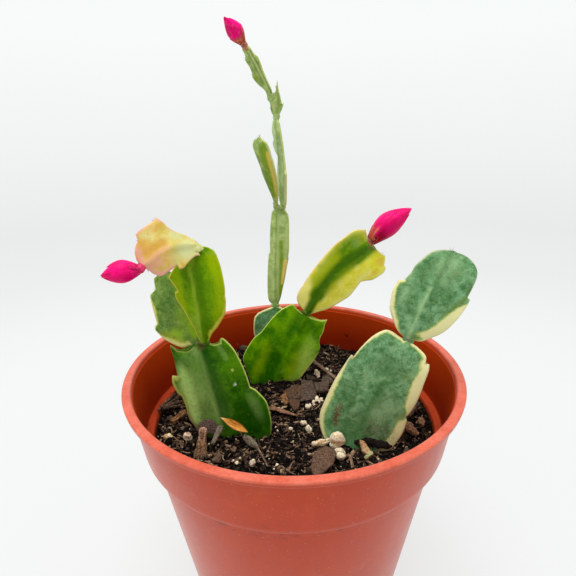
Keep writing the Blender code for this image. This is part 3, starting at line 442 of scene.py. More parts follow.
BUDS = {
    "left_bud": dict(neck=(-41.3, -12.3, 127.8), tip=(-50.9, -15.2, 127.1), r=2.9, bow=(0, 0, .2), widest=.45),
    "centre_bud": dict(neck=(28.3, 25.4, 125.8), tip=(41.8, 25.2, 136.7), r=4.05, bow=(-.5, 0, .7), widest=.45),
    "back_bud": dict(neck=(-13.8, 25.5, 188.2), tip=(-18.7, 20.9, 194.3), r=2.35, bow=(-.1, 0, .3), widest=.42),
}

KEY, FRONT, LEFT, RIGHT, WORLD, STAGE_EMIT = 5.9, .62, .42, .38, .85, .80


# ================================================================ stem segments
EDGE_H = .40
RIB_H = .35
FILL_LEN = 3.0

# How each segment is marked, in its own coordinates (u across, v up the midrib, mm).
#   tone        which base colouring it has
#   left/right  width of the cream margin at heights (v, width)
#   strokes     (layer, [(u, v), ...], half width, softness, strength)
#   blobs       (layer, u, v, radius u, radius v, turn, strength)
#   fold        how strongly the two halves are folded along the midrib (mm at the margin)
MARKS = {
    "right_base_segment": dict(
        tone="blue", fold=.5, wave=.35,
        left=[(0, 1.2), (8, 1.5), (14, 1.6), (20, 1.6), (25, 1.4), (29, .9), (32, .6), (38, .8), (41, 1.1), (44, 1.0)],
        right=[(0, 2.2), (12, 2.7), (18, 2.8), (21.5, 2.2), (23.2, .4), (24.5, 1.1), (27, 2.6), (30, 3.0), (34, 3.0),
               (36.5, 2.4), (39, 1.6), (41, 1.3), (44, .8)],
        strokes=[("dark", [(-1, 29), (-1.4, 24), (-1.3, 19.5), (-1.0, 12)], .6, 1.1, .7),
                 ("dark", [(-.6, 24), (-2.2, 18), (-2.0, 13)], .7, 1.5, .5),
                 ("pale", [(-7.5, 30), (-5.8, 28), (-4.6, 25.5)], .22, .35, .6),
                 ("pale", [(-4.6, 28.8), (-3, 29.6), (-1.4, 31.5)], .2, .3, .5),
                 ("pale", [(2.6, 31), (4.2, 34), (6.2, 37)], .22, .35, .55),
                 ("pale", [(-6.4, 24), (-5.2, 20.5), (-5.4, 17)], .2, .3, .5),
                 ("pale", [(1.2, 26), (2.4, 29)], .2, .35, .4),
                 ("brown", [(-9.4, 17.2), (-8.9, 13.5), (-8.2, 11.2)], .62, .5, .9)],
        blobs=[("pale", 2.4, 22, 2.6, 4.6, -18, .55), ("pale", 4.6, 24.5, 2.2, 3.2, 0, .4),
               ("pale", 6.2, 36, 1.9, 2.0, 0, .35), ("pale", -10.5, 42.5, 2.6, 1.1, 10, .8),
               ("olive", 7.4, 22.6, .9, 2.0, -25, .4), ("pale", 8.2, 22.0, 2.0, 3.0, 0, .75), ("olive", 3.8, 34.5, 1.3, 1.6, 0, .4),
               ("dark", -2.0, 35, 4, 3.6, 0, .45), ("dark", -8.0, 22, 2.6, 6.0, 8, .35),
               ("brown", 4.4, 16, 4.4, 2.8, 0, .5), ("brown", -9.0, 13, 1.0, 2.4, 12, .35),
               ("dark", -3, 11, 5, 3, 0, .5)]),
    "right_tip_segment": dict(
        tone="blue", fold=.7, wave=.3,
        left=[(0, .3), (1.2, .7), (3, 1.3), (5, 1.4), (9, 1.3), (12, 1.0), (14, 1.0), (15, .25), (20, .2), (27, .15)],
        right=[(0, .4), (1.4, 1.2), (3, 2.7), (8, 3.3), (11, 3.0), (13.5, 2.0), (15.5, 1.0), (16.6, .2), (27, .15)],
        strokes=[("pale", [(-.4, 0), (-.5, 5), (-.9, 10), (-.8, 15.5)], .24, .4, .8),
                 ("dark", [(-.2, 14), (.1, 20), (-.1, 26)], .35, .8, .6),
                 ("dark", [(1.6, 12), (3.2, 18), (4.4, 24)], .5, 1.2, .35),
                 ("dark", [(-3.5, 8), (-4.6, 14), (-4.0, 20)], .8, 1.6, .35),
                 ("olive", [(6.4, 8.4), (7.4, 12), (9.2, 16.6)], .5, .6, .6)],
        blobs=[("pale", 1.2, 22, 3.6, 4.4, 0, .3), ("pale", -6.4, 12, 2, 5, 0, .25), ("dark", 4.5, 14.5, 2.2, 2.6, 0, .4),
               ("dark", 9.4, 19.5, 1.0, 1.7, 0, .6), ("dark", -4, 18, 2.5, 2.5, 0, .35), ("olive", 1.5, 1.2, 2.0, 1.2, 0, .5)]),
    "left_base_segment": dict(
        tone="deep", fold=1.3, wave=.35,
        left=[(0, .6), (13, .7), (17, .9), (20, 1.3), (24, 1.5), (28, 1.6), (31, 1.2), (32, .35), (38, .45), (42, .55)],
        right=[(0, .3), (10, .45), (20, .5), (28, .5), (36, .55), (39, .6)],
        strokes=[("pale", [(-.7, 36.5), (-.9, 29), (-1.6, 21), (-2.2, 14)], .3, 1.0, .16),
                 ("dark", [(.7, 38), (.9, 29), (1.0, 20), (.4, 12)], 1.0, 1.8, .75),
                 ("pale", [(5.5, 38), (5.8, 35.5), (6.6, 32.5)], .3, .9, .16),
                 ("brown", [(-.9, 37.6), (.4, 37.5), (1.6, 37.9)], .3, .35, .7),
                 ("tan", [(-12.9, 18), (-12.4, 14.5), (-10, 11.8)], .9, 1.2, .9)],
        # the large blue and pale blobs on the left half are painted sheen and painted light: they stand in for the
        # gloss and light that half catches
        blobs=[("blue", -6.2, 24, 6.8, 9.5, -8, 1.0), ("blue", -3.4, 17.5, 5.0, 6.0, 0, .9), ("blue", -4.5, 33.5, 3.6, 4.5, 0, .55),
               ("pale", -10.6, 20, 3.0, 10.0, -12, .9), ("pale", -9.0, 29.5, 1.8, 5.0, 0, .6), ("pale", -6.0, 24, 2.6, 3.2, 0, .18),
               ("dark", 8.6, 13, 6.0, 7.5, 0, .95), ("dark", 4.0, 12, 4.6, 6.0, 0, .6), ("dark", 3.4, 35, 3.2, 3.4, 0, .45),
               ("lime", 8.2, 31, 3.2, 6.0, 14, .55), ("pale", 10.4, 16.5, 1.4, 4.5, 10, .14),
               ("cream", 7.3, 28.5, .45, .45, 0, .7), ("speck", 6.6, 24.2, .34, .3, 0, 1.0),
               ("pale", -1.8, 37, 1.6, 1.6, 0, .25)]),
    "left_rear_segment": dict(
        tone="moss", fold=.5, wave=.25,
        left=[(0, 1.5), (2, 1.7), (4.5, 1.5), (6.5, .7), (8.5, .5), (10.2, .8), (14, 1.1), (17, .7), (19, .4), (24, .4)],
        right=[(0, .5), (24, .4)],
        strokes=[("lime", [(-2.4, 1.2), (-4.6, 3.6), (-6.6, 6.0)], .8, .9, .7),
                 ("green", [(2.0, 3), (2.6, 9), (2.8, 15), (2.6, 21)], .9, 1.4, .9)],
        blobs=[("green", 1.4, 7.5, 3.0, 5.5, 12, .5), ("green", -3.6, 4.6, 2.6, 2.2, 20, .7), ("dark", -2.6, 13.5, 2.2, 5, 0, .4),
               ("pale", -2.6, 20.5, 3.2, 2.6, 0, .1), ("brown", -4.4, 4.2, .3, .3, 0, .8), ("dark", .8, 17, 2.0, 4.2, 0, .4)]),
    "left_front_segment": dict(
        tone="bright", fold=1.5, wave=.3,
        left=[(0, .75), (12, .8), (22, .8), (29, .6)],
        right=[(0, .4), (1.6, .7), (3.0, 1.3), (6.0, 1.4), (9.5, 1.1), (12, .7), (16, .55), (29, .4)],
        strokes=[("pale", [(-.4, .5), (-.3, 6), (-.4, 12), (-1.1, 18.2), (-2.2, 23)], .26, .5, .65),
                 ("pale", [(-1.2, .8), (-1.6, 4), (-2.2, 8)], .9, 1.1, .5),
                 ("dark", [(.9, 1), (1.0, 7), (.9, 13), (.5, 20), (-.4, 26)], .8, 1.3, .7),
                 ("dark", [(-2.4, 18), (-3.4, 24)], .6, 1.2, .3),
                 ("lime", [(6.6, 4), (7.7, 12), (7.2, 20), (5.0, 26)], 1.3, 1.8, .85)],
        blobs=[("lime", 5.6, 7.5, 1.6, 5.0, 0, .7), ("lime", -5.6, 13, 1.8, 8.0, 8, .8), ("pale", -3.0, 5, 2.0, 3.0, 0, .7), ("pale", -1.4, 26, 1.0, 2.6, 0, .35),
               ("lime", 5.4, 24, 1.6, 2.6, 0, .6), ("pale", 4.6, 27.6, 2.0, .6, 0, .4)]),
    "left_tip_segment": dict(
        tone="young", fold=1.0, wave=.75, edge=.85,
        left=[(0, .5), (16, .4)],
        right=[(0, .4), (16, .4)],
        strokes=[("rose", [(.0, 14.0), (.2, 9.4), (.4, 7.4)], .3, .5, .55), ("gold", [(1.6, 12.6), (1.9, 8.4)], .7, 1.4, .9),
                 ("rose", [(-6.4, 8.2), (-6.2, 12.6), (-5.0, 15), (-2.0, 16.2)], .8, 1.1, 1.0),
                 ("rose", [(-2.0, 15.6), (1.0, 15.8), (4.0, 14.6)], .8, 1.0, .8),
                 ("rose", [(-1.6, 11.8), (-1.0, 14.6)], .7, 1.4, .6),
                 ("rose", [(8.2, 7.0), (9.2, 7.6), (8.0, 9.8), (7.4, 12.2)], .25, .5, .6)],
        # the strong pale blobs near the foot are a painted highlight: a whitish shine on the skin
        blobs=[("orange", 3.6, 13.2, 2.2, 2.6, 0, .7), ("orange", -2.6, 10.8, 2.6, 3.4, 10, .6), ("orange", 6.6, 8.4, 1.2, 1.8, 0, .4),
               ("lime", .4, 2.6, 3.4, 2.6, 0, .5), ("lime", -1.6, 5.4, 2.6, 2.2, 0, .5), ("pale", -1.6, 2.4, 2.6, 3.4, 0, .95), ("pale", -3.0, 6.6, 1.6, 2.4, 30, .5),
               ("pale", 4.0, 4.4, 2.2, 1.8, 0, .8), ("lime", 5.4, 4.4, 1.1, 3.0, 0, .35), ("rose", -1.6, 14.2, 1.8, 1.6, 0, .5)]),
    "centre_base_segment": dict(
        tone="vivid", fold=1.3, wave=.35,
        left=[(0, .4), (12, .5), (24, .5), (38, .6), (41, .6)],
        right=[(0, .3), (14, .6), (18, 1.3), (24, 1.1), (28, .5), (31, .35), (33, .8), (40, .7)],
        strokes=[("dark", [(-2.0, 8), (-2.8, 15), (-3.0, 20)], 1.3, 2.6, .95),
                 ("dark", [(-1.6, 33), (-1.2, 39)], .9, 2.2, .7), ("dark", [(-2.4, 22), (-1.9, 28), (-1.8, 33)], .4, 1.4, .4),
                 ("brown", [(2.0, 12.2), (4.6, 13.6)], .3, .3, .5)],
        blobs=[("dark", -2.6, 10, 3.2, 5.5, 0, .95), ("dark", 2.4, 35.5, 3.6, 3.4, 0, .55), ("lime", -7.4, 20, 1.8, 4.5, 10, .4),
               ("lime", -7.4, 14, 1.6, 4.0, 0, .5), ("lime", 4.2, 20, 2.2, 6.0, 0, .6),
               ("pale", 7.9, 21.5, 2.8, 8.5, 14, .95), ("pale", 6.4, 14.6, 2.0, 2.2, 0, .5), ("pale", 1.0, 16, .6, .8, 0, .4)]),
    "centre_tip_segment": dict(
        tone="gold", fold=.4, wave=.3, soft=3.0,
        left=[(0, 1.6), (3, 3.4), (6, 3.8), (9, 2.6), (11, 1.0), (14, .4), (20, .4), (24, .5), (26, .9), (30, 1.4), (34, 1.4)],
        right=[(0, 1.0), (4, 1.5), (8, 1.5), (12, 1.1), (17, .8), (22, .7), (28, .8), (33, .8)],
        strokes=[("green", [(-.1, -1.0), (-.5, 3), (-1.2, 7.5)], .7, 1.1, 1.0),
                 ("green", [(-1.3, 7.5), (-2.0, 12), (-2.2, 18), (-1.2, 25), (.4, 30), (1.0, 33)], 1.9, 1.7, 1.0),
                 ("green", [(-1.2, 16), (-.3, 21), (.9, 27), (1.4, 31)], 1.7, 1.4, 1.0),
                 ("dark", [(-.1, 0), (-.9, 4), (-1.6, 10), (-1.8, 18), (-1.0, 25), (.4, 30)], .7, 1.6, .95),
                 ("lime", [(-4.4, 11.5), (-4.8, 15), (-5.0, 20)], 1.5, 2.0, .8),
                 ("lime", [(1.2, 10), (1.3, 15), (1.8, 22)], .5, 1.6, .5)],
        blobs=[("green", -3.6, 26.0, 4.2, 7.0, 0, 1.0), ("green", -2.4, 30.5, 3.0, 2.6, 0, .8), ("green", 2.4, 30.5, 1.8, 2.6, 0, .6), ("green", -6.4, 15.6, 2.0, .9, 20, .45),
               ("brown", 1.2, 32.4, 1.3, 1.1, 0, .6), ("pale", -3.6, 29.4, 1.5, 1.5, 0, .4), ("dark", 2.2, 25.6, .5, .5, 0, .5),
               ("orange", 8.0, 32.0, 1.6, 1.5, 0, .4), ("orange", 9.4, 27.6, .8, 2.0, 0, .3)]),
    "back_base_segment": dict(
        tone="blue", fold=.4, wave=.25, left=[(0, .6), (32, .9)], right=[(0, .6), (32, .9)], strokes=[], blobs=[]),
    "back_second_segment": dict(
        tone="sage", fold=.3, wave=.12, left=[(0, .3), (36, .3)], right=[(0, .3), (8, .6), (20, .3), (33, .4), (36, .8)],
        strokes=[("pale", [(1.3, 2), (1.1, 10), (.7, 20), (.3, 34)], .3, .4, .8),
                 ("dark", [(.5, 2), (.3, 12), (0, 22), (-.4, 33)], .18, .4, .45),
                 ("green", [(1.8, 1), (2.0, 8), (2.4, 16), (1.8, 24)], .6, .6, .9),
                 ("orange", [(3.3, 9.0), (3.6, 13), (3.9, 17.0)], .75, .5, 1.0)],
        blobs=[("pale", -1.5, 12, 1.1, 12, 0, .4), ("pale", -3.8, 9, 1.0, 8, 0, .9), ("pale", 4.0, 24, 1.2, 6, 0, .8), ("lime", 4.0, 8, 1.0, 5, 0, .7), ("cream", 3.6, 34.6, .5, 1.3, 0, .9), ("lime", 3.0, 7, 1.0, 4.0, 0, .5)]),
    "back_side_segment": dict(
        tone="sage", fold=.3, wave=.15, left=[(0, .2), (24, .3)], right=[(0, .6), (20, .8), (24, .5)],
        strokes=[("green", [(.6, 6), (1.0, 12), (1.2, 18), (1.0, 22)], 1.2, .9, .95),
                 ("gold", [(2.0, 3), (2.9, 9), (3.1, 14), (2.8, 20)], .55, .6, 1.0),
                 ("dark", [(-.9, 6), (-1.0, 13), (-1.4, 19)], .5, .7, .6)],
        blobs=[("pale", -.9, 16.4, .5, 1.0, 10, .7), ("lime", 1.2, 19, 1.4, 3.0, 0, .4)]),
    "back_third_segment": dict(
        tone="sage", fold=.2, wave=.2, left=[(0, .3), (30, .3)], right=[(0, .4), (5, .9), (10, 1.0), (14, .5), (30, .3)],
        strokes=[("gold", [(-5.6, 6), (-5.8, 10), (-4.6, 14)], .6, .6, .8)],
        blobs=[("green", 0, 4.6, 6.0, 3.4, 0, 1.0), ("dark", 2.0, 23, 2.0, 3.0, 0, .4),
               ("blue", -1, 14, 3, 7, 0, .45), ("green", 2.4, 16, 1.6, 3.0, 0, .4)]),
    "back_fourth_segment": dict(
        tone="sage", fold=.1, wave=.05, left=[(0, .2), (6, .2)], right=[(0, .4), (4, .5), (10, .5)],
        strokes=[("tan", [(.4, 3.0), (1.4, 3.9)], .12, .2, .6)],
        blobs=[("pale", .2, 4.2, .8, 2.4, 0, .5), ("dark", -1.2, 3.0, .5, .9, 0, .7), ("brown", -1.0, 2.0, .22, .22, 0, .9),
               ("brown", 3.0, 8.4, .25, .25, 0, .9), ("green", 2.6, 6.0, .6, 2.0, 0, .4)]),
    "back_top_segment": dict(
        tone="sage", fold=.2, wave=.08, left=[(0, .2), (17, .2)], right=[(0, .3), (4, .7), (9, .9), (12, .6), (17, .4)],
        strokes=[("pale", [(.1, 1), (.1, 8), (.2, 16)], .2, .3, .8),
                 ("dark", [(.6, 1), (.6, 8), (.6, 16)], .14, .25, .7), ("dark", [(-.5, 5), (-.4, 11), (-.2, 16)], .14, .25, .5)],
        blobs=[("lime", -1.7, 7.6, .8, .8, 0, .8), ("brown", 1.2, 12.7, .2, .2, 0, .9), ("cream", 1.1, 16.2, .5, .8, 0, .9)]),
}


def margin(stations, per=10):
    """Margin curve through its stations: rounded between corners, sharp at them. Returns (t, points, corner t)."""
    p = np.array([s[:2] for s in stations], float)
    corner = [0] + [i for i, s in enumerate(stations) if len(s) > 2] + [len(p) - 1]
    out, marks = [p[0]], []
    for a, b in zip(corner[:-1], corner[1:]):
        run = p[a:b + 1]
        if len(run) == 2:
            pts = [run[0] * (1 - k / 6) + run[1] * k / 6 for k in range(1, 7)]
        else:
            ext = np.vstack([2 * run[0] - run[1], run, 2 * run[-1] - run[-2]])
            pts = []
            for i in range(1, len(ext) - 2):
                p0, p1, p2, p3 = ext[i - 1:i + 3]
                for k in range(1, per + 1):
                    t = k / per
                    pts.append(.5 * ((2 * p1) + (p2 - p0) * t + (2 * p0 - 5 * p1 + 4 * p2 - p3) * t * t
                                     + (3 * p1 - p0 - 3 * p2 + p3) * t ** 3))
        out += pts
        marks.append(len(out) - 1)
    out = np.array(out)
    d = np.r_[0, np.cumsum(np.linalg.norm(np.diff(out, axis=0), axis=1))]
    t = d / d[-1]
    return t, out, [t[m] for m in marks[:-1]]


class Spine:
    """Curved midrib with its length scale, direction across it, and the face direction."""

    def __init__(self, base, tip, bow, w0, w1, **_):
        self.b, self.t = np.array(base, float), np.array(tip, float)
        self.m = (self.b + self.t) / 2 + np.array(bow, float)
        self.w0, self.w1 = unit(w0), unit(w1)
        self.q = np.linspace(0, 1, 401)
        p = (1 - self.q[:, None]) ** 2 * self.b + 2 * self.q[:, None] * (1 - self.q[:, None]) * self.m \
            + self.q[:, None] ** 2 * self.t
        self.d = np.r_[0, np.cumsum(np.linalg.norm(np.diff(p, axis=0), axis=1))]
        self.length = self.d[-1]

    def place(self, u, v, off):
        """Points for arrays u, v, off."""
        q = np.interp(v, self.d, self.q)[:, None]
        tan = 2 * (1 - q) * (self.m - self.b) + 2 * q * (self.t - self.m)
        tan /= np.linalg.norm(tan, axis=1, keepdims=True)
        p = (1 - q) ** 2 * self.b + 2 * q * (1 - q) * self.m + q ** 2 * self.t
        p = p + tan * (np.minimum(v, 0) + np.maximum(v - self.length, 0))[:, None]
        w = (1 - q) * self.w0 + q * self.w1
        w = w - tan * np.einsum("ij,ij->i", w, tan)[:, None]
        w /= np.linalg.norm(w, axis=1, keepdims=True)
        n = np.cross(w, tan)
        return p + u[:, None] * w + off[:, None] * n


def to_line(p, a, b):
    """Distance of points p (N, 2) from each stretch a-b (M, 2), the least of them."""
    best = np.full(len(p), 1e9)
    for s, e in zip(a, b):
        ab = e - s
        k = np.clip((p - s) @ ab / max(ab @ ab, 1e-9), 0, 1)
        best = np.minimum(best, np.hypot(*(p - s - k[:, None] * ab).T))
    return best


LAYERS = ("cream", "dark", "pale", "olive", "brown", "blue", "green", "lime", "orange", "rose", "gold", "tan", "speck")


def segment(name, spec, marks, seed):
    """High resolution stem segment with a rounded toothed margin, a midrib and its markings as attributes."""
    sp = Spine(**spec)
    tl, pl, cl = margin(spec["left"])
    tr, pr, cr = margin(spec["right"])
    rows = int(np.clip(sp.length / .38, 36, 110))
    cols = int(np.clip((max(p[1] for p in spec["left"]) + max(p[1] for p in spec["right"])) * 2.2, 24, 58)) // 2 * 2 + 1
    grid = [0.0, 1.0]
    for t in sorted(cl + cr):
        if min(abs(t - g) for g in grid) > .002:
            grid.append(t)
    for k in range(1, rows):
        t = k / rows
        if min(abs(t - g) for g in grid) > .35 / rows:
            grid.append(t)
    grid = np.array(sorted(grid))
    n = len(grid)
    vl = np.stack([np.interp(grid, tl, pl[:, 0]), np.interp(grid, tl, pl[:, 1])], 1)
    vr = np.stack([np.interp(grid, tr, pr[:, 0]), np.interp(grid, tr, pr[:, 1])], 1)
    vm = np.maximum.accumulate((vl[:, 0] + vr[:, 0]) / 2)
    vm = .8 * (vm - vm[0]) / (vm[-1] - vm[0]) + .2 * grid
    vm = vm * sp.length
    x = np.linspace(-1, 1, cols)
    s = np.sign(x) * np.sin(np.abs(x) * math.pi / 2) ** 1.0
    S, I = np.meshgrid(s, np.arange(n))
    E = np.where((S < 0)[..., None], vl[I], vr[I])
    # away from the margin the rows even out, so that the notches leave no crease across the face
    calm = []
    for line in (vl, vr):
        q = line.copy()
        for _ in range(8):
            q[1:-1] = (q[:-2] + 2 * q[1:-1] + q[2:]) / 4
        q[:, 0] = (np.maximum.accumulate(q[:, 0]) + np.minimum.accumulate(q[::-1, 0])[::-1]) / 2
        q[:, 1] = np.minimum(q[:, 1], line[:, 1] * 1.12)
        calm.append(q)
    C = np.where((S < 0)[..., None], calm[0][I], calm[1][I])
    E = C + (E - C) * ease((np.abs(S) - .78) / .22)[..., None]
    V = (vm[I] + (E[..., 0] - vm[I]) * np.abs(S))
    U = E[..., 1] * S
    P2 = np.stack([V.ravel(), U.ravel()], 1)
    edge = np.vstack([pl * [1, -1], (pr * [1, 1])[::-1]])
    a, b = edge[:-1], edge[1:]
    keep = np.ones(len(a), bool)
    keep[len(pl) - 1] = False
    a, b = a[keep], b[keep]
    D = to_line(P2, a, b).reshape(n, cols)
    D[:, 0] = 0
    D[:, -1] = 0
    # flesh: fills out from the margin, evened out so that no crease runs from the teeth
    fill = 1 - np.exp(-D / FILL_LEN)
    for _ in range(12):
        f = fill.copy()
        f[1:-1, 1:-1] = (fill[:-2, 1:-1] + fill[2:, 1:-1] + fill[1:-1, :-2] + fill[1:-1, 2:] + 4 * fill[1:-1, 1:-1]) / 8
        fill = f
    fill[:, 0] = fill[:, -1] = 0
    wmax = max(vl[:, 1].max(), vr[:, 1].max())
    e = np.clip(D / EDGE_H, 0, 1)
    h = EDGE_H * np.sqrt(1 - (1 - e) ** 2) + (spec["mid"] - RIB_H * .5 - EDGE_H) * fill
    end = ease(np.minimum(V - V.min(), sp.length * 1.06 - V) / 3.0)
    h = h + RIB_H * np.clip((wmax - 2.0) / 5.0, .25, 1) * np.exp(-(U / 1.1) ** 2) * np.minimum(1, D / 1.5)
    off = spec["cup"] * (U / wmax) ** 2 - marks["fold"] * (np.abs(U) / wmax) * .55 * ease(np.abs(U) / 1.6)
    off = off + marks["fold"] * .22
    p3 = np.stack([U.ravel(), V.ravel(), np.zeros(U.size)], 1)
    wave = marks["wave"] * (fbm(p3, 7.5, seed, 2) * .9 + fbm(p3 * [1, .55, 1], 3.2, seed + 9, 2) * .25).reshape(U.shape)
    off = off + wave * ease(D / 3.0 + .25) * np.clip((V + 1) / 6, .15, 1)
    front = sp.place(U.ravel(), V.ravel(), (off + h).ravel())
    back = sp.place(U.ravel(), V.ravel(), (off - h).ravel())
    idx_f = np.arange(n * cols).reshape(n, cols)
    idx_b = idx_f + n * cols
    idx_b[:, 0] = idx_f[:, 0]
    idx_b[:, -1] = idx_f[:, -1]
    used = np.zeros(2 * n * cols, bool)
    used[idx_f] = True
    used[idx_b] = True
    remap = np.cumsum(used) - 1
    verts = np.vstack([front, back])[used]
    idx_f, idx_b = remap[idx_f], remap[idx_b]
    # the two faces meet half way at the margin
    mid = (front.reshape(n, cols, 3)[:, [0, -1]] + back.reshape(n, cols, 3)[:, [0, -1]]) / 2
    verts[idx_f[:, 0]] = mid[:, 0]
    verts[idx_f[:, -1]] = mid[:, 1]
    q1 = np.stack([idx_f[:-1, :-1], idx_f[:-1, 1:], idx_f[1:, 1:], idx_f[1:, :-1]], -1).reshape(-1, 4)
    q2 = np.stack([idx_b[:-1, :-1], idx_b[1:, :-1], idx_b[1:, 1:], idx_b[:-1, 1:]], -1).reshape(-1, 4)
    caps_q, caps_t = [], []
    for r, flip in ((0, True), (n - 1, False)):
        for j in range(cols - 1):
            c = [idx_f[r, j], idx_f[r, j + 1], idx_b[r, j + 1], idx_b[r, j]]
            if flip:
                c = c[::-1]
            c = [k for i, k in enumerate(c) if k != c[i - 1]]
            (caps_q if len(c) == 4 else caps_t).append(c)
    faces = [q1, q2, np.array(caps_q), np.array(caps_t)]
    # markings
    u, v, d = U.ravel(), V.ravel(), D.ravel()
    uv = np.stack([u, v], 1)
    m = {k: np.zeros(len(u)) for k in LAYERS}
    wl = np.interp(v, *np.array(marks["left"]).T)
    wr = np.interp(v, *np.array(marks["right"]).T)
    side = ease((u + 1.2) / 2.4)
    width = wl * (1 - side) + wr * side
    width = np.where(width < 1.2, np.maximum(width - .42, -.6), width - .42 * np.clip((2.0 - width) / .8, 0, 1))
    soft = marks.get("soft", 1.6) * (.3 + .7 * np.clip(width / 1.2, 0, 1))
    m["cream"] = np.clip(.5 + (width - d) / soft, 0, 1) * (width > -.3)
    for layer, pts, half, soft, k in marks["strokes"]:
        pts = np.array(pts, float)
        q = to_line(uv, pts[:-1], pts[1:])
        m[layer] = np.maximum(m[layer], k * np.clip(1 - (q - half) / soft, 0, 1))
    for layer, bu, bv, ru, rv, turn, k in marks["blobs"]:
        c, s_ = math.cos(math.radians(turn)), math.sin(math.radians(turn))
        x1, y1 = (u - bu) * c + (v - bv) * s_, -(u - bu) * s_ + (v - bv) * c
        q = np.hypot(x1 / ru, y1 / rv)
        m[layer] = np.maximum(m[layer], k * ease(1.25 - q * .75))
    attrs = {}
    full = {**m, "edge": d, "along": v, "across": u}
    for k, val in full.items():
        if k in LAYERS and val.max() <= 0:
            continue
        attrs["m_" + k] = np.concatenate([val, val])[used]
    return verts, faces, attrs, [k for k in LAYERS if m[k].max() > 0]


#   dark, mid, light of the skin, how marbled it is and the colour of the marbling
TONES = {
    "blue": dict(c=(srgb(68, 114, 64), srgb(94, 142, 92), srgb(122, 166, 118)), marble=.6, vein=srgb(158, 188, 140), size=.75),
    "moss": dict(c=(srgb(70, 108, 36), srgb(94, 128, 48), srgb(122, 152, 72)), marble=.5, vein=srgb(152, 174, 106), size=.8),
    "deep": dict(c=(srgb(26, 72, 0), srgb(48, 100, 2), srgb(72, 124, 6)), marble=.25, vein=srgb(96, 138, 54), size=1.5),
    "bright": dict(c=(srgb(76, 122, 0), srgb(98, 144, 0), srgb(122, 164, 0)), marble=.18, vein=srgb(144, 174, 44), size=2.0),
    "young": dict(c=(srgb(214, 184, 80), srgb(228, 202, 102), srgb(232, 220, 142)), marble=.55, vein=srgb(220, 206, 142), size=1.6),
    "vivid": dict(c=(srgb(50, 108, 0), srgb(78, 134, 0), srgb(108, 158, 0)), marble=.2, vein=srgb(128, 166, 40), size=2.0),
    "gold": dict(c=(srgb(222, 216, 48), srgb(232, 226, 76), srgb(238, 232, 122)), marble=.2, vein=srgb(238, 232, 130), size=1.8),
    "sage": dict(c=(srgb(132, 160, 78), srgb(160, 184, 102), srgb(186, 206, 130)), marble=.4, vein=srgb(178, 196, 134), size=.9),
}
SPEC = {"blue": .22, "moss": .2, "deep": .08, "bright": .06, "young": .16, "vivid": .06, "gold": .12, "sage": .22}
EDGE_LINE = {"gold": srgb(222, 188, 132), "blue": srgb(208, 190, 150), "young": srgb(224, 150, 132)}
LAYER_COLOURS = {
    "blue": srgb(84, 126, 66), "dark": srgb(18, 62, 0), "green": srgb(64, 110, 0), "lime": srgb(140, 162, 6),
    "pale": srgb(146, 174, 96), "olive": srgb(92, 114, 22), "orange": srgb(222, 150, 62), "gold": srgb(212, 186, 74),
    "cream": srgb(216, 206, 132), "rose": srgb(224, 156, 128), "brown": srgb(104, 62, 52), "tan": srgb(186, 160, 110),
    "speck": srgb(235, 240, 225),
}
OVERRIDE = {
    ("sage", "dark"): srgb(84, 116, 40), ("sage", "pale"): srgb(182, 196, 124), ("sage", "green"): srgb(112, 144, 10),
    ("sage", "cream"): srgb(200, 202, 132), ("sage", "orange"): srgb(228, 196, 108),
    ("blue", "dark"): srgb(48, 92, 38), ("blue", "pale"): srgb(152, 184, 130), ("blue", "green"): srgb(84, 118, 30),
    ("blue", "cream"): srgb(226, 222, 160),
    ("moss", "dark"): srgb(66, 104, 40), ("moss", "pale"): srgb(134, 162, 88), ("moss", "green"): srgb(148, 184, 30),
    ("moss", "lime"): srgb(140, 156, 34), ("moss", "cream"): srgb(204, 200, 118),
    ("gold", "green"): srgb(92, 136, 0), ("gold", "dark"): srgb(58, 100, 0), ("gold", "cream"): srgb(246, 238, 128),
    ("gold", "lime"): srgb(160, 178, 14), ("young", "cream"): srgb(222, 186, 118), ("young", "lime"): srgb(196, 190, 92),
    # the young tone's pale is the colour of a painted highlight on the left-hand stem's top segment
    ("young", "pale"): srgb(208, 212, 152), ("young", "gold"): srgb(212, 160, 66), ("young", "rose"): srgb(246, 176, 160), ("young", "orange"): srgb(232, 168, 84), ("bright", "pale"): srgb(146, 172, 48), ("bright", "dark"): srgb(68, 110, 0),
    ("bright", "cream"): srgb(196, 188, 66), ("vivid", "pale"): srgb(160, 192, 74), ("deep", "cream"): srgb(172, 184, 92),
    # the deep tone's pale and blue are light tints for the painted sheen and painted light on the left half of the
    # left-hand stem's lowest segment
    ("deep", "pale"): srgb(188, 226, 126), ("deep", "dark"): srgb(16, 66, 0), ("deep", "tan"): srgb(150, 138, 82),
    ("deep", "blue"): srgb(112, 148, 70), ("vivid", "dark"): srgb(26, 82, 0),
    ("vivid", "cream"): srgb(186, 196, 92), ("bright", "lime"): srgb(148, 174, 0), ("deep", "lime"): srgb(78, 124, 0),
}
ORDER = ("blue", "green", "lime", "gold", "dark", "pale", "olive", "orange", "cream", "tan", "rose", "brown", "speck")


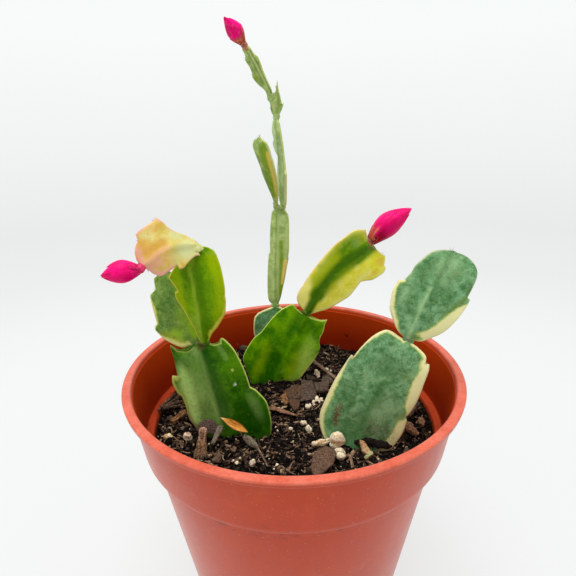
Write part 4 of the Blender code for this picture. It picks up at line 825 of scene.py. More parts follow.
def stem_material(name, tone, layers):
    t = TONES[tone]
    k = Mat(name)
    co = k.warp(3.0, .5)
    mott = k.noise(2.6 * t["size"], 4, .6, .4, coord=co)
    fine = k.noise(.55, 3, .6)
    cells = k.voronoi(.42, "F1")
    v = k.math("ADD", k.math("MULTIPLY", mott, .75), k.math("MULTIPLY", fine, .25))
    col = k.ramp(v, [(.40, t["c"][0]), (.5, t["c"][1]), (.61, t["c"][2])])
    grain = k.remap(k.noise(.22, 2, .6), .3, .7, .90, 1.10)
    col = k.mix(1.0, col, k.combine(grain, grain, grain), mode="MULTIPLY")
    # pale marbling: thin lines where a noise passes its middle value
    lines = k.noise(1.5 * t["size"], 3, .6, 1.1, coord=co)
    ridge = k.math("SUBTRACT", 1.0, k.math("MULTIPLY", k.math("ABSOLUTE", k.math("SUBTRACT", lines, .5)), 16), clamp=True)
    patch = k.remap(k.noise(4.5, 2, .5), .42, .62, smooth=True)
    col = k.mix(k.math("MULTIPLY", k.math("MULTIPLY", ridge, patch), t["marble"] * .8), col, t["vein"])
    # fine pale dots of the skin
    dots = k.remap(cells, .16, .05, smooth=True)
    col = k.mix(k.math("MULTIPLY", dots, .34 if tone == "moss" else .24 if tone in ("blue", "sage") else .05 if tone == "gold" else .12), col, t["vein"])
    jit = k.noise(1.1, 3, .65)
    jit2 = k.noise(.5, 2, .6)
    for layer in (ORDER if tone != "gold" else ("cream",) + tuple(q for q in ORDER if q != "cream")):
        if layer not in layers:
            continue
        c = OVERRIDE.get((tone, layer), LAYER_COLOURS[layer])
        a = k.attr("m_" + layer)
        if layer == "cream":
            band = k.mix(jit2, (c[0] * .42, c[1] * .62, c[2] * .16), (c[0] * .60, c[1] * .76, c[2] * .30))
            col = k.mix(k.math("MULTIPLY", k.remap(k.math("ADD", a, k.math("MULTIPLY", k.math("SUBTRACT", jit, .5), .9)), .02, .52,
                                                   smooth=True), 0.0 if tone == "gold" else .75), col, band)
            f = k.mask(a, jit, .8, .26)
            if tone == "gold":
                f = k.remap(k.math("ADD", a, k.math("MULTIPLY", k.math("SUBTRACT", jit, .5), .35)), .1, .95, smooth=True)
            rough_cream = k.mix(k.noise(.8, 3), tuple(x * .94 for x in c), tuple(min(1, x * 1.06) for x in c))
            col = k.mix(f, col, rough_cream)
        elif layer in ("brown", "speck"):
            f = k.math("MULTIPLY", a, k.remap(jit2, .36, .58, smooth=True)) if layer == "brown" else a
            col = k.mix(f, col, c)
        else:
            rough_edge = (.84, 1.06) if tone == "gold" else (.55, 1.15)
            f = k.math("MULTIPLY", a, k.remap(jit, .25, .62, *rough_edge), clamp=True)
            col = k.mix(f, col, c)
    # a thin pale line runs along the very margin
    reach = .55 if tone in EDGE_LINE else .26
    line = k.remap(k.math("ADD", k.attr("m_edge"), k.math("MULTIPLY", k.math("SUBTRACT", jit, .5), reach)), reach, .04, smooth=True)
    line = k.math("MULTIPLY", line, {"young": k.remap(k.noise(2.4, 3), .40, .62, .15, .9), "gold": k.remap(k.noise(3.4, 3), .36, .56, .3, .95), "blue": k.remap(k.noise(4.0, 3), .40, .60, .1, .75)}.get(tone, .5))
    col = k.mix(line, col, EDGE_LINE.get(tone, OVERRIDE.get((tone, "cream"), LAYER_COLOURS["cream"])))
    h = k.math("ADD", k.math("MULTIPLY", k.noise(.34, 2, .5), .6), k.math("MULTIPLY", cells, .7))
    n1 = k.bump(h, .035, .7)
    n2 = k.bump(k.noise(1.7, 2, .5), .12, .55, normal=n1)
    k.set(color=col, rough=.36, ior=1.45, normal=n2, sss=.04, sss_scale=.0008, spec=SPEC[tone])
    k.b.inputs["Subsurface Radius"].default_value = (.6, 1.0, .25)
    return k.m


# the last right-hand segment is a little fuller at its tip than its solid
SEGMENTS["right_tip_segment"]["right"] = SEGMENTS["right_tip_segment"]["right"][:8] + [
    (20.2, 9.8), (23.0, 9.6), (25.0, 9.0), (26.4, 7.8), (27.4, 6.0), (27.8, 3.6), (27.4, 1.0)]

SEATS = {}
for i, (name, spec) in enumerate(SEGMENTS.items()):
    verts, faces, attrs, layers = segment(name, spec, MARKS[name], 100 + 7 * i)
    lo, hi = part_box(name)
    # the segment keeps the place of its CAD solid
    shift = (np.array(lo) + np.array(hi)) / 2 / MM - (verts.min(0) + verts.max(0)) / 2
    verts = verts + shift
    SEATS[name] = shift
    piece("look_" + name, verts, faces, stem_material("skin_" + name, MARKS[name]["tone"], layers),
          [name], attrs=attrs)


# ---------------------------------------------------------------- joints between the segments, and their bristles
def joint_material(name, green, ring):
    k = Mat(name)
    n = k.noise(.8, 4, .65)
    col = k.ramp(n, [(.35, tuple(c * .72 for c in green)), (.5, green), (.66, tuple(min(1, c * 1.25 + .02) for c in green))])
    jag = k.math("ADD", k.attr("m_ring"), k.math("MULTIPLY", k.math("SUBTRACT", k.noise(.5, 3), .5), .8))
    f = k.remap(jag, .62, .95, smooth=True)
    col = k.mix(k.math("MULTIPLY", f, .8), col, ring)
    h = k.math("ADD", k.noise(.25, 3), k.noise(.6, 2))
    k.set(color=col, rough=.55, normal=k.bump(h, .08, .8), sss=.1, sss_scale=.001)
    return k.m


def seated(node):
    """The shift that puts a segment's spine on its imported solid."""
    return SEATS[node]


def neck(name, lower, upper, hw, ht, mat, inset=(1.6, 1.6), start=None):
    """Fleshy link between two segments: an oval tube that starts and ends inside them."""
    lo_s, up_s = Spine(**SEGMENTS[lower]), Spine(**SEGMENTS[upper]) if upper in SEGMENTS else None
    s0 = seated(lower)
    L = lo_s.length
    one = lambda sp, v: sp.place(np.array([0.]), np.array([v]), np.array([0.]))[0]
    wdir = lambda sp, v: unit(sp.place(np.array([1.]), np.array([v]), np.array([0.]))[0] - one(sp, v))
    p = [one(lo_s, L - inset[0]) + s0, one(lo_s, L) + s0]
    if start is not None:
        p = [np.array(start[0], float), np.array(start[1], float)]
    w0 = wdir(lo_s, L)
    if up_s is not None:
        s1 = seated(upper)
        p += [one(up_s, 0) + s1, one(up_s, inset[1]) + s1]
        w1 = wdir(up_s, 0)
    else:
        a, b = np.array(BUDS[upper]["neck"], float), np.array(BUDS[upper]["tip"], float)
        p += [a, a + unit(b - a) * inset[1]]
        w1 = w0
    if w0 @ w1 < 0:
        w1 = -w1
    p = np.array(p)
    ext = np.vstack([2 * p[0] - p[1], p, 2 * p[-1] - p[-2]])
    pts = []
    for i in range(1, 4):
        p0, p1, p2, p3 = ext[i - 1:i + 3]
        for k in range(6):
            t = k / 6
            pts.append(.5 * ((2 * p1) + (p2 - p0) * t + (2 * p0 - 5 * p1 + 4 * p2 - p3) * t * t + (3 * p1 - p0 - 3 * p2 + p3) * t ** 3))
    pts.append(p[3])
    pts = np.array(pts)
    n, m = len(pts), 20
    tan = np.gradient(pts, axis=0)
    tan /= np.linalg.norm(tan, axis=1, keepdims=True)
    verts, ring = [], []
    for j in range(n):
        q = j / (n - 1)
        w = (1 - q) * w0 + q * w1
        w = unit(w - tan[j] * (w @ tan[j]))
        nn = np.cross(w, tan[j])
        swell = .82 + .18 * math.cos((q - .5) * 2 * math.pi) - .10 * math.exp(-((q - .5) / .07) ** 2)
        for i in range(m):
            a = 2 * math.pi * i / m
            verts.append(pts[j] + w * hw * swell * math.cos(a) + nn * ht * swell * math.sin(a))
            ring.append(math.exp(-((q - .5) / .16) ** 2))
    verts.append(pts[0])
    verts.append(pts[-1])
    ring += [0, 0]
    q4 = np.array([(j * m + i, j * m + (i + 1) % m, (j + 1) * m + (i + 1) % m, (j + 1) * m + i)
                   for j in range(n - 1) for i in range(m)])
    t3 = np.array([(n * m, (i + 1) % m, i) for i in range(m)]
                  + [(n * m + 1, (n - 1) * m + i, (n - 1) * m + (i + 1) % m) for i in range(m)])
    v = np.array(verts)
    v = v + .05 * np.stack([noise3(v, .9, 850), noise3(v, .9, 851), noise3(v, .9, 852)], 1)
    piece(name, v, [q4, t3], mat, attrs={"m_ring": np.array(ring)})


sage_joint = joint_material("joint_sage", srgb(160, 184, 106), srgb(150, 174, 96))
rust_joint = joint_material("joint_rust", srgb(186, 116, 84), srgb(140, 66, 52))
tip_joint = joint_material("joint_tip", srgb(200, 204, 132), srgb(190, 190, 112))
pink_joint = joint_material("joint_pink", srgb(220, 20, 100), srgb(204, 44, 92))
blue_joint = joint_material("joint_blue", srgb(88, 128, 72), srgb(120, 92, 66))
green_joint = joint_material("joint_green", srgb(74, 112, 20), srgb(104, 66, 40))
gold_joint = joint_material("joint_gold", srgb(88, 128, 12), srgb(92, 60, 44))
peach_joint = joint_material("joint_peach", srgb(206, 170, 90), srgb(150, 92, 60))
neck("joint_right", "right_base_segment", "right_tip_segment", 1.7, .85, blue_joint)
neck("joint_left_rear", "left_base_segment", "left_rear_segment", 2.0, .8, green_joint,
     start=((-27.2, -4.6, 98.4), (-29.4, -4.2, 99.7)))
neck("joint_left_front", "left_base_segment", "left_front_segment", 1.9, .9, green_joint)
neck("joint_left_tip", "left_front_segment", "left_tip_segment", 2.4, .8, tip_joint, inset=(1.6, 2.2))
neck("joint_centre", "centre_base_segment", "centre_tip_segment", 1.9, .9, gold_joint)
neck("joint_back_base", "back_base_segment", "back_second_segment", 1.8, .85, sage_joint)
neck("joint_back_third", "back_second_segment", "back_third_segment", 1.85, 1.1, sage_joint, inset=(2.2, 3.0))
neck("joint_back_side", "back_second_segment", "back_side_segment", 1.65, .85, sage_joint, inset=(2.2, 2.0))
neck("joint_back_fourth", "back_third_segment", "back_fourth_segment", 1.6, 1.0, sage_joint, inset=(2.4, 1.6))
neck("joint_back_top", "back_fourth_segment", "back_top_segment", 1.5, .9, sage_joint, inset=(1.6, 2.0))
neck("joint_left_bud", "left_tip_segment", "left_bud", 1.35, 1.15, pink_joint, inset=(1.3, 2.2))
neck("joint_centre_bud", "centre_tip_segment", "centre_bud", 1.55, 1.15, rust_joint, inset=(1.6, 1.2))
neck("joint_back_bud", "back_top_segment", "back_bud", 1.15, .95, rust_joint, inset=(1.6, 1.0))


def spike(a, d, length, r, bend):
    """One bristle: a thin bent tapering cone."""
    side = unit(np.cross(d, (.3, .5, .8)))
    up_ = np.cross(side, d)
    v, f = [], []
    for j, q in enumerate((0, .4, .75)):
        c = a + d * length * q + bend * q * q
        rr = r * (1 - .7 * q)
        v += [c + rr * (side * math.cos(x) + up_ * math.sin(x)) for x in (0, 2.094, 4.189)]
    v.append(a + d * length + bend)
    for j in range(2):
        for i in range(3):
            k = (i + 1) % 3
            f += [(3 * j + i, 3 * j + k, 3 * j + 3 + k), (3 * j + i, 3 * j + 3 + k, 3 * j + 3 + i)]
    f += [(6 + i, 6 + (i + 1) % 3, 9) for i in range(3)]
    f.append((0, 2, 1))
    return np.array(v), np.array(f)


def bristle_material():
    k = Mat("areole_bristles")
    n = k.noise(.9, 3, .6)
    col = k.ramp(k.math("ADD", k.math("MULTIPLY", n, .4), k.math("MULTIPLY", k.attr("m_tone"), .6)),
                 [(.2, srgb(120, 78, 50)), (.5, srgb(178, 140, 98)), (.8, srgb(222, 204, 164))])
    k.set(color=col, rough=.6, normal=k.bump(k.noise(.2, 2), .03, .5))
    return k.m


bristle_mat = bristle_material()
g = np.random.default_rng(31)
tufts = []
for name, spec in SEGMENTS.items():
    sp = Spine(**spec)
    s0 = seated(name)
    for sgn, key in ((-1, "left"), (1, "right")):
        st = spec[key]
        corners = [i for i, s in enumerate(st) if len(s) > 2]
        spots = [(st[i][0], st[i][1], .8, 4) for i in corners[1::2] if st[i][0] > 8 or spec["base"][2] > 90]
        if key == "right":
            spots.append((sp.length + .1, .3, 1.0, 7))
            spots.append((sp.length - .1, -.7, .9, 5))
        for v_, u_, size, count in spots:
            at = sp.place(np.array([u_ * sgn - .25 * np.sign(u_ * sgn)]), np.array([v_]), np.array([0.]))[0] + s0
            out_u = sp.place(np.array([u_ * sgn + 1.]), np.array([v_]), np.array([0.]))[0] + s0 - at
            out_v = sp.place(np.array([u_ * sgn]), np.array([v_ + 1.]), np.array([0.]))[0] + s0 - at
            base_d = unit(unit(out_u) * sgn * (1 if abs(u_) > 1 else .0) + unit(out_v) * .9)
            for _ in range(count):
                d = unit(base_d + g.normal(0, .42, 3))
                ln = size * g.uniform(.5, 1.25)
                v, f = spike(at + g.normal(0, .14, 3), d, ln, g.uniform(.035, .06), g.normal(0, .16, 3))
                tufts.append((v, f, float(g.uniform(0, 1))))
vs, fs, ts, base = [], [], [], 0
for v, f, t in tufts:
    vs.append(v)
    fs.append(f + base)
    ts.append(np.full(len(v), t))
    base += len(v)
piece("areole_bristles", np.vstack(vs), [np.vstack(fs)], bristle_mat, attrs={"m_tone": np.concatenate(ts)})


# ================================================================ pot
def fillet(points, steps=5):
    """Rounds the corners of a profile: points are (r, z) or (r, z, radius)."""
    out = []
    for i, p in enumerate(points):
        if len(p) == 2 or i in (0, len(points) - 1):
            out.append(p[:2])
            continue
        a, b, c = (np.array(points[j][:2], float) for j in (i - 1, i, i + 1))
        u, w = unit(a - b), unit(c - b)
        ang = math.acos(np.clip(u @ w, -1, 1))
        cutl = min(p[2] / math.tan(ang / 2), .45 * np.linalg.norm(a - b), .45 * np.linalg.norm(c - b))
        p0, p2 = b + u * cutl, b + w * cutl
        for k in range(steps + 1):
            t = k / steps
            out.append(tuple((1 - t) ** 2 * p0 + 2 * t * (1 - t) * b + t * t * p2))
    return out


def lathe(profile, segs, close=True):
    """Solid of revolution of (r, z) points that starts and ends on the axis."""
    verts, faces_q, faces_t, rings = [], [], [], []
    c = 2 * math.pi * np.arange(segs) / segs
    for r, z in profile:
        if r < 1e-6:
            rings.append(np.array([len(verts)]))
            verts.append((0, 0, z))
        else:
            rings.append(np.arange(len(verts), len(verts) + segs))
            verts += list(zip(r * np.cos(c), r * np.sin(c), np.full(segs, z)))
    for a, b in zip(rings[:-1], rings[1:]):
        if len(a) == 1:
            faces_t.append(np.stack([np.full(segs, a[0]), np.roll(b, -1), b], 1))
        elif len(b) == 1:
            faces_t.append(np.stack([a, np.roll(a, -1), np.full(segs, b[0])], 1))
        else:
            faces_q.append(np.stack([a, np.roll(a, -1), np.roll(b, -1), b], 1))
    return np.array(verts, float), [np.vstack(faces_q)] + ([np.vstack(faces_t)] if faces_t else [])


POT_LO, POT_HI = (np.array(v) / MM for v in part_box("pot"))
RIM_R = (POT_HI[0] - POT_LO[0]) / 2
POT_H = POT_HI[2]
COLLAR_Z = POT_H - 19.0
LEDGE_Z = POT_H - 18.0
BODY_LOW_R, BODY_TOP_R, FLOOR, WALL = 34.4, 46.0, 1.2, .75
inside_low = BODY_LOW_R + (BODY_TOP_R - BODY_LOW_R) / COLLAR_Z * FLOOR - WALL


def straight(a, b, n):
    """Extra rings between two profile points, so that long walls carry detail."""
    return [(a[0] + (b[0] - a[0]) * k / n, a[1] + (b[1] - a[1]) * k / n) for k in range(1, n)]


profile = [(0, 0), (20, 0), (33.2, 0, .5), (BODY_LOW_R - .1, .9, .6)]
profile += straight((BODY_LOW_R - .1, .9), (BODY_TOP_R, COLLAR_Z), 14)
profile += [(BODY_TOP_R, COLLAR_Z, .35), (48.15, COLLAR_Z, .3), (48.32, COLLAR_Z + .75, .3), (48.42, COLLAR_Z + 1.2, .5)]
profile += straight((48.42, COLLAR_Z + 1.2), (50.45, POT_H - 3.2), 8)
profile += [(50.57, POT_H - 2.15, .7), (52.25, POT_H - 1.7, .55), (RIM_R, POT_H - .35, .5), (RIM_R - .35, POT_H, .35),
            (50.25, POT_H, .3), (49.95, POT_H - .35, .25), (49.75, POT_H - 1.5, .4), (49.45, POT_H - 1.75, .3)]
profile += straight((49.45, POT_H - 1.75), (47.5, LEDGE_Z + .2), 8)
profile += [(47.4, LEDGE_Z, .35), (45.5, LEDGE_Z, .3), (45.2, LEDGE_Z - .5, .3)]
profile += straight((45.2, LEDGE_Z - .5), (inside_low + .9, FLOOR + .9), 10)
profile += [(inside_low + .9, FLOOR + .9, .8), (inside_low, FLOOR, .5), (20, FLOOR), (0, FLOOR)]
SEGS = 240
pv, pf = lathe(fillet(profile), SEGS)
ang = np.arctan2(pv[:, 1], pv[:, 0])
rad = np.hypot(pv[:, 0], pv[:, 1])
# the thin wall isn't perfectly round
wob = 1 + ease((pv[:, 2] - 20) / 60) * (.0009 * np.sin(2 * ang + .6) + .0005 * np.sin(3 * ang + 2.1) + .0003 * np.sin(7 * ang))
grip = rad > 30
pv[grip, 0] *= wob[grip]
pv[grip, 1] *= wob[grip]


SMUDGE = (61.5, 7.0)


def pot_material(inside):
    k = Mat("terracotta_plastic_inside" if inside else "terracotta_plastic")
    s = k.sep()
    z = s[2]
    big = k.noise(26, 3, .55, .3)
    mid = k.noise(5, 4, .6)
    small = k.noise(.8, 3, .6)
    streak = k.noise(3.0, 3, .6, stretch=(1, 1, .12))
    v = k.math("ADD", k.math("ADD", k.math("MULTIPLY", big, .45), k.math("MULTIPLY", mid, .3)),
               k.math("ADD", k.math("MULTIPLY", small, .1), k.math("MULTIPLY", streak, .15)))
    col = k.ramp(v, [(.34, POT_C[0]), (.5, POT_C[1]), (.66, POT_C[2])])
    # rubbed, slightly chalky patches
    chalk = k.remap(k.noise(9, 5, .7, .6), .56, .72, smooth=True)
    col = k.mix(k.math("MULTIPLY", chalk, .10), col, srgb(214, 140, 118))
    # soil dust on the inside wall, heaviest just above the soil; low down its dark patches also carry painted shade
    rim = k.remap(z, (POT_H - 3.0) * MM, (POT_H - 12.0) * MM, smooth=True)
    low = k.remap(z, (POT_H - 9.0) * MM, (POT_H - 19.0) * MM, smooth=True)
    r = k.math("SQRT", k.math("ADD", k.math("MULTIPLY", s[0], s[0]), k.math("MULTIPLY", s[1], s[1])))
    # inner wall: radius less than the middle of the wall at that height
    wall_mid = k.math("ADD", k.math("MULTIPLY", k.math("SUBTRACT", z, LEDGE_Z * MM), .125), 47.9 * MM)
    inner = k.math("LESS_THAN", r, wall_mid)
    inner = k.math("MULTIPLY", inner, k.math("GREATER_THAN", z, (LEDGE_Z - 6) * MM))
    if inside:
        # painted shade: the inside wall is coloured darker than the outside, and darker still towards the soil, as the
        # shade deepens down into the pot
        inner_depth_shade = k.remap(z, (LEDGE_Z + 1) * MM, (POT_H - 1) * MM, smooth=True)
        col = k.mix(.8, col, k.mix(inner_depth_shade, srgb(118, 20, 0), srgb(168, 52, 4)))
        ledge = k.remap(z, (LEDGE_Z + .8) * MM, (LEDGE_Z + .15) * MM, smooth=True)
        col = k.mix(k.math("MULTIPLY", ledge, .85), col, srgb(178, 66, 34))
    # painted highlight: the top of the rounded lip is coloured paler, in patches, where the overhead light catches it
    lip = k.remap(z, (POT_H - 1.0) * MM, (POT_H - .4) * MM, smooth=True)
    col = k.mix(k.math("MULTIPLY", lip, k.remap(k.math("ADD", k.math("MULTIPLY", mid, .6), k.math("MULTIPLY", small, .4)), .36, .64, .25, .8)), col,
                srgb(218, 116, 96))
    dust = k.remap(k.noise(2.6, 5, .7, .5), .50, .68, smooth=True)
    # dark patches on the inside wall: soil dust, with painted shade that grows heavier down towards the soil
    dust_and_shade = k.math("MULTIPLY", k.math("MULTIPLY", inner, dust), k.math("ADD", k.math("MULTIPLY", low, .45), .05))
    col = k.mix(dust_and_shade, col, srgb(62, 26, 14))
    if inside:
        # a muddy thumb mark on the far wall
        a_, h_ = math.radians(SMUDGE[0]), (LEDGE_Z + SMUDGE[1]) * MM
        rr = 48.6 * MM
        dx = k.math("SUBTRACT", s[0], rr * math.cos(a_))
        dy = k.math("SUBTRACT", s[1], rr * math.sin(a_))
        dz = k.math("MULTIPLY", k.math("SUBTRACT", z, h_), 2.1)
        far = k.math("SQRT", k.math("ADD", k.math("ADD", k.math("MULTIPLY", dx, dx), k.math("MULTIPLY", dy, dy)),
                                    k.math("MULTIPLY", dz, dz)))
        far = k.math("ADD", far, k.math("MULTIPLY", k.math("SUBTRACT", k.noise(1.2, 3, .6), .5), 3.4 * MM))
        col = k.mix(k.remap(far, 1.5 * MM, .7 * MM, 0.0, .75, smooth=True), col, srgb(74, 14, 6))
    else:
        # pale dust that clings to the outside
        motes = k.remap(k.noise(.55, 2, .5), .68, .74, smooth=True)
        col = k.mix(k.math("MULTIPLY", motes, .28), col, srgb(232, 176, 158))
    # dark and pale specks of the potting mix
    sp = k.voronoi(2.3, "F1")
    pick = k.voronoi(2.3, "F1", out="Color")
    pk = k.sep(pick)[0]
    speck = k.math("MULTIPLY", k.remap(sp, .085, .05), k.math("GREATER_THAN", pk, .80))
    where = k.math("ADD", k.math("MULTIPLY", k.math("MULTIPLY", inner, rim), .9), .06)
    col = k.mix(k.math("MULTIPLY", speck, where), col, k.mix(k.math("GREATER_THAN", pk, .93), srgb(46, 22, 14), srgb(226, 178, 156)))
    # small scratches on the outside
    sc = k.voronoi(7.0, "F1", coord=None)
    scratch = k.noise(4.0, 2, .5, 0, stretch=(.5, .5, 5))
    line = k.math("SUBTRACT", 1.0, k.math("MULTIPLY", k.math("ABSOLUTE", k.math("SUBTRACT", scratch, .5)), 60), clamp=True)
    where2 = k.math("MULTIPLY", k.remap(k.noise(12, 2), .60, .70, smooth=True), k.remap(sc, .30, .18))
    col = k.mix(k.math("MULTIPLY", k.math("MULTIPLY", line, where2), .45), col, srgb(90, 26, 14))
    rough = k.remap(k.math("ADD", k.math("MULTIPLY", mid, .6), k.math("MULTIPLY", small, .4)), .3, .7, .34, .50)
    h = k.math("ADD", k.math("MULTIPLY", k.noise(.5, 2), .5), k.math("MULTIPLY", k.noise(2.2, 3), .9))
    n = k.bump(h, .05, .35)
    n = k.bump(streak, .08, .25, normal=n)
    if inside:
        k.set(color=col, rough=.5, ior=1.4, spec=.10, normal=n)
    else:
        k.set(color=col, rough=rough, ior=1.4, spec=.24, normal=n, coat=.26, coat_rough=.2, sheen=.22, sheen_rough=.35)
        k.b.inputs["Coat IOR"].default_value = 1.3
    return k.m


POT_C = (srgb(180, 50, 4), srgb(188, 58, 8), srgb(197, 66, 14))
pot_mats = [pot_material(False), pot_material(True)]
inner_i = []
for f in pf:
    c = pv[f].mean(1)
    rr = np.hypot(c[:, 0], c[:, 1])
    inner_i.append(((rr < 47.9 + .125 * (c[:, 2] - LEDGE_Z)) & (c[:, 2] > 3) & (c[:, 2] < POT_H - 1.2)).astype(int)
                   * (rr < np.interp(c[:, 2], [0, COLLAR_Z, LEDGE_Z, POT_H], [34.1, 45.6, 47.7, 50.1])))
pot = piece("look_pot", pv, pf, pot_mats, ["pot"], mat_index=np.concatenate(inner_i))
# drain holes through the floor, where the CAD pot has them
cut_v, cut_f = [], []
for k in range(5):
    c = 2 * math.pi * (k + .5) / 5 + .04
    x, y = 22 * math.cos(c), 22 * math.sin(c)
    base = len(cut_v)
    ring = [(x + 4.5 * math.cos(2 * math.pi * i / 32 + .13), y + 4.5 * math.sin(2 * math.pi * i / 32 + .13)) for i in range(32)]
    cut_v += [(*p, -2) for p in ring] + [(*p, FLOOR + 2) for p in ring]
    cut_f += [[base + i for i in range(31, -1, -1)], [base + 32 + i for i in range(32)]]
    cut_f += [[base + i, base + (i + 1) % 32, base + 32 + (i + 1) % 32, base + 32 + i] for i in range(32)]
me = bpy.data.meshes.new("drain_cutter")
me.from_pydata([tuple(c * MM for c in v) for v in cut_v], [], cut_f)
cutter = bpy.data.objects.new("drain_cutter", me)
bpy.context.scene.collection.objects.link(cutter)
mod = pot.modifiers.new("drain", "BOOLEAN")
mod.operation, mod.solver, mod.object = "DIFFERENCE", "EXACT", cutter
dg = bpy.context.evaluated_depsgraph_get()
done = bpy.data.meshes.new_from_object(pot.evaluated_get(dg), depsgraph=dg)
pot.modifiers.clear()
old_mesh, pot.data = pot.data, done
bpy.data.meshes.remove(old_mesh)
bpy.data.objects.remove(cutter)
bpy.data.meshes.remove(me)
pot.data.shade_smooth()
pot.data.set_sharp_from_angle(angle=math.radians(40))


# ================================================================ potting mix
def soil_top(x, y):
    return (73.5 + 2.5 * ease((y + 8) / 50) + .35 * np.sin(.21 * x + 1.3) * np.cos(.19 * y - .6)
            + .22 * np.sin(.43 * x + .31 * y + 2.0))


# hollows and heaps in the surface: x, y, radius, height
RELIEF = [(19.5, -15.8, 3.0, -1.0), (24.5, -17.0, 3.4, -1.4), (-13.5, -18.4, 3.0, -1.5), (-20.0, -14.4, 3.0, -1.0),
          (-42.0, -.5, 2.6, -1.6), (-39.0, 4.0, 2.6, -1.3), (7.0, -6.0, 2.6, -1.5), (8.0, -11.5, 2.4, -1.3),
          (-8.0, 9.6, 2.2, -1.4), (-4.4, 10.8, 2.0, -1.2), (10.5, 6.5, 1.8, -.9),
          (-12.6, -7.0, 3.0, -.8), (33, 8, 5, .7), (18, 32, 6, .8), (-30, 22, 6, .8), (-19.5, 41.5, 4.0, 1.4),
          (-19.5, -12.4, 3.2, 1.7), (-15.0, -13.2, 3.0, 1.5), (-10.5, -13.0, 2.6, 1.3), (-8.0, 14.6, 2.8, 2.0), (-3.6, 15.2, 3.2, 2.4),
          (1.0, 16.6, 2.4, 1.5), (30, -20, 4, .4), (-2, -30, 6, .2), (-38, -12, 4, .3), (40, -8, 4, .4)]


def soil_z(x, y):
    p = np.stack([x, y, np.zeros_like(x)], 1)
    z = soil_top(x, y) - .25 + .75 * fbm(p, 4.6, 501, 2) + .62 * fbm(p, 1.8, 511, 2) + .25 * noise3(p, .8, 521)
    for cx, cy, r, h in RELIEF:
        z = z + h * np.exp(-((x - cx) ** 2 + (y - cy) ** 2) / (r * r))
    return z


SOIL_SEGS, SOIL_RINGS = 300, 84
th = 2 * math.pi * np.arange(SOIL_SEGS) / SOIL_SEGS
spread = ease((soil_top(46 * np.cos(th), 46 * np.sin(th)) - 74.5) / .7)
edge_r = 44.7 + (46.9 - 44.7) * np.minimum(spread, np.minimum(np.roll(spread, 2), np.roll(spread, -2)))
rings = []
for j in range(1, SOIL_RINGS + 1):
    r = edge_r * (j / SOIL_RINGS)
    x, y = r * np.cos(th), r * np.sin(th)
    z = soil_z(x, y)
    f = ease((j / SOIL_RINGS - .955) / .045)
    floor_z = np.where(edge_r > 45.4, 74.45, 72.9)
    z = z * (1 - f) + np.clip(z - .6, floor_z, None) * f
    rings.append(np.stack([x, y, z], 1))
low = []
for r, z in ((None, 72.2), (44.7, 71.8), (inside_low + .9 - .35, FLOOR + 1.2), (inside_low - .85, FLOOR + .3)):
    rr = np.full(SOIL_SEGS, 44.7) if r is None else np.full(SOIL_SEGS, r)
    low.append(np.stack([rr * np.cos(th), rr * np.sin(th), np.full(SOIL_SEGS, z)], 1))
rings_all = rings + low
sv = np.vstack([[[0, 0, soil_z(np.array([0.]), np.array([0.]))[0]]]] + rings_all + [[[0, 0, FLOOR + .3]]])
at = lambda j: 1 + j * SOIL_SEGS + np.arange(SOIL_SEGS)
sq = []
for j in range(len(rings_all) - 1):
    a, b = at(j), at(j + 1)
    sq.append(np.stack([a, b, np.roll(b, -1), np.roll(a, -1)], 1))
a, b = at(0), at(len(rings_all) - 1)
st = [np.stack([np.zeros(SOIL_SEGS, int), a, np.roll(a, -1)], 1),
      np.stack([np.full(SOIL_SEGS, len(sv) - 1), np.roll(b, -1), b], 1)]
SOIL_RAMP = [(0, srgb(4, 2, 2)), (.2, srgb(13, 9, 7)), (.4, srgb(38, 28, 22)), (.6, srgb(80, 62, 51)),
             (.8, srgb(128, 98, 76)), (1, srgb(186, 156, 124))]


def soil_material(name, lumps):
    k = Mat(name)
    grainy = k.noise(.3, 3, .65)
    if lumps:
        v = k.math("ADD", k.attr("m_tone"), k.math("MULTIPLY", k.math("SUBTRACT", k.noise(.6, 4, .7), .5), .75))
        v = k.math("ADD", v, k.math("MULTIPLY", k.math("SUBTRACT", grainy, .5), .35))
    else:
        # the bare surface seen between the crumbs takes the darkest end of the ramp: dark peat with painted shade of
        # the gaps
        v = k.math("SUBTRACT", k.math("MULTIPLY", k.noise(1.2, 5, .75, .5), .62), .12)
    col = k.ramp(v, SOIL_RAMP)
    h = k.math("ADD", k.noise(.3, 3, .7), k.math("MULTIPLY", k.noise(.9, 3, .6), 1.2))
    k.set(color=col, rough=.92, normal=k.bump(h, .25, .9), spec=.10)
    return k.m


soil_mat = soil_material("potting_mix", False)
soil = piece("look_soil", sv, [np.vstack(sq), np.vstack(st)], soil_mat, ["soil"])

from mathutils.kdtree import KDTree

LOOSE = [n for n in frame["nodes"] if any(w in n for w in ("perlite", "chip", "stick", "twig", "stalk", "grain", "disc",
                                                           "fragment", "dried_leaf"))]
LOOSE.sort()
SHOWN = {}


def refined(node, cuts, smooth):
    """A finer copy of a CAD node's mesh: welded, divided and evened out. Returns points in mm and triangles."""
    bm = bmesh.new()
    bm.from_mesh(frame["nodes"][node].data)
    bmesh.ops.remove_doubles(bm, verts=bm.verts, dist=2e-6)
    bmesh.ops.triangulate(bm, faces=bm.faces)
    for _ in range(cuts):
        bmesh.ops.subdivide_edges(bm, edges=bm.edges, cuts=1, use_grid_fill=True, smooth=0)
        bmesh.ops.triangulate(bm, faces=bm.faces)
        for _ in range(smooth):
            bmesh.ops.smooth_vert(bm, verts=bm.verts, factor=.5, use_axis_x=True, use_axis_y=True, use_axis_z=True)
    bm.normal_update()
    v = np.array([p.co[:] for p in bm.verts]) / MM
    nrm = np.array([p.normal[:] for p in bm.verts])
    f = np.array([[p.index for p in g.verts] for g in bm.faces])
    bm.free()
    return v, nrm, f


def middle(node):
    lo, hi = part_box(node)
    return (np.array(lo) + np.array(hi)) / 2 / MM


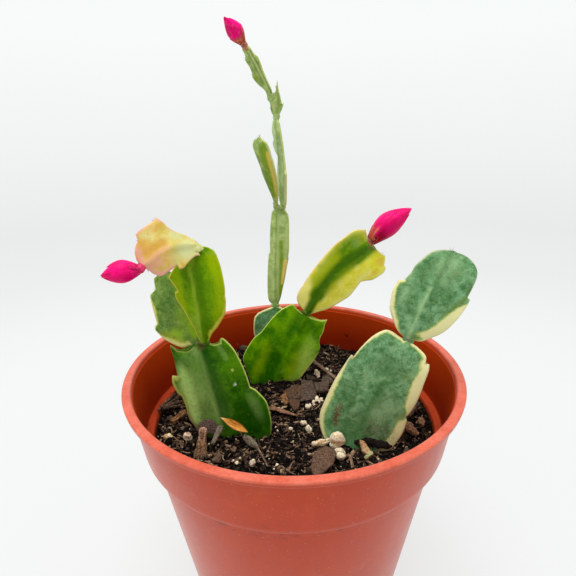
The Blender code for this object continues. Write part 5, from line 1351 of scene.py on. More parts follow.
def wood_material(name, dark, mid, light, scale=1.0, grain=(1, 1, .2), blotch=None, contrast=1.0):
    k = Mat(name)
    n = k.noise(1.1 * scale, 5, .7, .5)
    st_ = k.noise(.42 * scale, 4, .65, .3, stretch=grain)
    fine = k.noise(.2, 2, .6)
    v = k.math("ADD", k.math("ADD", k.math("MULTIPLY", n, .38), k.math("MULTIPLY", st_, .36)), k.math("MULTIPLY", fine, .26))
    col = k.ramp(v, [(.42 - .02 * contrast, dark), (.5, mid), (.58 + .02 * contrast, light)])
    fleck = k.voronoi(.5 * scale, "F1")
    tint = k.sep(k.voronoi(.5 * scale, "F1", out="Color"))[1]
    spot = k.math("MULTIPLY", k.remap(fleck, .30, .16, smooth=True), k.math("GREATER_THAN", tint, .62))
    col = k.mix(k.math("MULTIPLY", spot, .8), col, k.mix(k.math("GREATER_THAN", tint, .82), tuple(c * .3 for c in dark),
                                                        tuple(min(1, c * 1.35) for c in light)))
    if blotch:
        b = k.remap(k.noise(1.7 * scale, 4, .65, .4), .50, .60, smooth=True)
        col = k.mix(k.math("MULTIPLY", b, .75), col, k.mix(st_, tuple(c * .5 for c in blotch), blotch))
    crack = k.remap(k.noise(.6 * scale, 3, .6, .6, stretch=grain), .42, .36, smooth=True)
    col = k.mix(k.math("MULTIPLY", crack, .8), col, tuple(c * .25 for c in dark))
    h = k.math("ADD", k.noise(.25, 3, .65), k.math("MULTIPLY", st_, 1.6))
    k.set(color=col, rough=.85, normal=k.bump(h, .30, 1.0), spec=.18)
    return k.m


bark_mat = wood_material("bark", srgb(46, 32, 25), srgb(84, 62, 49), srgb(118, 92, 74), .8, (1, .35, 1), blotch=srgb(136, 88, 56))
bark_disc_mat = wood_material("bark_disc", srgb(56, 42, 36), srgb(98, 78, 68), srgb(140, 116, 102), .55, (1, .5, 1), blotch=srgb(122, 100, 88))
bark_grey = wood_material("bark_grey", srgb(46, 34, 27), srgb(86, 69, 57), srgb(128, 106, 90), .8, (.4, 1, 1))
bark_brown = wood_material("bark_brown", srgb(62, 44, 34), srgb(106, 80, 64), srgb(142, 114, 94), .6, (1, .8, 1), blotch=srgb(150, 112, 84))
shredded = wood_material("shredded_bark", srgb(40, 28, 20), srgb(92, 70, 54), srgb(150, 122, 98), .8, (.35, 1, 1), contrast=1.4)
# near-black bark: its own dark colour with painted shade, for the hollow curl by the right-hand stem
dark_bark_and_shade = wood_material("dark_bark_and_shade", srgb(6, 4, 4), srgb(24, 17, 14), srgb(66, 50, 42), .6, (1, .4, 1), contrast=1.6)
reddish = wood_material("reddish_bark", srgb(78, 50, 36), srgb(144, 102, 76), srgb(200, 156, 124), .7, (.3, 1, 1))
orange_wood = wood_material("orange_wood", srgb(70, 42, 26), srgb(140, 92, 56), srgb(206, 158, 108), .7, (.5, 1, 1), contrast=1.4)
tan_wood = wood_material("tan_wood", srgb(70, 52, 42), srgb(134, 108, 88), srgb(190, 162, 138), .7, (.4, 1, 1), contrast=1.3)
light_tan = wood_material("light_tan_wood", srgb(140, 92, 52), srgb(204, 158, 108), srgb(232, 206, 164), .7, (.6, 1, 1))
stick_mat = wood_material("peeled_stick", srgb(60, 36, 22), srgb(150, 111, 76), srgb(222, 184, 144), .55, (1, 1, .5), contrast=.8)
cut_wood = wood_material("cut_wood", srgb(140, 92, 74), srgb(204, 156, 132), srgb(238, 204, 184), .7, (1, 1, .5))
pale_wood = wood_material("pale_wood", srgb(78, 66, 50), srgb(128, 114, 92), srgb(176, 164, 140), .7, (1, .4, 1))
cream_chip = wood_material("cream_chip", srgb(118, 108, 62), srgb(176, 168, 116), srgb(212, 208, 160), .9, (.4, 1, 1))


def perlite_material(name, tint, amount):
    k = Mat(name)
    n = k.noise(.7, 4, .7, .5)
    col = k.ramp(n, [(.28, srgb(146, 98, 60)), (.38, srgb(206, 174, 130)), (.48, srgb(238, 222, 190)), (.72, srgb(246, 238, 216))])
    pits = k.voronoi(.6, "F1")
    pit = k.remap(pits, .26, .10, smooth=True)
    col = k.mix(k.math("MULTIPLY", pit, .65), col, srgb(132, 84, 50))
    t = k.remap(k.noise(1.5, 3, .6), .47, .60, smooth=True)
    col = k.mix(k.math("MULTIPLY", t, amount, clamp=True), col, tint)
    if amount > .5:
        rust = k.remap(k.noise(.9, 3, .65), .56, .66, smooth=True)
        col = k.mix(k.math("MULTIPLY", rust, .7), col, srgb(176, 110, 58))
    h = k.math("SUBTRACT", k.noise(.5, 3, .7), k.math("MULTIPLY", pit, .9))
    k.set(color=col, rough=.85, normal=k.bump(h, .26, 1.0), sss=.08, sss_scale=.0005, spec=.2)
    return k.m


perlite_mat = perlite_material("perlite_grain", srgb(224, 190, 140), .25)
perlite_orange = perlite_material("perlite_stained", srgb(222, 172, 108), .6)
perlite_pink = perlite_material("perlite_pink", srgb(176, 140, 122), .85)
tan_stone = perlite_material("tan_stone", srgb(214, 170, 98), 1.2)


def plate(outline, thick, seed, tilt=(0, 0), dome=.12, rough=.10):
    """Broken flat chip from an outline in mm (local x, y): ragged rim, bevelled, uneven top. Returns verts, tris."""
    g = np.random.default_rng(seed)
    o = np.array(outline, float)
    if sum(o[i, 0] * o[(i + 1) % len(o), 1] - o[(i + 1) % len(o), 0] * o[i, 1] for i in range(len(o))) < 0:
        o = o[::-1]
    rim = []
    for i in range(len(o)):
        a_, b_ = o[i], o[(i + 1) % len(o)]
        n_ = max(2, int(np.linalg.norm(b_ - a_) / .45))
        nv = unit([b_[1] - a_[1], a_[0] - b_[0]])
        for k in range(n_):
            t = k / n_
            rim.append(a_ * (1 - t) + b_ * t + nv * (0 if k == 0 else g.normal(0, .07)))
    rim = np.array(rim)
    c = rim.mean(0)
    m = len(rim)
    layers = [(.95, -.5), (1.0, -.1), (1.0, .25), (.93, .5), (.72, .5), (.48, .5), (.24, .5)]
    v = []
    for s, zz in layers:
        xy = c + (rim - c) * s
        z = np.full(m, zz * thick)
        if zz == .5:
            z = z + dome * thick * (1 - s) + rough * noise3(np.column_stack([xy, np.zeros(m)]), 1.1, seed + 40) \
                + rough * .6 * noise3(np.column_stack([xy * [1, .3], np.zeros(m)]), .5, seed + 41)
        v.append(np.column_stack([xy, z]))
    v.append([[c[0], c[1], thick * (.5 + dome)]])
    v.append([[c[0], c[1], -thick * .5]])
    v = np.vstack(v)
    f = []
    for l in range(len(layers) - 1):
        for i in range(m):
            k = (i + 1) % m
            p, q, r_, s_ = l * m + i, l * m + k, (l + 1) * m + k, (l + 1) * m + i
            f += [(p, q, r_), (p, r_, s_)]
    top, bot, L = len(layers) * m, len(layers) * m + 1, (len(layers) - 1) * m
    for i in range(m):
        k = (i + 1) % m
        f += [(top, L + i, L + k), (bot, k, i)]
    v = v - [c[0], c[1], 0]
    ax, ay = math.radians(tilt[0]), math.radians(tilt[1])
    rx = np.array([[1, 0, 0], [0, math.cos(ax), -math.sin(ax)], [0, math.sin(ax), math.cos(ax)]])
    ry = np.array([[math.cos(ay), 0, math.sin(ay)], [0, 1, 0], [-math.sin(ay), 0, math.cos(ay)]])
    return v @ rx.T @ ry.T, np.array(f), c


def join(parts):
    vs, fs, base = [], [], 0
    for v, f in parts:
        vs.append(v)
        fs.append(f + base)
        base += len(v)
    return np.vstack(vs), np.vstack(fs)


def show(node, verts, tris, mat, sharp=35, name=None, smooth=True, mat_index=None):
    SHOWN[name or node] = verts
    return piece(name or "look_" + node, verts, [tris], mat, [node] if node else (), smooth=smooth, sharp=sharp,
                 mat_index=mat_index)


# broken plates of bark lying in the middle
cb = middle("centre_bark_chip")
plates = []
for outline, z, thick, tilt, seed in (
        ([(-3.6, 8.9), (.5, 12.6), (3.3, 11.4), (2.8, 4.6), (-1.2, 3.7)], .55, 1.0, (5, -7), 61),
        ([(-1.8, 3.9), (2.5, 4.8), (1.6, -1.6), (.1, -2.6), (-1.1, .4)], .15, .9, (-4, 6), 62),
        ([(2.9, 14.5), (7.0, 14.3), (8.4, 5.9), (5.9, 3.9), (2.4, 2.9)], .75, 1.0, (7, 5), 63)):
    v, f, c = plate(outline, thick, seed, tilt)
    plates.append((v + [c[0], c[1], cb[2] + z - .35], f))
count_ = [len(q[1]) for q in plates]
v, f = join(plates)
show("centre_bark_chip", v, f, [bark_mat, bark_grey], mat_index=np.repeat([0, 0, 1], count_))
cr = middle("centre_rear_bark_chip")
v, f, c = plate([(-3.2, 2.4), (2.8, 3.0), (1.5, -2.4), (-2.6, -2.6)], 1.2, 64, (6, -4))
show("centre_rear_bark_chip", v + cr + [-.3, 0, .1], f, bark_grey)
fb = middle("front_bark_chip")
v, f, c = plate([(-1.6, 3.6), (.8, 4.6), (3.3, 3.2), (3.3, 1.5), (2.4, -1.4), (-.3, -4.2), (-3.1, -6.0), (-4.1, -3.0), (-3.3, 1.3)],
                .9, 65, (9, 3), rough=.12)
show("front_bark_chip", v + fb + [.1, -.2, .55], f, bark_brown)
tb = middle("tan_bark_chip")
v, f, c = plate([(-1.7, 2.6), (-.5, 2.3), (1.5, -1.0), (.3, -2.0), (-1.2, -.8)], 1.0, 66, (24, 10), rough=.16)
show("tan_bark_chip", v + tb + [-.2, .9, .7], f, light_tan)
pb = middle("pale_bark_chip")
v, f, c = plate([(-1.5, -.6), (.9, 1.1), (1.5, .1), (-1.0, -1.4)], .9, 67, (12, -10))
show("pale_bark_chip", v + pb + [.0, .4, .7], f, cream_chip)
rb = middle("right_front_bark_chip")
v, f, c = plate([(-2.6, -.5), (-1.6, 2.9), (.5, 2.0), (2.2, -1.6), (1.1, -2.4)], 1.0, 68, (10, 16), rough=.14)
show("right_front_bark_chip", v + rb + [-.2, .6, .5], f, reddish)
rc = middle("right_round_chip")
v, f, c = plate([(-1.1, .6), (-.7, -1.2), (.3, -1.9), (1.1, -.5), (.9, 1.4), (-.2, 1.7)], 1.1, 69, (14, -8))
show("right_round_chip", v + rc + [0, 0, .3], f, reddish)
lb = middle("left_bark_chip")
lay = []
for x0, y0, x1, y1, w_, lift_, thick, seed, tl in (
        (-4.0, -1.6, 3.2, 4.6, 1.5, .3, .7, 70, (18, -8)), (-3.2, -2.6, 3.8, 2.6, 1.1, .9, .5, 71, (8, 14)),
        (-4.2, -.4, .8, 4.6, .9, 1.0, .5, 72, (26, -4)), (-2.2, -3.0, 3.4, .6, .9, .6, .5, 76, (-8, 8)),
        (-1.6, -.6, 3.6, 5.4, .6, 1.6, .35, 77, (20, 0)), (-4.4, -2.4, -1.0, -.6, 1.0, .3, .6, 78, (10, -12)),
        (-.6, 1.2, 2.6, 6.2, .7, .9, .4, 79, (10, 10))):
    t_ = unit([x1 - x0, y1 - y0])
    n_ = np.array([-t_[1], t_[0]])
    a0, a1 = np.array([x0, y0]), np.array([x1, y1])
    v, f, c = plate([a0 - n_ * w_ * .3, a0 + n_ * w_ * .25, (a0 + a1) / 2 + n_ * w_ * .55, a1 + n_ * w_ * .2, a1 - n_ * w_ * .15,
                     (a0 + a1) / 2 - n_ * w_ * .5], thick, seed, tl, rough=.2)
    lay.append((v + lb + [c[0], c[1] - 1.2, lift_], f))
v, f = join(lay)
show("left_bark_chip", v, f, shredded)
sf = middle("small_front_bark_chip")
v, f, c = plate([(-1.2, -1.4), (-.9, 1.3), (.2, 2.0), (1.3, .6), (1.1, -1.5)], 1.0, 73, (30, -6), rough=.16)
show("small_front_bark_chip", v + sf + [0, .2, .5], f, shredded)
rr_ = middle("rear_bark_chip")
v, f, c = plate([(-2.4, -1.0), (-1.6, 1.6), (1.4, 1.9), (2.5, .2), (1.0, -1.8)], 1.6, 74, (-18, 8), rough=.2)
show("rear_bark_chip", v + rr_, f, bark_grey)
# the pale splinter
pw = middle("pale_wood_fragment")
v, f, c = plate([(-1.6, -2.6), (-.5, -2.9), (1.9, 1.4), (1.9, 2.5), (.3, 2.2)], .6, 75, (46, 0), rough=.08)
show("pale_wood_fragment", v + pw + [.1, .1, .1], f, pale_wood)
bd = middle("bark_disc")
ring_ = [(3.3 * math.cos(t), 2.9 * math.sin(t)) for t in np.linspace(-.5, math.pi + .5, 13)]
v, f, c = plate(ring_, .55, 80, (62, 4), dome=.3, rough=.10)
show("bark_disc", v + bd + [.1, .3, .5], f, bark_disc_mat, sharp=40)

# the cut stick that stands at the wall of the pot: wide foot, rough flanks, slanting pale cut
us_lo, us_hi = (np.array(c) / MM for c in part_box("upright_stick"))
foot = np.array([(us_lo[0] + us_hi[0]) / 2 - .55, us_lo[1] + 1.5, us_lo[2] - .6])
head = np.array([(us_lo[0] + us_hi[0]) / 2 + .75, us_hi[1] - 1.3, us_hi[2] + .45])
ax = unit(head - foot)
sx = unit(np.cross(ax, (0, -1, .2)))
sx = sx if sx[0] > 0 else -sx
sy = np.cross(ax, sx)
rows, cols = 46, 44
v = []
for j in range(rows):
    q = j / (rows - 1)
    wx = (1.85 - .60 * ease(q / .8)) * (1 - max(0, (q - .84) / .16) ** 2.4 * .72)
    wy = (1.35 - .25 * q) * (1 - max(0, (q - .9) / .1) ** 2.4 * .5)
    c = foot + (head - foot) * q
    for i in range(cols):
        a_ = 2 * math.pi * i / cols
        ca, sa = math.cos(a_), math.sin(a_)
        e_ = (abs(ca) ** 3.2 + abs(sa) ** 3.2) ** (-1 / 3.2)
        v.append(c + sx * wx * ca * e_ + sy * wy * sa * e_)
v = np.array(v)
grain_p = np.column_stack([v @ sx, v @ sy, (v @ ax) * .3])
nr = v - (foot + np.outer(np.clip((v - foot) @ ax, 0, None), ax))
nr /= np.maximum(np.linalg.norm(nr, axis=1, keepdims=True), 1e-6)
v = v + nr * (.30 * fbm(v, 1.5, 741, 3) + .26 * noise3(grain_p, .6, 745))[:, None]
# slanting top: the far side rises above the near side
hgt = (v - foot) @ ax
L_ = np.linalg.norm(head - foot)
back_y = ((v - foot) @ sy) * np.sign(np.array([0, 1, 0]) @ sy)
# a long slanting face is split off the front of the upper half, leaving a raised lip of bark round it
face_ = ease((hgt - .42 * L_) / (.35 * L_)) * ease((-back_y + .1) / .9) * ease((1.0 - np.abs((v - foot) @ sx)) / .45)
v = v + np.outer(face_ * .75, sy * np.sign(np.array([0, 1, 0]) @ sy))
tri = []
for j in range(rows - 1):
    for i in range(cols):
        k = (i + 1) % cols
        p_, q_, r_2, s_2 = j * cols + i, j * cols + k, (j + 1) * cols + k, (j + 1) * cols + i
        tri += [(p_, q_, r_2), (p_, r_2, s_2)]
n_side = len(tri)
topc = v[(rows - 1) * cols:].mean(0)
ringl = [(rows - 1) * cols + i for i in range(cols)]
extra_v = []
for s in (.75, .5, .25):
    w_ = topc + (v[ringl] - topc) * s
    w_ = w_ + ax * (.16 * noise3(w_, .6, 747) - .14 * (1 - s))[:, None]
    extra_v.append(w_)
base_i = len(v)
v = np.vstack([v] + extra_v + [[topc - ax * .16], [v[:cols].mean(0)]])
prev = ringl
for l in range(3):
    cur = [base_i + l * cols + i for i in range(cols)]
    for i in range(cols):
        k = (i + 1) % cols
        tri += [(prev[i], prev[k], cur[k]), (prev[i], cur[k], cur[i])]
    prev = cur
for i in range(cols):
    tri += [(prev[i], prev[(i + 1) % cols], len(v) - 2), ((i + 1) % cols, i, len(v) - 1)]
tri = outward(v - v.mean(0), np.array(tri))
idx = np.zeros(len(tri), int)
fc = v[tri].mean(1)
fh, fx_ = (fc - foot) @ ax, (fc - foot) @ sx
lip_w = ((fh / L_) > .62 + .06 * noise3(fc, .8, 748)) & (np.abs(fx_ + .1) > .55 + .12 * noise3(fc, .7, 749)) & (fx_ < .9)
idx[lip_w | (fh > L_ - .55)] = 1
show("upright_stick", v, tri, [stick_mat, cut_wood], sharp=55, mat_index=idx)


def stick(node, ra, rb, mat, flat=.8, knob=.25, rows_=26, sides=18, ends=None):
    """Broken twig between the ends of a CAD stick: oval, knobbly, with torn ends."""
    v0, _, _ = refined(node, 0, 0)
    c0 = v0.mean(0)
    u_, s_, vt = np.linalg.svd(v0 - c0)
    ax_ = vt[0]
    t_ = (v0 - c0) @ ax_
    if ax_[0] < 0:
        ax_, t_ = -ax_, -t_
    a_, b_ = c0 + ax_ * t_.min(), c0 + ax_ * t_.max()
    if ends:
        a_, b_ = a_ + np.array(ends[0]), b_ + np.array(ends[1])
    ax_ = unit(b_ - a_)
    sx_ = unit(np.cross(ax_, (0, 0, 1)))
    sy_ = np.cross(sx_, ax_)
    g = np.random.default_rng(sum(map(ord, node)))
    tear = g.uniform(-.5, .5, sides)
    vv = []
    for j in range(rows_):
        q = j / (rows_ - 1)
        for i in range(sides):
            w_ = 2 * math.pi * i / sides
            r_ = ra * (1 - q) + rb * q
            shift = tear[i] * (.5 if q in (0, 1) else 0) * (1 if q else -1)
            vv.append(a_ + (b_ - a_) * q + ax_ * shift + sx_ * r_ * math.cos(w_) + sy_ * r_ * flat * math.sin(w_))
    vv = np.array(vv)
    cen = a_ + np.outer(np.clip((vv - a_) @ ax_, 0, None), ax_)
    nr_ = (vv - cen) / np.maximum(np.linalg.norm(vv - cen, axis=1, keepdims=True), 1e-6)
    gp = np.column_stack([vv @ sx_, vv @ sy_, (vv @ ax_) * .3])
    vv = vv + nr_ * (knob * ra * fbm(vv, 1.6, 771, 3) + knob * .7 * ra * noise3(gp, .5, 775))[:, None]
    tri_ = []
    for j in range(rows_ - 1):
        for i in range(sides):
            k = (i + 1) % sides
            p_, q_, r2, s2 = j * sides + i, j * sides + k, (j + 1) * sides + k, (j + 1) * sides + i
            tri_ += [(p_, q_, r2), (p_, r2, s2)]
    n_ = len(vv)
    vv = np.vstack([vv, [a_ + ax_ * .1], [b_ - ax_ * .1]])
    for i in range(sides):
        k = (i + 1) % sides
        tri_ += [(n_, k, i), (n_ + 1, (rows_ - 1) * sides + i, (rows_ - 1) * sides + k)]
    tri_ = outward(vv - vv.mean(0), np.array(tri_))
    show(node, vv, tri_, mat, sharp=50)


stick("reddish_stick", 1.15, .42, reddish, flat=.6, knob=.25)
stick("orange_tipped_stick", 1.15, .6, orange_wood, flat=.8, knob=.45)
stick("right_bark_stick", 1.3, 1.0, shredded, flat=.6, knob=.35)
stick("long_twig", .85, .62, tan_wood, flat=.7, knob=.22)
# the leaf's own wiry stalk runs on from the folded part
tw_lo, tw_hi = (np.array(c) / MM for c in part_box("thin_twig"))
ctrl = np.array([(tw_lo[0] - .2, tw_hi[1] - .3, tw_hi[2] + .3), (tw_lo[0] * .6 + tw_hi[0] * .4, tw_hi[1] * .55 + tw_lo[1] * .45, tw_hi[2] + .1),
                 (tw_hi[0] + .3, tw_lo[1] - .3, tw_lo[2] + .2)])
q_ = np.linspace(0, 1, 30)[:, None]
path_ = (1 - q_) ** 2 * ctrl[0] + 2 * q_ * (1 - q_) * ctrl[1] + q_ ** 2 * ctrl[2]
path_ = path_ + .12 * np.column_stack([noise3(path_, 1.6, 791), noise3(path_, 1.6, 792), noise3(path_, 1.6, 793)])
tg_ = np.gradient(path_, axis=0)
tg_ /= np.linalg.norm(tg_, axis=1, keepdims=True)
v, f, m_ = [], [], 8
for j in range(30):
    a1_ = unit(np.cross(tg_[j], (0, 0, 1)))
    a2_ = np.cross(a1_, tg_[j])
    for i in range(m_):
        w_ = 2 * math.pi * i / m_
        v.append(path_[j] + (a1_ * math.cos(w_) + a2_ * math.sin(w_)) * (.30 - .10 * j / 29) * (1 + .15 * math.sin(j * 1.7)))
for j in range(29):
    for i in range(m_):
        k = (i + 1) % m_
        p_, q2_, r2_, s2_ = j * m_ + i, j * m_ + k, (j + 1) * m_ + k, (j + 1) * m_ + i
        f += [(p_, q2_, r2_), (p_, r2_, s2_)]
v += [path_[0], path_[-1]]
for i in range(m_):
    k = (i + 1) % m_
    f += [(30 * m_, k, i), (30 * m_ + 1, 29 * m_ + i, 29 * m_ + k)]
v = np.array(v)
show("thin_twig", v, outward(v - v.mean(0), np.array(f)), tan_wood, sharp=50)


# ---------------------------------------------------------------- dried leaf and its folded stalk
def blade(a_, b_, half, face, trough, bulge, thick, shape, curl=0.0, nu=15, nv=34):
    """Thin dry blade from a_ to b_: shape(q) gives its half width; a trough along the middle, edges curled."""
    t_ = unit(b_ - a_)
    w_ = unit(np.cross(t_, face))
    n_ = np.cross(w_, t_)
    n_ = n_ if n_ @ np.array(face) > 0 else -n_
    S_, Q_ = np.meshgrid(np.linspace(-1, 1, nu), np.linspace(0, 1, nv))
    hw = half * shape(Q_)
    off = bulge * np.sin(math.pi * Q_) + trough * np.abs(S_) ** 1.5 * shape(Q_) + curl * S_ * Q_ + .10 * np.sin(9 * Q_ + 2 * S_)
    mid_ = a_ + (b_ - a_) * Q_[..., None] + w_ * (hw * S_)[..., None] + n_ * off[..., None]
    tk = thick * (.35 + .65 * np.clip(shape(Q_), 0, 1))
    up_ = (mid_ + n_ * tk[..., None]).reshape(-1, 3)
    dn_ = (mid_ - n_ * tk[..., None]).reshape(-1, 3)
    v_ = np.vstack([up_, dn_])
    N = nu * nv
    f_ = []
    for j in range(nv - 1):
        for i in range(nu - 1):
            p_ = j * nu + i
            f_ += [(p_, p_ + 1, p_ + nu + 1), (p_, p_ + nu + 1, p_ + nu), (N + p_, N + p_ + nu + 1, N + p_ + 1),
                   (N + p_, N + p_ + nu, N + p_ + nu + 1)]
    rim_ = [i for i in range(nu)] + [j * nu + nu - 1 for j in range(1, nv)] \
        + [(nv - 1) * nu + i for i in range(nu - 2, -1, -1)] + [j * nu for j in range(nv - 2, 0, -1)]
    for i in range(len(rim_)):
        p_, q_ = rim_[i], rim_[(i + 1) % len(rim_)]
        f_ += [(q_, p_, N + p_), (q_, N + p_, N + q_)]
    f_ = outward(v_ - v_.mean(0), np.array(f_))
    return v_, f_, np.tile(S_.ravel(), 2), np.tile(Q_.ravel(), 2)


def leaf_material():
    k = Mat("dry_striped_leaf")
    ac, al = k.attr("m_across"), k.attr("m_along")
    lane = k.combine(k.math("MULTIPLY", ac, .0016), k.math("MULTIPLY", al, .0012), 0.0)
    s = k.noise(.36, 3, .6, .3, coord=lane)
    col = k.ramp(s, [(.40, srgb(130, 52, 12)), (.47, srgb(190, 118, 30)), (.60, srgb(218, 162, 60))])
    hot = k.remap(k.noise(1.4, 2), .50, .62, smooth=True)
    col = k.mix(k.math("MULTIPLY", hot, .6), col, srgb(222, 148, 62))
    edge = k.remap(k.math("ABSOLUTE", ac), .74, .98, smooth=True)
    col = k.mix(k.math("MULTIPLY", edge, .85), col, srgb(58, 26, 22))
    dots = k.remap(k.voronoi(.55), .20, .12, smooth=True)
    col = k.mix(k.math("MULTIPLY", dots, .7), col, srgb(128, 18, 14))
    tip = k.remap(al, .16, .0, smooth=True)
    col = k.mix(k.math("MULTIPLY", tip, .8), col, srgb(224, 178, 132))
    k.set(color=col, rough=.5, normal=k.bump(s, .12, .8), sss=.08, sss_scale=.0005, spec=.3)
    return k.m


lf_lo, lf_hi = (np.array(c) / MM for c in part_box("dried_leaf"))
la = np.array([lf_lo[0] + .35, (lf_lo[1] + lf_hi[1]) / 2 + .4, lf_hi[2] + .35])
lb_ = np.array([lf_hi[0] + 1.5, (lf_lo[1] + lf_hi[1]) / 2 - .9, lf_lo[2] + .25])
lens = lambda q: np.maximum(np.sin(math.pi * np.clip(q, 0, 1) ** 1.15) ** .85, .05)
v, f, S_, Q_ = blade(la, lb_, 1.25, (.1, -.75, .65), .50, .45, .13, lens, curl=.25)
SHOWN["dried_leaf"] = v
piece("look_dried_leaf", v, [f], leaf_material(), ["dried_leaf"], smooth=True,
      attrs={"m_across": S_, "m_along": Q_}, sharp=60)
sk = middle("leaf_stalk")
fold = lambda q: np.maximum(np.sin(math.pi * (.12 + .80 * q)) ** .7, .1)
v, f, S_, Q_ = blade(sk + [-2.2, .5, 1.75], sk + [1.9, -.8, -1.6], 1.1, (.2, -.6, .75), -.75, .25, .22, fold)
v = v + .08 * np.stack([noise3(v, 1.0, 781), noise3(v, 1.0, 782), noise3(v, 1.0, 783)], 1)
show("leaf_stalk", v, f, pale_wood, sharp=40)

# perlite and stone grains: lobed or angular lumps filling the CAD solid's box
GRAIN_LOOK = {  # stretch of the box, shift in mm, lobes (offset as a share of the half box, share of the size)
    "large_perlite": ((1.08, 1.2, 1.5), (-.5, -.2, .1), [(.05, 0, .28, .80), (.2, 0, .0, .75), (-.25, -.1, -.52, .52)]),
    "left_perlite": ((1.6, 1.3, 1.6), (.6, .1, .15), [(-.5, 0, -.1, .60), (.35, 0, .1, .78)]),
    "middle_perlite": ((1.0, 1.0, .9), (1.0, -.5, -.3), [(0, 0, .1, .8), (.2, 0, -.1, .7)]),
    "lower_perlite": ((1.1, 1.1, 1.15), (.9, -.2, .0), [(-.1, 0, .25, .75), (.1, 0, -.25, .8)]),
    "front_perlite": ((1.0, 1.0, 1.0), (-.5, .2, .0), [(0, 0, .1, .8), (.1, 0, -.3, .7)]),
    "inner_perlite": ((1.25, 1.2, 1.35), (0, 0, .1), [(-.2, 0, .25, .75), (.15, 0, -.2, .8)]),
    "small_perlite": ((1.25, 1.2, 1.2), (0, 0, .1), [(-.1, 0, .1, .85), (.3, 0, -.2, .6)]),
    "rear_perlite": ((1.2, 1.2, 1.4), (0, 0, .1), [(-.15, 0, .45, .6), (.25, 0, -.25, .78)]),
    "front_left_perlite": ((1.1, 1.1, 1.1), (0, 0, .1), [(-.2, 0, -.2, .75), (.25, 0, .3, .65)]),
    "pink_porous_grain": ((1.15, 1.1, 1.2), (0, 0, .0), [(0, 0, .15, .85), (.15, 0, -.3, .8)]),
    "tan_grain": ((1.2, 1.1, 1.05), (0, 0, .1), [(-.25, 0, -.1, .75), (.25, 0, .15, .7)]),
}


def lump(lo, hi, lobes, seed, angular):
    """Grain made of merged lobes; angular ones get flat broken faces."""
    g = np.random.default_rng(seed)
    bm = bmesh.new()
    bmesh.ops.create_icosphere(bm, subdivisions=5, radius=1.0)
    d = np.array([p.co[:] for p in bm.verts])
    f = np.array([[p.index for p in q.verts] for q in bm.faces])
    bm.free()
    c, h = (lo + hi) / 2, (hi - lo) / 2
    r = np.zeros(len(d))
    for x, y, z, s in lobes:
        o = np.array([x, y, z])
        b = d @ o
        disc = b * b - (o @ o - s * s)
        hit = np.where(disc > 0, b + np.sqrt(np.maximum(disc, 0)), 0)
        r = np.maximum(r, hit)
    r = np.where(r <= 0, .35, r)
    if angular:
        n = g.normal(size=(16, 3))
        n /= np.linalg.norm(n, axis=1, keepdims=True)
        cut = g.uniform(.62, .85, 16)
        dn = d @ n.T
        r = np.minimum(r, np.where(dn > .05, cut / np.maximum(dn, .05), 9).min(1))
    p = d * r[:, None]
    v = c + p * h
    v = v + d * (.10 * fbm(v, 1.2, seed + 3, 3) + .07 * noise3(v, .45, seed + 7))[:, None] * min(1.4, h.min())
    pit = ease((noise3(v, .8, seed + 11) - .30) / .3)
    return v - d * (.20 * pit * min(1.2, h.min()))[:, None], f


for i, n in enumerate(LOOSE):
    if n in SHOWN:
        continue
    lo_, hi_ = (np.array(c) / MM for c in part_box(n))
    grow, move, lobes = GRAIN_LOOK.get(n, ((1.15, 1.15, 1.15), (0, 0, 0), [(-.15, 0, .1, .8), (.2, 0, -.1, .75)]))
    c_, h_ = (lo_ + hi_) / 2 + move, (hi_ - lo_) / 2 * grow
    v, f = lump(c_ - h_, c_ + h_, lobes, 760 + 13 * i, n in ("pink_porous_grain", "tan_grain"))
    mat = {"large_perlite": perlite_orange, "left_perlite": perlite_orange,
           "pink_porous_grain": perlite_pink, "tan_grain": tan_stone}.get(n, perlite_mat)
    show(n, v, f, mat, sharp=None)

# more loose pieces of the mix, named groups of their own
lay = []
for outline, thick, tilt, lift, seed in (
        ([(5.0, 22.2), (8.5, 22.7), (8.5, 17.6), (5.2, 17.7)], .8, (-8, 4), .1, 81),
        ([(11.2, 19.2), (14.2, 20.2), (14.9, 15.0), (12.5, 13.6), (10.6, 16.3)], .9, (6, -9), .45, 82)):
    v, f, c = plate(outline, thick, seed, tilt)
    lay.append((v + [c[0], c[1], soil_z(c[:1], c[1:])[0] + lift], f))
v, f = join(lay)
show(None, v, f, bark_grey, name="grey_bark_flakes")
v, f, c = plate([(-4.9, 5.6), (-3.0, 7.6), (-1.4, 3.6), (-2.5, 2.0)], 1.2, 83, (14, 12), rough=.14)
show(None, v + [c[0], c[1], soil_z(c[:1], c[1:])[0] + .6], f, orange_wood, name="orange_bark_flake")
# a hollow curl of bark lying against the right-hand stem, coloured near black: dark bark with painted shade of its
# hollow
Q_, A_ = np.meshgrid(np.linspace(0, 1, 40), np.linspace(-.15, math.pi + .15, 22))
ends_ = np.sin(math.pi * np.clip(Q_, .03, .97)) ** .45
cx = 17.8 + 10.4 * Q_
cy = -18.6 - 1.4 * Q_ + .5 * np.sin(5 * Q_)
rad_o = 1.75 * ends_ * (1 + .12 * np.sin(7 * Q_ + 1))
outer_ = np.stack([cx, cy + .5 + rad_o * np.cos(A_), 74.8 + rad_o * 1.3 * np.sin(A_)], -1)
inner_ = np.stack([cx, cy + .5 + (rad_o - .3) * np.cos(A_), 74.8 + (rad_o - .3) * 1.3 * np.sin(A_)], -1)
v = np.vstack([outer_.reshape(-1, 3), inner_.reshape(-1, 3)])
v = v + .24 * np.stack([noise3(v, 1.3, 861), noise3(v, 1.3, 862), noise3(v, 1.3, 863)], 1) \
    + .14 * np.stack([noise3(v, .55, 864), noise3(v, .55, 865), noise3(v, .55, 866)], 1)
nu_, nv_ = Q_.shape[1], Q_.shape[0]
N_ = nu_ * nv_
f = []
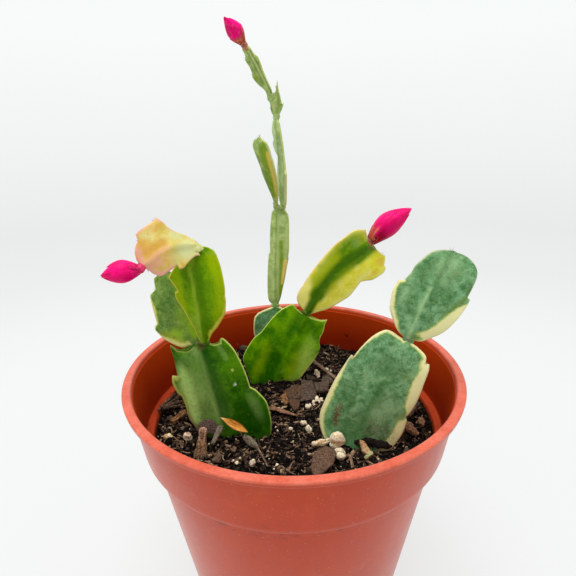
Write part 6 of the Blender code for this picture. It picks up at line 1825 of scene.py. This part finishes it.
for j in range(nv_ - 1):
    for i in range(nu_ - 1):
        p_ = j * nu_ + i
        f += [(p_, p_ + 1, p_ + nu_ + 1), (p_, p_ + nu_ + 1, p_ + nu_), (N_ + p_, N_ + p_ + nu_ + 1, N_ + p_ + 1),
              (N_ + p_, N_ + p_ + nu_, N_ + p_ + nu_ + 1)]
rim_ = [i for i in range(nu_)] + [j * nu_ + nu_ - 1 for j in range(1, nv_)] \
    + [(nv_ - 1) * nu_ + i for i in range(nu_ - 2, -1, -1)] + [j * nu_ for j in range(nv_ - 2, 0, -1)]
for i in range(len(rim_)):
    p_, q_ = rim_[i], rim_[(i + 1) % len(rim_)]
    f += [(q_, p_, N_ + p_), (q_, N_ + p_, N_ + q_)]
show(None, v, outward(v - v.mean(0), np.array(f)), dark_bark_and_shade, name="dark_bark_curl", sharp=50)


def fibre(a, direction, length, r, bend, rng):
    """Thin bent shred with a flattened section."""
    n = 5
    side = unit(np.cross(direction, (0.1, 0.2, 1.0)))
    upv = np.cross(side, direction)
    v = []
    for j in range(n):
        q = j / (n - 1)
        c = a + direction * length * (q - .5) + side * bend * math.sin(math.pi * q) + upv * .3 * bend * math.sin(2 * math.pi * q)
        rr = r * (1 - .55 * abs(2 * q - 1) ** 3)
        for t in range(4):
            w = math.pi / 2 * t + .5
            v.append(c + side * rr * 1.4 * math.cos(w) + upv * rr * .8 * math.sin(w))
    f = []
    for j in range(n - 1):
        for t in range(4):
            k = (t + 1) % 4
            p0, p1, p2, p3 = j * 4 + t, j * 4 + k, (j + 1) * 4 + k, (j + 1) * 4 + t
            f += [(p0, p1, p2), (p0, p2, p3)]
    f += [(0, 2, 1), (0, 3, 2), (n * 4 - 4, n * 4 - 3, n * 4 - 2), (n * 4 - 4, n * 4 - 2, n * 4 - 1)]
    return np.array(v), np.array(f)


def swarm(name, parts, mat, smooth=False):
    """Joins many small meshes (verts, tris, tone) into one piece."""
    vs, fs, ts, base = [], [], [], 0
    for v, f, t in parts:
        vs.append(v)
        fs.append(f + base)
        ts.append(np.full(len(v), t))
        base += len(v)
    return piece(name, np.vstack(vs), [np.vstack(fs)], mat, smooth=smooth, attrs={"m_tone": np.concatenate(ts)})


def onto(x, y, lift=0.0):
    return np.array([x, y, soil_z(np.array([float(x)]), np.array([float(y)]))[0] + lift])


crumb_mat = soil_material("potting_mix_crumbs", True)
rng = np.random.default_rng(7)
# rootlets that can be told apart: two ends on the soil, heights above it, radius, tone
ROOTLETS = [((-25.9, -8.4), (-23.6, -11.4), 3.2, 1.9, .22, .62), ((-22.9, -8.6), (-24.2, -11.2), 3.6, 1.8, .22, .62),
            ((-22.6, -11.6), (-20.4, -13.4), 2.0, .7, .22, .68), ((-37.8, -13.2), (-34.4, -15.1), .5, .4, .24, .72),
            ((-38.0, -12.2), (-36.9, -10.7), .5, .6, .2, .7), ((-5.2, -25.2), (1.2, -30.8), .7, .5, .22, .72),
            ((-28.2, -30.2), (-23.4, -33.4), .6, .6, .3, .5), ((20.4, -19.6), (24.4, -23.6), .7, .5, .26, .62),
            ((21.4, -19.0), (24.9, -22.6), .8, .6, .2, .55), ((-15.5, -22.2), (-10.2, -30.2), .6, .5, .22, .45),
            ((33.4, -8.8), (40.6, -14.2), .9, .5, .22, .5), ((6.4, 2.6), (9.6, .6), .6, .5, .24, .55),
            ((-5.4, -11.6), (-2.4, -14.6), .5, .6, .3, .42), ((12.4, -28.4), (18.2, -26.4), .6, .5, .25, .35)]
parts = []
for (x0, y0), (x1, y1), l0, l1, r, tone in ROOTLETS:
    a, b = onto(x0, y0, l0), onto(x1, y1, l1)
    v, f = fibre((a + b) / 2, unit(b - a), np.linalg.norm(b - a), r, .06 * np.linalg.norm(b - a), rng)
    parts.append((v, f, tone))
root_v = np.vstack([p[0] for p in parts])
swarm("soil_rootlets", parts, crumb_mat)

near = [c for v in SHOWN.values() for c in v[::2]] + list(root_v)
stems = []
for n in ("right_base_segment", "left_base_segment", "centre_base_segment", "back_base_segment"):
    co = [np.array(v.co) / MM for v in bpy.data.objects["look_" + n].data.vertices]
    stems += [c for c in co if 71 < c[2] < 84][::2]


def tree(points):
    t = KDTree(len(points))
    for i, c in enumerate(points):
        t.insert(Vector(c), i)
    t.balance()
    return t


kd, kd_stem = tree(near), tree(stems)


def scatter(rng, count, sizes, lift, clear):
    """Places on the soil, away from the wall, the stems and the larger pieces: (x, y, z, size)."""
    out = []
    for _ in range(count):
        s = sizes(rng)
        a, q = rng.uniform(0, 2 * math.pi), math.sqrt(rng.uniform(0, 1))
        er = np.interp(a, np.r_[th, 2 * math.pi], np.r_[edge_r, edge_r[0]])
        r = q * (er - .3 - s * .5)
        out.append((r * math.cos(a), r * math.sin(a), s))
    o = np.array(out)
    z = soil_z(o[:, 0], o[:, 1]) + lift * o[:, 2]
    keep = [i for i in range(len(o)) if kd.find((o[i, 0], o[i, 1], z[i]))[2] > clear * o[i, 2] + .12
            and kd_stem.find((o[i, 0], o[i, 1], z[i]))[2] > min(clear, .30) * o[i, 2] + .05]
    return np.column_stack([o[keep, 0], o[keep, 1], z[keep], o[keep, 2]])


def turns(rng, n, tilt=None):
    """Random rotation matrices; tilt limits how far the pieces lean, in radians."""
    out = np.empty((n, 3, 3))
    for i in range(n):
        a = rng.uniform(0, 2 * math.pi)
        if tilt is None:
            q = rng.normal(size=4)
            q /= np.linalg.norm(q)
            w, x, y, z = q
            out[i] = [[1 - 2 * (y * y + z * z), 2 * (x * y - z * w), 2 * (x * z + y * w)],
                      [2 * (x * y + z * w), 1 - 2 * (x * x + z * z), 2 * (y * z - x * w)],
                      [2 * (x * z - y * w), 2 * (y * z + x * w), 1 - 2 * (x * x + y * y)]]
        else:
            b, c = rng.normal(0, tilt), rng.normal(0, tilt)
            rz = np.array([[math.cos(a), -math.sin(a), 0], [math.sin(a), math.cos(a), 0], [0, 0, 1]])
            ry = np.array([[math.cos(b), 0, math.sin(b)], [0, 1, 0], [-math.sin(b), 0, math.cos(b)]])
            rx = np.array([[1, 0, 0], [0, math.cos(c), -math.sin(c)], [0, math.sin(c), math.cos(c)]])
            out[i] = rz @ ry @ rx
    return out


def ico(sub):
    bm = bmesh.new()
    bmesh.ops.create_icosphere(bm, subdivisions=sub, radius=1.0)
    v = np.array([p.co[:] for p in bm.verts])
    f = np.array([[p.index for p in g.verts] for g in bm.faces])
    bm.free()
    return v, f


def tone_of(g, dark=.45, mid=.35):
    p = g.uniform()
    if p < dark:
        return g.uniform(.02, .26)
    if p < dark + mid:
        return g.uniform(.32, .62)
    return g.uniform(.62, 1.0)


iv1, it1 = ico(1)
iv2, it2 = ico(2)
# lumps
parts = []
pts = scatter(rng, 520, lambda g: float(np.clip(g.lognormal(.62, .3), 1.1, 3.4)), .10, .34)
rot = turns(rng, len(pts))
for i, (x, y, z, s) in enumerate(pts):
    d = (1 + .38 * noise3(iv2 * 1.1 + i * 5.7, .9, 621))[:, None]
    ax_ = np.array([rng.uniform(.8, 1.2), rng.uniform(.55, .9), rng.uniform(.4, .7)])
    parts.append(((iv2 * d * ax_ * s * .55) @ rot[i].T + (x, y, z), it2, rng.uniform(.06, .5)))
swarm("soil_lumps", parts, crumb_mat)
# crumbs
parts = []
pts = scatter(rng, 4200, lambda g: float(np.clip(g.lognormal(-.42, .40), .3, 1.6)), .30, .5)
rot = turns(rng, len(pts))
for i, (x, y, z, s) in enumerate(pts):
    d = rng.uniform(.62, 1.25, len(iv1))[:, None]
    ax_ = np.array([rng.uniform(.6, 1.25), rng.uniform(.5, 1.0), rng.uniform(.4, .8)])
    parts.append(((iv1 * d * ax_ * s * .6) @ rot[i].T + (x, y, z), it1, tone_of(rng, .5, .34)))
swarm("soil_crumbs", parts, crumb_mat)
# shreds of bark: angular, tapered, lying every way
box_f = np.array([(0, 2, 1), (0, 3, 2), (4, 5, 6), (4, 6, 7), (0, 1, 5), (0, 5, 4), (1, 2, 6), (1, 6, 5), (2, 3, 7), (2, 7, 6),
                  (3, 0, 4), (3, 4, 7)])
parts = []
pts = scatter(rng, 5200, lambda g: float(np.clip(g.lognormal(.18, .55), .5, 6.5)), .0, .26)
rot = turns(rng, len(pts), .42)
for i, (x, y, z, s) in enumerate(pts):
    w = min(s * rng.uniform(.16, .5), rng.uniform(.35, 1.5))
    t = max(.12, w * rng.uniform(.22, .6))
    e = rng.uniform(.25, 1.0, 2)
    c = np.array([(-s / 2, -w / 2 * e[0], -t / 2), (s / 2, -w / 2 * e[1], -t / 2), (s / 2, w / 2 * e[1], -t / 2),
                  (-s / 2, w / 2 * e[0], -t / 2), (-s / 2, -w / 2 * e[0], t / 2), (s / 2, -w / 2 * e[1], t / 2),
                  (s / 2, w / 2 * e[1], t / 2), (-s / 2, w / 2 * e[0], t / 2)])
    c = c + rng.normal(0, 1, (8, 3)) * [.10 * s, .14 * w, .12 * t]
    v = c @ rot[i].T + (x, y, z + .28 + t / 2)
    if np.hypot(v[:, 0], v[:, 1]).max() > 46.2 or v[:, 2].max() > 83:
        continue
    parts.append((v, box_f, tone_of(rng, .36, .38)))
swarm("soil_shreds", parts, crumb_mat)
# fibres
parts = []
pts = scatter(rng, 1300, lambda g: float(np.clip(g.lognormal(.75, .5), .9, 7.5)), .0, .10)
for x, y, z, s in pts:
    a = rng.uniform(0, 2 * math.pi)
    d = unit((math.cos(a), math.sin(a), rng.normal(0, .26)))
    v, f = fibre(np.array([x, y, z + .5]), d, s, rng.uniform(.06, .15), rng.normal(0, .12) * s, rng)
    if np.hypot(v[:, 0], v[:, 1]).max() > 46.2 or v[:, 2].max() > 84:
        continue
    parts.append((v, f, float(rng.uniform(.3, 1.0))))
swarm("soil_fibres", parts, crumb_mat)
# flakes
parts = []
pts = scatter(rng, 430, lambda g: float(np.clip(g.lognormal(.85, .35), 1.4, 4.6)), .02, .36)
rot = turns(rng, len(pts), .4)
for i, (x, y, z, s) in enumerate(pts):
    n_ = int(rng.integers(4, 7))
    angs = (np.arange(n_) + rng.uniform(-.3, .3, n_)) * 2 * math.pi / n_
    rad_ = rng.uniform(.65, 1.0, n_)
    o = np.stack([rad_ * np.cos(angs) * s / 2, rad_ * np.sin(angs) * s / 2 * rng.uniform(.45, .8)], 1)
    tk = rng.uniform(.25, .55)
    v = np.vstack([np.column_stack([o * .92, np.full(n_, -tk / 2)]), np.column_stack([o, np.full(n_, tk * .3)]),
                   np.column_stack([o * .9, np.full(n_, tk / 2)]), [[0, 0, -tk / 2], [0, 0, tk * .62]]])
    f = []
    for l in range(2):
        for q in range(n_):
            k = (q + 1) % n_
            f += [(l * n_ + q, l * n_ + k, (l + 1) * n_ + k), (l * n_ + q, (l + 1) * n_ + k, (l + 1) * n_ + q)]
    for q in range(n_):
        k = (q + 1) % n_
        f += [(3 * n_, k, q), (3 * n_ + 1, 2 * n_ + q, 2 * n_ + k)]
    v = v @ rot[i].T + (x, y, z + .45)
    if np.hypot(v[:, 0], v[:, 1]).max() > 46.2:
        continue
    parts.append((v, np.array(f), float(rng.uniform(.2, .74))))
swarm("soil_flakes", parts, crumb_mat)
# perlite crumbs: x, y, size
SPECKS = [(-20.1, -12.8, 1.1), (-21.0, -13.0, .6), (8.2, 4.9, 2.0), (9.6, 5.8, 1.6), (6.9, 3.6, 1.5), (4.7, .9, 1.7), (5.6, 2.0, 1.1),
          (9.0, 20.4, 1.7), (9.6, 19.0, 1.3), (13.0, 22.4, 1.2), (-2.3, -15.0, .8), (-.6, -15.6, .6), (-20.1, -13.6, .9), (-17.8, -15.4, .5), (-26.0, -15.6, .55), (-29.3, -23.5, .5),
          (-16.6, -24.5, 1.0), (-15.8, -23.1, .8), (-17.8, -23.7, .9), (-17.2, -22.6, .6), (-12.3, -24.8, 1.3),
          (-5.2, -25.6, .9), (-7.5, -22.6, .5), (-6.0, -27.3, .7), (-3.8, -29.2, .45), (7.0, 2.2, 1.0), (8.8, 3.9, 1.3),
          (9.9, 5.2, 1.0), (7.8, 3.2, .8), (4.8, .8, 1.0), (9.1, 22.0, 1.2), (9.7, 19.6, 1.3), (14.6, 21.7, 1.0),
          (13.2, 20.9, .6), (-1.1, -9.2, 1.1), (-5.9, -8.9, .6), (-5.3, -10.7, .65), (-3.9, 7.9, .6), (2.8, 16.0, .7),
          (-41.8, -8.5, .5), (-39.8, -8.7, .5), (-40.8, -13.3, .45), (-37.5, -17.5, .7), (22, -27.5, .6), (27.0, -25.0, .5),
          (36.5, -19, .5), (31.0, -17.4, .6), (32.4, -18.2, .5), (29.4, -19.6, .7), (39.4, -11.6, .5), (15.2, 15.0, .6),
          (16.6, 24.6, .6), (20.4, 27.6, .5), (24.6, 30.2, .5), (12.8, -26.4, .5), (16.2, -29.6, .55), (1.8, -20.9, .4)]
parts = []
pts = scatter(rng, 95, lambda g: float(np.clip(g.lognormal(-1.0, .35), .2, .7)), .45, .5)
ex = np.array([(x, y, onto(x, y)[2] + .45 * s, s) for x, y, s in SPECKS])
pts = np.vstack([pts, ex])
rot = turns(rng, len(pts))
for i, (x, y, z, s) in enumerate(pts):
    q = iv2 * (1 + .34 * noise3(iv2 * 1.0 + i * 3.1, .8, 611))[:, None]
    ax_ = np.array([rng.uniform(.8, 1.25), rng.uniform(.6, 1.0), rng.uniform(.6, .95)])
    parts.append(((q * ax_ * s * .58) @ rot[i].T + (x, y, z + .12), it2, .9))
swarm("soil_perlite_specks", parts, perlite_mat, smooth=True)


# ================================================================ flower buds
def bud_frame(spec):
    a, b, bow = (np.array(spec[k], float) for k in ("neck", "tip", "bow"))
    axis = unit(b - a)
    view = np.array([0, -1.0, .35])
    side = unit(np.cross(axis, view))
    up = np.cross(side, axis)
    if up @ view < 0:
        side, up = -side, -up
    return a, b, bow, axis, side, up


def bud_radius(t, r, widest, base=.34, point=2.05):
    """Plump spindle: a narrow neck, fullest at widest, and a pointed tip (a lower point makes it sharper)."""
    t = np.clip(t, 0, 1)
    low = base + (1 - base) * np.sin(np.clip(t / widest, 0, 1) * math.pi / 2) ** 1.05
    high = np.clip(1 - (np.clip(t - widest, 0, None) / (1 - widest)) ** point, 0, 1) ** (.82 + .3 * max(0, 2.05 - point))
    return r * np.where(t < widest, low, high)


class Bud:
    def __init__(self, spec, flat=1.0):
        self.a, self.b, self.bow, self.axis, self.side, self.up = bud_frame(spec)
        self.r, self.widest, self.flat, self.point = spec["r"], spec["widest"], flat, spec.get("point", 2.05)
        self.ridge, self.ridge_at, self.base = spec.get("ridge", 0.0), spec.get("ridge_at", 0.0), spec.get("base", .34)

    def at(self, t, ang, off=0.0, bow=True):
        t, ang, off = np.broadcast_arrays(np.asarray(t, float), np.asarray(ang, float), np.asarray(off, float))
        c = self.a + (self.b - self.a) * t[..., None] + self.bow * (4 * t * (1 - t))[..., None]
        r = bud_radius(t, self.r, self.widest, self.base, self.point)
        # three blunt ridges run along the closed bud
        r = r * (1 + self.ridge * (.45 - np.abs(np.sin(1.5 * (ang - self.ridge_at))))) + off
        return c + (self.side * np.cos(ang)[..., None] + self.up * np.sin(ang)[..., None] * self.flat) * r[..., None]


def tepal(bud, ang, half, t0, t1, lift, thick, tip_pow=1.0, curl=0.0, twist=0.0, nu=13, nv=15):
    """One bud leaf lying on the spindle: a thin pointed sheet, closed, with its edges pressed to the surface."""
    s = np.linspace(0, 1, nv)[:, None]
    w = np.linspace(-1, 1, nu)[None, :]
    width = np.clip(1 - s ** (2.2 * tip_pow), 0, 1) ** .75 * (.55 + .45 * ease(s / .45))
    width = np.maximum(width, .015)
    a = ang + half * w * width + twist * s
    t = t0 + (t1 - t0) * s + 0 * w
    # midrib pushes outward; the rim lies close
    rise = lift * (1 - .55 * np.abs(w) ** 2.2) * ease(s / .06) + curl * s ** 3
    top = bud.at(t, a, rise + thick * np.clip(1 - np.abs(w) ** 6, 0, 1))
    bot = bud.at(t, a, rise - thick * .5)
    v = np.vstack([top.reshape(-1, 3), bot.reshape(-1, 3)])
    n = nu * nv
    f = []
    for j in range(nv - 1):
        for i in range(nu - 1):
            p = j * nu + i
            f.append((p, p + 1, p + nu + 1, p + nu))
            f.append((n + p, n + p + nu, n + p + nu + 1, n + p + 1))
    rim = [i for i in range(nu)] + [j * nu + nu - 1 for j in range(1, nv)] + [(nv - 1) * nu + i for i in range(nu - 2, -1, -1)] \
        + [j * nu for j in range(nv - 2, 0, -1)]
    for i in range(len(rim)):
        p, q = rim[i], rim[(i + 1) % len(rim)]
        f.append((q, p, n + p, n + q))
    along = np.tile(t.ravel(), 2)
    side = np.tile((np.abs(w) + 0 * s).ravel(), 2)
    own = np.tile((s + 0 * w).ravel(), 2)
    return v, np.array(f), along, side, own, np.tile(a.ravel(), 2)


def bud_faces(ang, along, spec):
    """Masks of the underside, which takes painted shade, and of the tan flank at the foot."""
    if not spec.get("ridge"):
        return {}
    d = np.angle(np.exp(1j * (ang - spec["ridge_at"])))
    low = ease((.10 - d) / .30) * ease((d + 2.0) / .4)
    tan = ease((d - .34) / .16) * ease((1.75 - d) / .3) * ease((.25 - along) / .09)
    line = np.exp(-((d - .27) / .10) ** 2) * ease((.29 - along) / .08)
    return {"m_shade_low": low, "m_tan": tan, "m_line": line}


def bud_piece(name, spec, layers, base_end, mat, seed):
    bud = Bud(spec)
    g = np.random.default_rng(seed)
    vs, fs, ts, al, sd, kd_, on, an, base = [], [], [], [], [], [], [], [], 0
    nt, na = 40, 40
    t = np.linspace(0, 1, nt)[:, None]
    a = (2 * math.pi * np.arange(na) / na)[None, :]
    pts = bud.at(t, a, -.06)
    v = np.vstack([pts.reshape(-1, 3)])
    v = np.vstack([v, [bud.a], [bud.b]])
    q = []
    for j in range(nt - 1):
        for i in range(na):
            k = (i + 1) % na
            q.append((j * na + i, j * na + k, (j + 1) * na + k, (j + 1) * na + i))
    tr = [(nt * na, (i + 1) % na, i) for i in range(na)] + [(nt * na + 1, (nt - 1) * na + i, (nt - 1) * na + (i + 1) % na)
                                                         for i in range(na)]
    vs.append(v)
    fs.append(np.array(q))
    ts.append(np.array(tr))
    al.append(np.r_[np.repeat(t.ravel(), na), 0, 1])
    sd.append(np.zeros(len(v)))
    on.append(np.full(len(v), .5))
    kd_.append(np.zeros(len(v)))
    an.append(np.r_[np.tile(a.ravel(), nt), 0, 0])
    base = len(v)
    for kind, ang, half, t0, t1, lift, curl in layers:
        v, f, along, side, own, turn = tepal(bud, ang, half, t0, t1, lift, .10, 1.25 if kind else 1.0, curl,
                                       twist=g.uniform(-.12, .12))
        vs.append(v)
        fs.append(f + base)
        al.append(along)
        sd.append(side)
        on.append(own)
        an.append(turn)
        kd_.append(np.full(len(v), float(kind)))
        base += len(v)
    v = np.vstack(vs)
    v = v + unit(bud.up) * (.05 * noise3(v, 1.6, seed + 3))[:, None]
    # the piece takes its place from the CAD node's box
    lo, hi = (np.array(c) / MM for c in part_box(name))
    v = v + ((lo + hi) / 2 - (v.min(0) + v.max(0)) / 2) * .5
    ob = piece("look_" + name, v, [np.vstack(fs), ts[0]], mat, [name],
               attrs={"m_along": np.concatenate(al), "m_side": np.concatenate(sd), "m_kind": np.concatenate(kd_),
                      "m_own": np.concatenate(on), **bud_faces(np.concatenate(an), np.concatenate(al), spec)}, sharp=50)
    return ob


def bud_material(name, pink, deep, pale, base, base_end, pale_amount=.3, tan=srgb(206, 138, 88), faces=False):
    k = Mat(name)
    along, side, kind, own = k.attr("m_along"), k.attr("m_side"), k.attr("m_kind"), k.attr("m_own")
    vein = k.noise(.55, 3, .6, .2)
    soft = k.noise(2.6, 3, .6)
    col = k.mix(k.remap(soft, .36, .66, smooth=True), deep, pink)
    col = k.mix(k.math("MULTIPLY", k.remap(k.noise(1.1, 4, .7), .52, .68, smooth=True), pale_amount), col, pale)
    # darker rims of the tepals: painted shade along the edges where they lie on one another; the midrib stays paler
    rim = k.math("MULTIPLY", k.remap(side, .80, 1.0, smooth=True), .35)
    col = k.mix(rim, col, deep)
    if faces:
        # painted shade: the underside, turned away from the light, is coloured deeper crimson, darkest towards the foot
        low = k.attr("m_shade_low")
        col = k.mix(k.math("MULTIPLY", low, .55), col, srgb(222, 0, 92))
        under = k.math("MULTIPLY", low, k.remap(k.math("ADD", along, k.math("MULTIPLY", k.math("SUBTRACT", k.noise(1.6, 3, .6), .5), .12)),
                                                .36, .20, smooth=True))
        col = k.mix(k.math("MULTIPLY", under, .8), col, srgb(166, 10, 40))
    tip = k.remap(along, .90, 1.0, smooth=True)
    col = k.mix(k.math("MULTIPLY", tip, .55), col, deep)
    jag = k.math("ADD", along, k.math("MULTIPLY", k.math("SUBTRACT", k.noise(1.3, 3, .6), .5), .16))
    foot = k.remap(jag, base_end, base_end * .55, smooth=True)
    col = k.mix(foot, col, base)
    scale = k.math("MULTIPLY", kind, k.remap(own, 1.0, .55, .35, 1.0))
    brown = k.ramp(k.noise(.8, 4, .65), [(.32, tuple(c * .45 for c in base)), (.5, base), (.68, tan)])
    col = k.mix(scale, col, brown)
    neck = k.remap(along, .05, .0, smooth=True)
    col = k.mix(k.math("MULTIPLY", neck, .7), col, tuple(.5 * a_ + .5 * b_ for a_, b_ in zip(base, srgb(108, 84, 58))))
    if faces:
        flank = k.math("MULTIPLY", k.attr("m_tan"), k.remap(k.noise(.9, 3, .6), .30, .56, .35, .95))
        col = k.mix(flank, col, srgb(192, 78, 52))
        col = k.mix(k.math("MULTIPLY", k.attr("m_line"), .7), col, srgb(244, 150, 96))
    h = k.math("ADD", k.noise(.22, 2, .6), k.math("MULTIPLY", vein, .8))
    k.set(color=col, rough=.42, normal=k.bump(h, .10, .6), sss=.10, sss_scale=.0010, ior=1.42, spec=.14)
    k.b.inputs["Subsurface Radius"].default_value = (1.0, .25, .5)
    return k.m


RIGHT_SIDE = -.4
pinks = dict(pink=srgb(252, 0, 120), deep=srgb(222, 0, 96), pale=srgb(255, 40, 150), pale_amount=.12)
left_mat = bud_material("bud_pink_left", **pinks, base=srgb(206, 16, 92), base_end=.17, tan=srgb(232, 60, 120))
centre_mat = bud_material("bud_pink_centre", **pinks, base=srgb(172, 18, 52), base_end=.14, faces=True)
back_mat = bud_material("bud_pink_back", srgb(255, 0, 130), srgb(216, 0, 92), srgb(240, 130, 190), srgb(188, 76, 58), .33, pale_amount=.30)
# kind (0 tepal, 1 scale), angle round the axis, half width, start, end, lift, curl
bud_piece("left_bud", {**BUDS["left_bud"], "point": 1.75}, [
    (0, 1.25, 1.15, .02, .99, .10, 0), (0, 3.2, 1.1, .02, .985, .12, 0), (0, -1.1, 1.15, .02, .98, .12, 0),
    (0, 2.2, .85, .0, .84, .24, .04), (0, .35, .8, .0, .80, .24, .04), (0, 4.4, .8, .0, .78, .22, .03),
    (1, 1.3, .62, -.02, .27, .34, .05), (1, 2.7, .55, -.02, .22, .34, .06), (1, -.3, .6, -.02, .24, .34, .05),
    (1, 4.3, .6, -.02, .24, .34, .05)], .2, left_mat, 911)
bud_piece("centre_bud", {**BUDS["centre_bud"], "point": 1.6, "r": BUDS["centre_bud"]["r"] * .99, "ridge": .13, "ridge_at": 1.62, "base": .42}, [
    (0, 1.35, 1.2, .02, .99, .10, 0), (0, 3.3, 1.1, .02, .985, .12, 0), (0, -1.0, 1.15, .02, .98, .12, 0),
    (0, 2.35, .85, .0, .72, .30, .03), (0, .35, .9, .0, .88, .26, .04), (0, 4.4, .8, .0, .80, .24, .03),
    (1, 2.3, .48, -.02, .24, .40, .05), (1, 3.6, .55, -.02, .20, .34, .06), (1, 1.2, .55, -.02, .15, .30, .0),
    (1, -.3, .5, -.02, .14, .34, .0), (1, 4.9, .5, -.02, .16, .34, .0)], .2, centre_mat, 921)
bud_piece("back_bud", {**BUDS["back_bud"], "point": 1.4, "widest": .44}, [
    (0, 1.25, 1.15, .1, .99, .08, 0), (0, 3.2, 1.1, .1, .985, .09, 0), (0, -1.1, 1.15, .1, .98, .09, 0),
    (0, .55, .75, .10, .86, .16, .02), (0, 2.2, .8, .05, .82, .18, .02), (0, 4.4, .8, .05, .80, .16, .02),
    (1, 1.1, .55, -.02, .42, .24, .02), (1, .1, .5, -.02, .46, .24, .03), (1, 2.2, .55, -.02, .36, .24, .02),
    (1, 3.3, .5, -.02, .36, .24, .02), (1, 4.3, .5, -.02, .38, .24, .02), (1, 5.3, .5, -.02, .40, .24, .02)], .3, back_mat, 931)


# ================================================================ camera, light and stage
GLOW = (srgb(226, 228, 227), srgb(223, 225, 224), srgb(232, 235, 234), srgb(245, 248, 247))
FRONT_DIM = .75
PITCH, ROLL = math.radians(19.2753), math.radians(-.9294)
right = Vector((1, 0, 0))
upv = Vector((0, math.sin(PITCH), math.cos(PITCH)))
fwd = Vector((0, math.cos(PITCH), -math.sin(PITCH)))
cam_x = right * math.cos(ROLL) + upv * math.sin(ROLL)
cam_y = -right * math.sin(ROLL) + upv * math.cos(ROLL)
rot = Matrix((cam_x, cam_y, -fwd)).transposed().to_4x4()
cam_data = bpy.data.cameras.new("camera")
cam_data.sensor_width, cam_data.lens = 36.0, 27.684
cam_data.clip_start, cam_data.clip_end = .005, 10
cam = bpy.data.objects.new("camera", cam_data)
cam.matrix_world = Matrix.Translation(Vector((-.001263, -.127242, .161964))) @ rot
bpy.context.scene.collection.objects.link(cam)
bpy.context.scene.camera = cam
bpy.context.scene.view_settings.view_transform = "Standard"
bpy.context.scene.view_settings.look = "None"


def area(name, at, look, size, power, color=(1, 1, 1), size_y=None, spread=None):
    data = bpy.data.lights.new(name, "AREA")
    data.shape = "RECTANGLE"
    data.size, data.size_y = size, size_y or size
    data.energy, data.color = power, color
    if spread:
        data.spread = math.radians(spread)
    ob = bpy.data.objects.new(name, data)
    ob.location = Vector(at)
    ob.rotation_euler = (Vector(look) - Vector(at)).to_track_quat("-Z", "Y").to_euler()
    bpy.context.scene.collection.objects.link(ob)
    return ob


area("key", (-.10, -.12, .95), (0, 0, .1), .55, KEY)
area("front", (.05, -.85, .50), (0, 0, .1), .50, FRONT, (1.0, .99, .97))
area("left", (-.62, -.25, .45), (0, 0, .1), .35, LEFT, (.98, .99, 1.0))
area("right", (.62, -.15, .40), (0, 0, .1), .35, RIGHT)

world = bpy.data.worlds.new("studio")
bpy.context.scene.world = world
world.use_nodes = True
bg = world.node_tree.nodes["Background"]
bg.inputs[0].default_value = (*srgb(244, 247, 246), 1)
bg.inputs[1].default_value = WORLD


def stage_material():
    k = Mat("studio_paper")
    for n in list(k.t.nodes):
        if n.type == "BSDF_PRINCIPLED":
            k.t.nodes.remove(n)
    d = k.t.nodes.new("ShaderNodeBsdfDiffuse")
    e = k.t.nodes.new("ShaderNodeEmission")
    m = k.t.nodes.new("ShaderNodeMixShader")
    s = k.sep()
    wide = k.noise(300, 2, .5)
    col = k.mix(k.remap(wide, .3, .7), srgb(245, 248, 247), srgb(250, 251, 250))
    # painted shade: the glowing wall is a touch darker just above the floor's far edge
    z = s[2]
    glow = k.ramp(k.remap(z, 0.0, .5), [(0.0, GLOW[0]), (.05, GLOW[1]), (.24, GLOW[2]), (.66, GLOW[3]), (1.0, GLOW[3])])
    reach = k.math("SQRT", k.math("ADD", k.math("MULTIPLY", s[0], s[0]), k.math("MULTIPLY", s[1], s[1])))
    near = k.remap(reach, .50, .20, smooth=True)
    glow = k.mix(near, glow, srgb(235, 237, 236))
    # the room in front of the table is dimmer than the paper behind it
    front = k.math("MULTIPLY", k.remap(k.math("DIVIDE", s[1], k.math("SQRT", k.math("ADD", k.math("MULTIPLY", s[0], s[0]),
                   k.math("MULTIPLY", s[1], s[1])))), -.35, -.95, smooth=True), k.remap(z, .02, .2, smooth=True))
    glow = k.mix(k.math("MULTIPLY", front, FRONT_DIM), glow, srgb(96, 96, 98))
    k.t.links.new(col, d.inputs[0])
    k.t.links.new(glow, e.inputs[0])
    e.inputs[1].default_value = 1.0
    m.inputs[0].default_value = STAGE_EMIT
    k.t.links.new(d.outputs[0], m.inputs[1])
    k.t.links.new(e.outputs[0], m.inputs[2])
    k.t.links.new(m.outputs[0], k.out.inputs[0])
    return k.m


# a round studio bowl: flat floor, a wide sweep, then a wall
prof = [(0, 0)] + [(.05 * i, 0) for i in range(1, 11)]
prof += [(.5 + .35 * math.sin(a), .35 - .35 * math.cos(a)) for a in np.linspace(0, math.pi / 2, 25)[1:]]
prof += [(.85, z) for z in (.5, .7, .9, 1.15)]
sv, sf = lathe([(r / MM, z / MM) for r, z in prof], 128)
me = bpy.data.meshes.new("studio_floor")
me.from_pydata([tuple(c * MM for c in v) for v in sv], [], [tuple(int(i) for i in q[::-1]) for f in sf for q in f])
me.shade_smooth()
me.materials.append(stage_material())
floor_ob = bpy.data.objects.new("studio_floor", me)
bpy.context.scene.collection.objects.link(floor_ob)
floor_ob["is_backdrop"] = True

lo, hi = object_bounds()
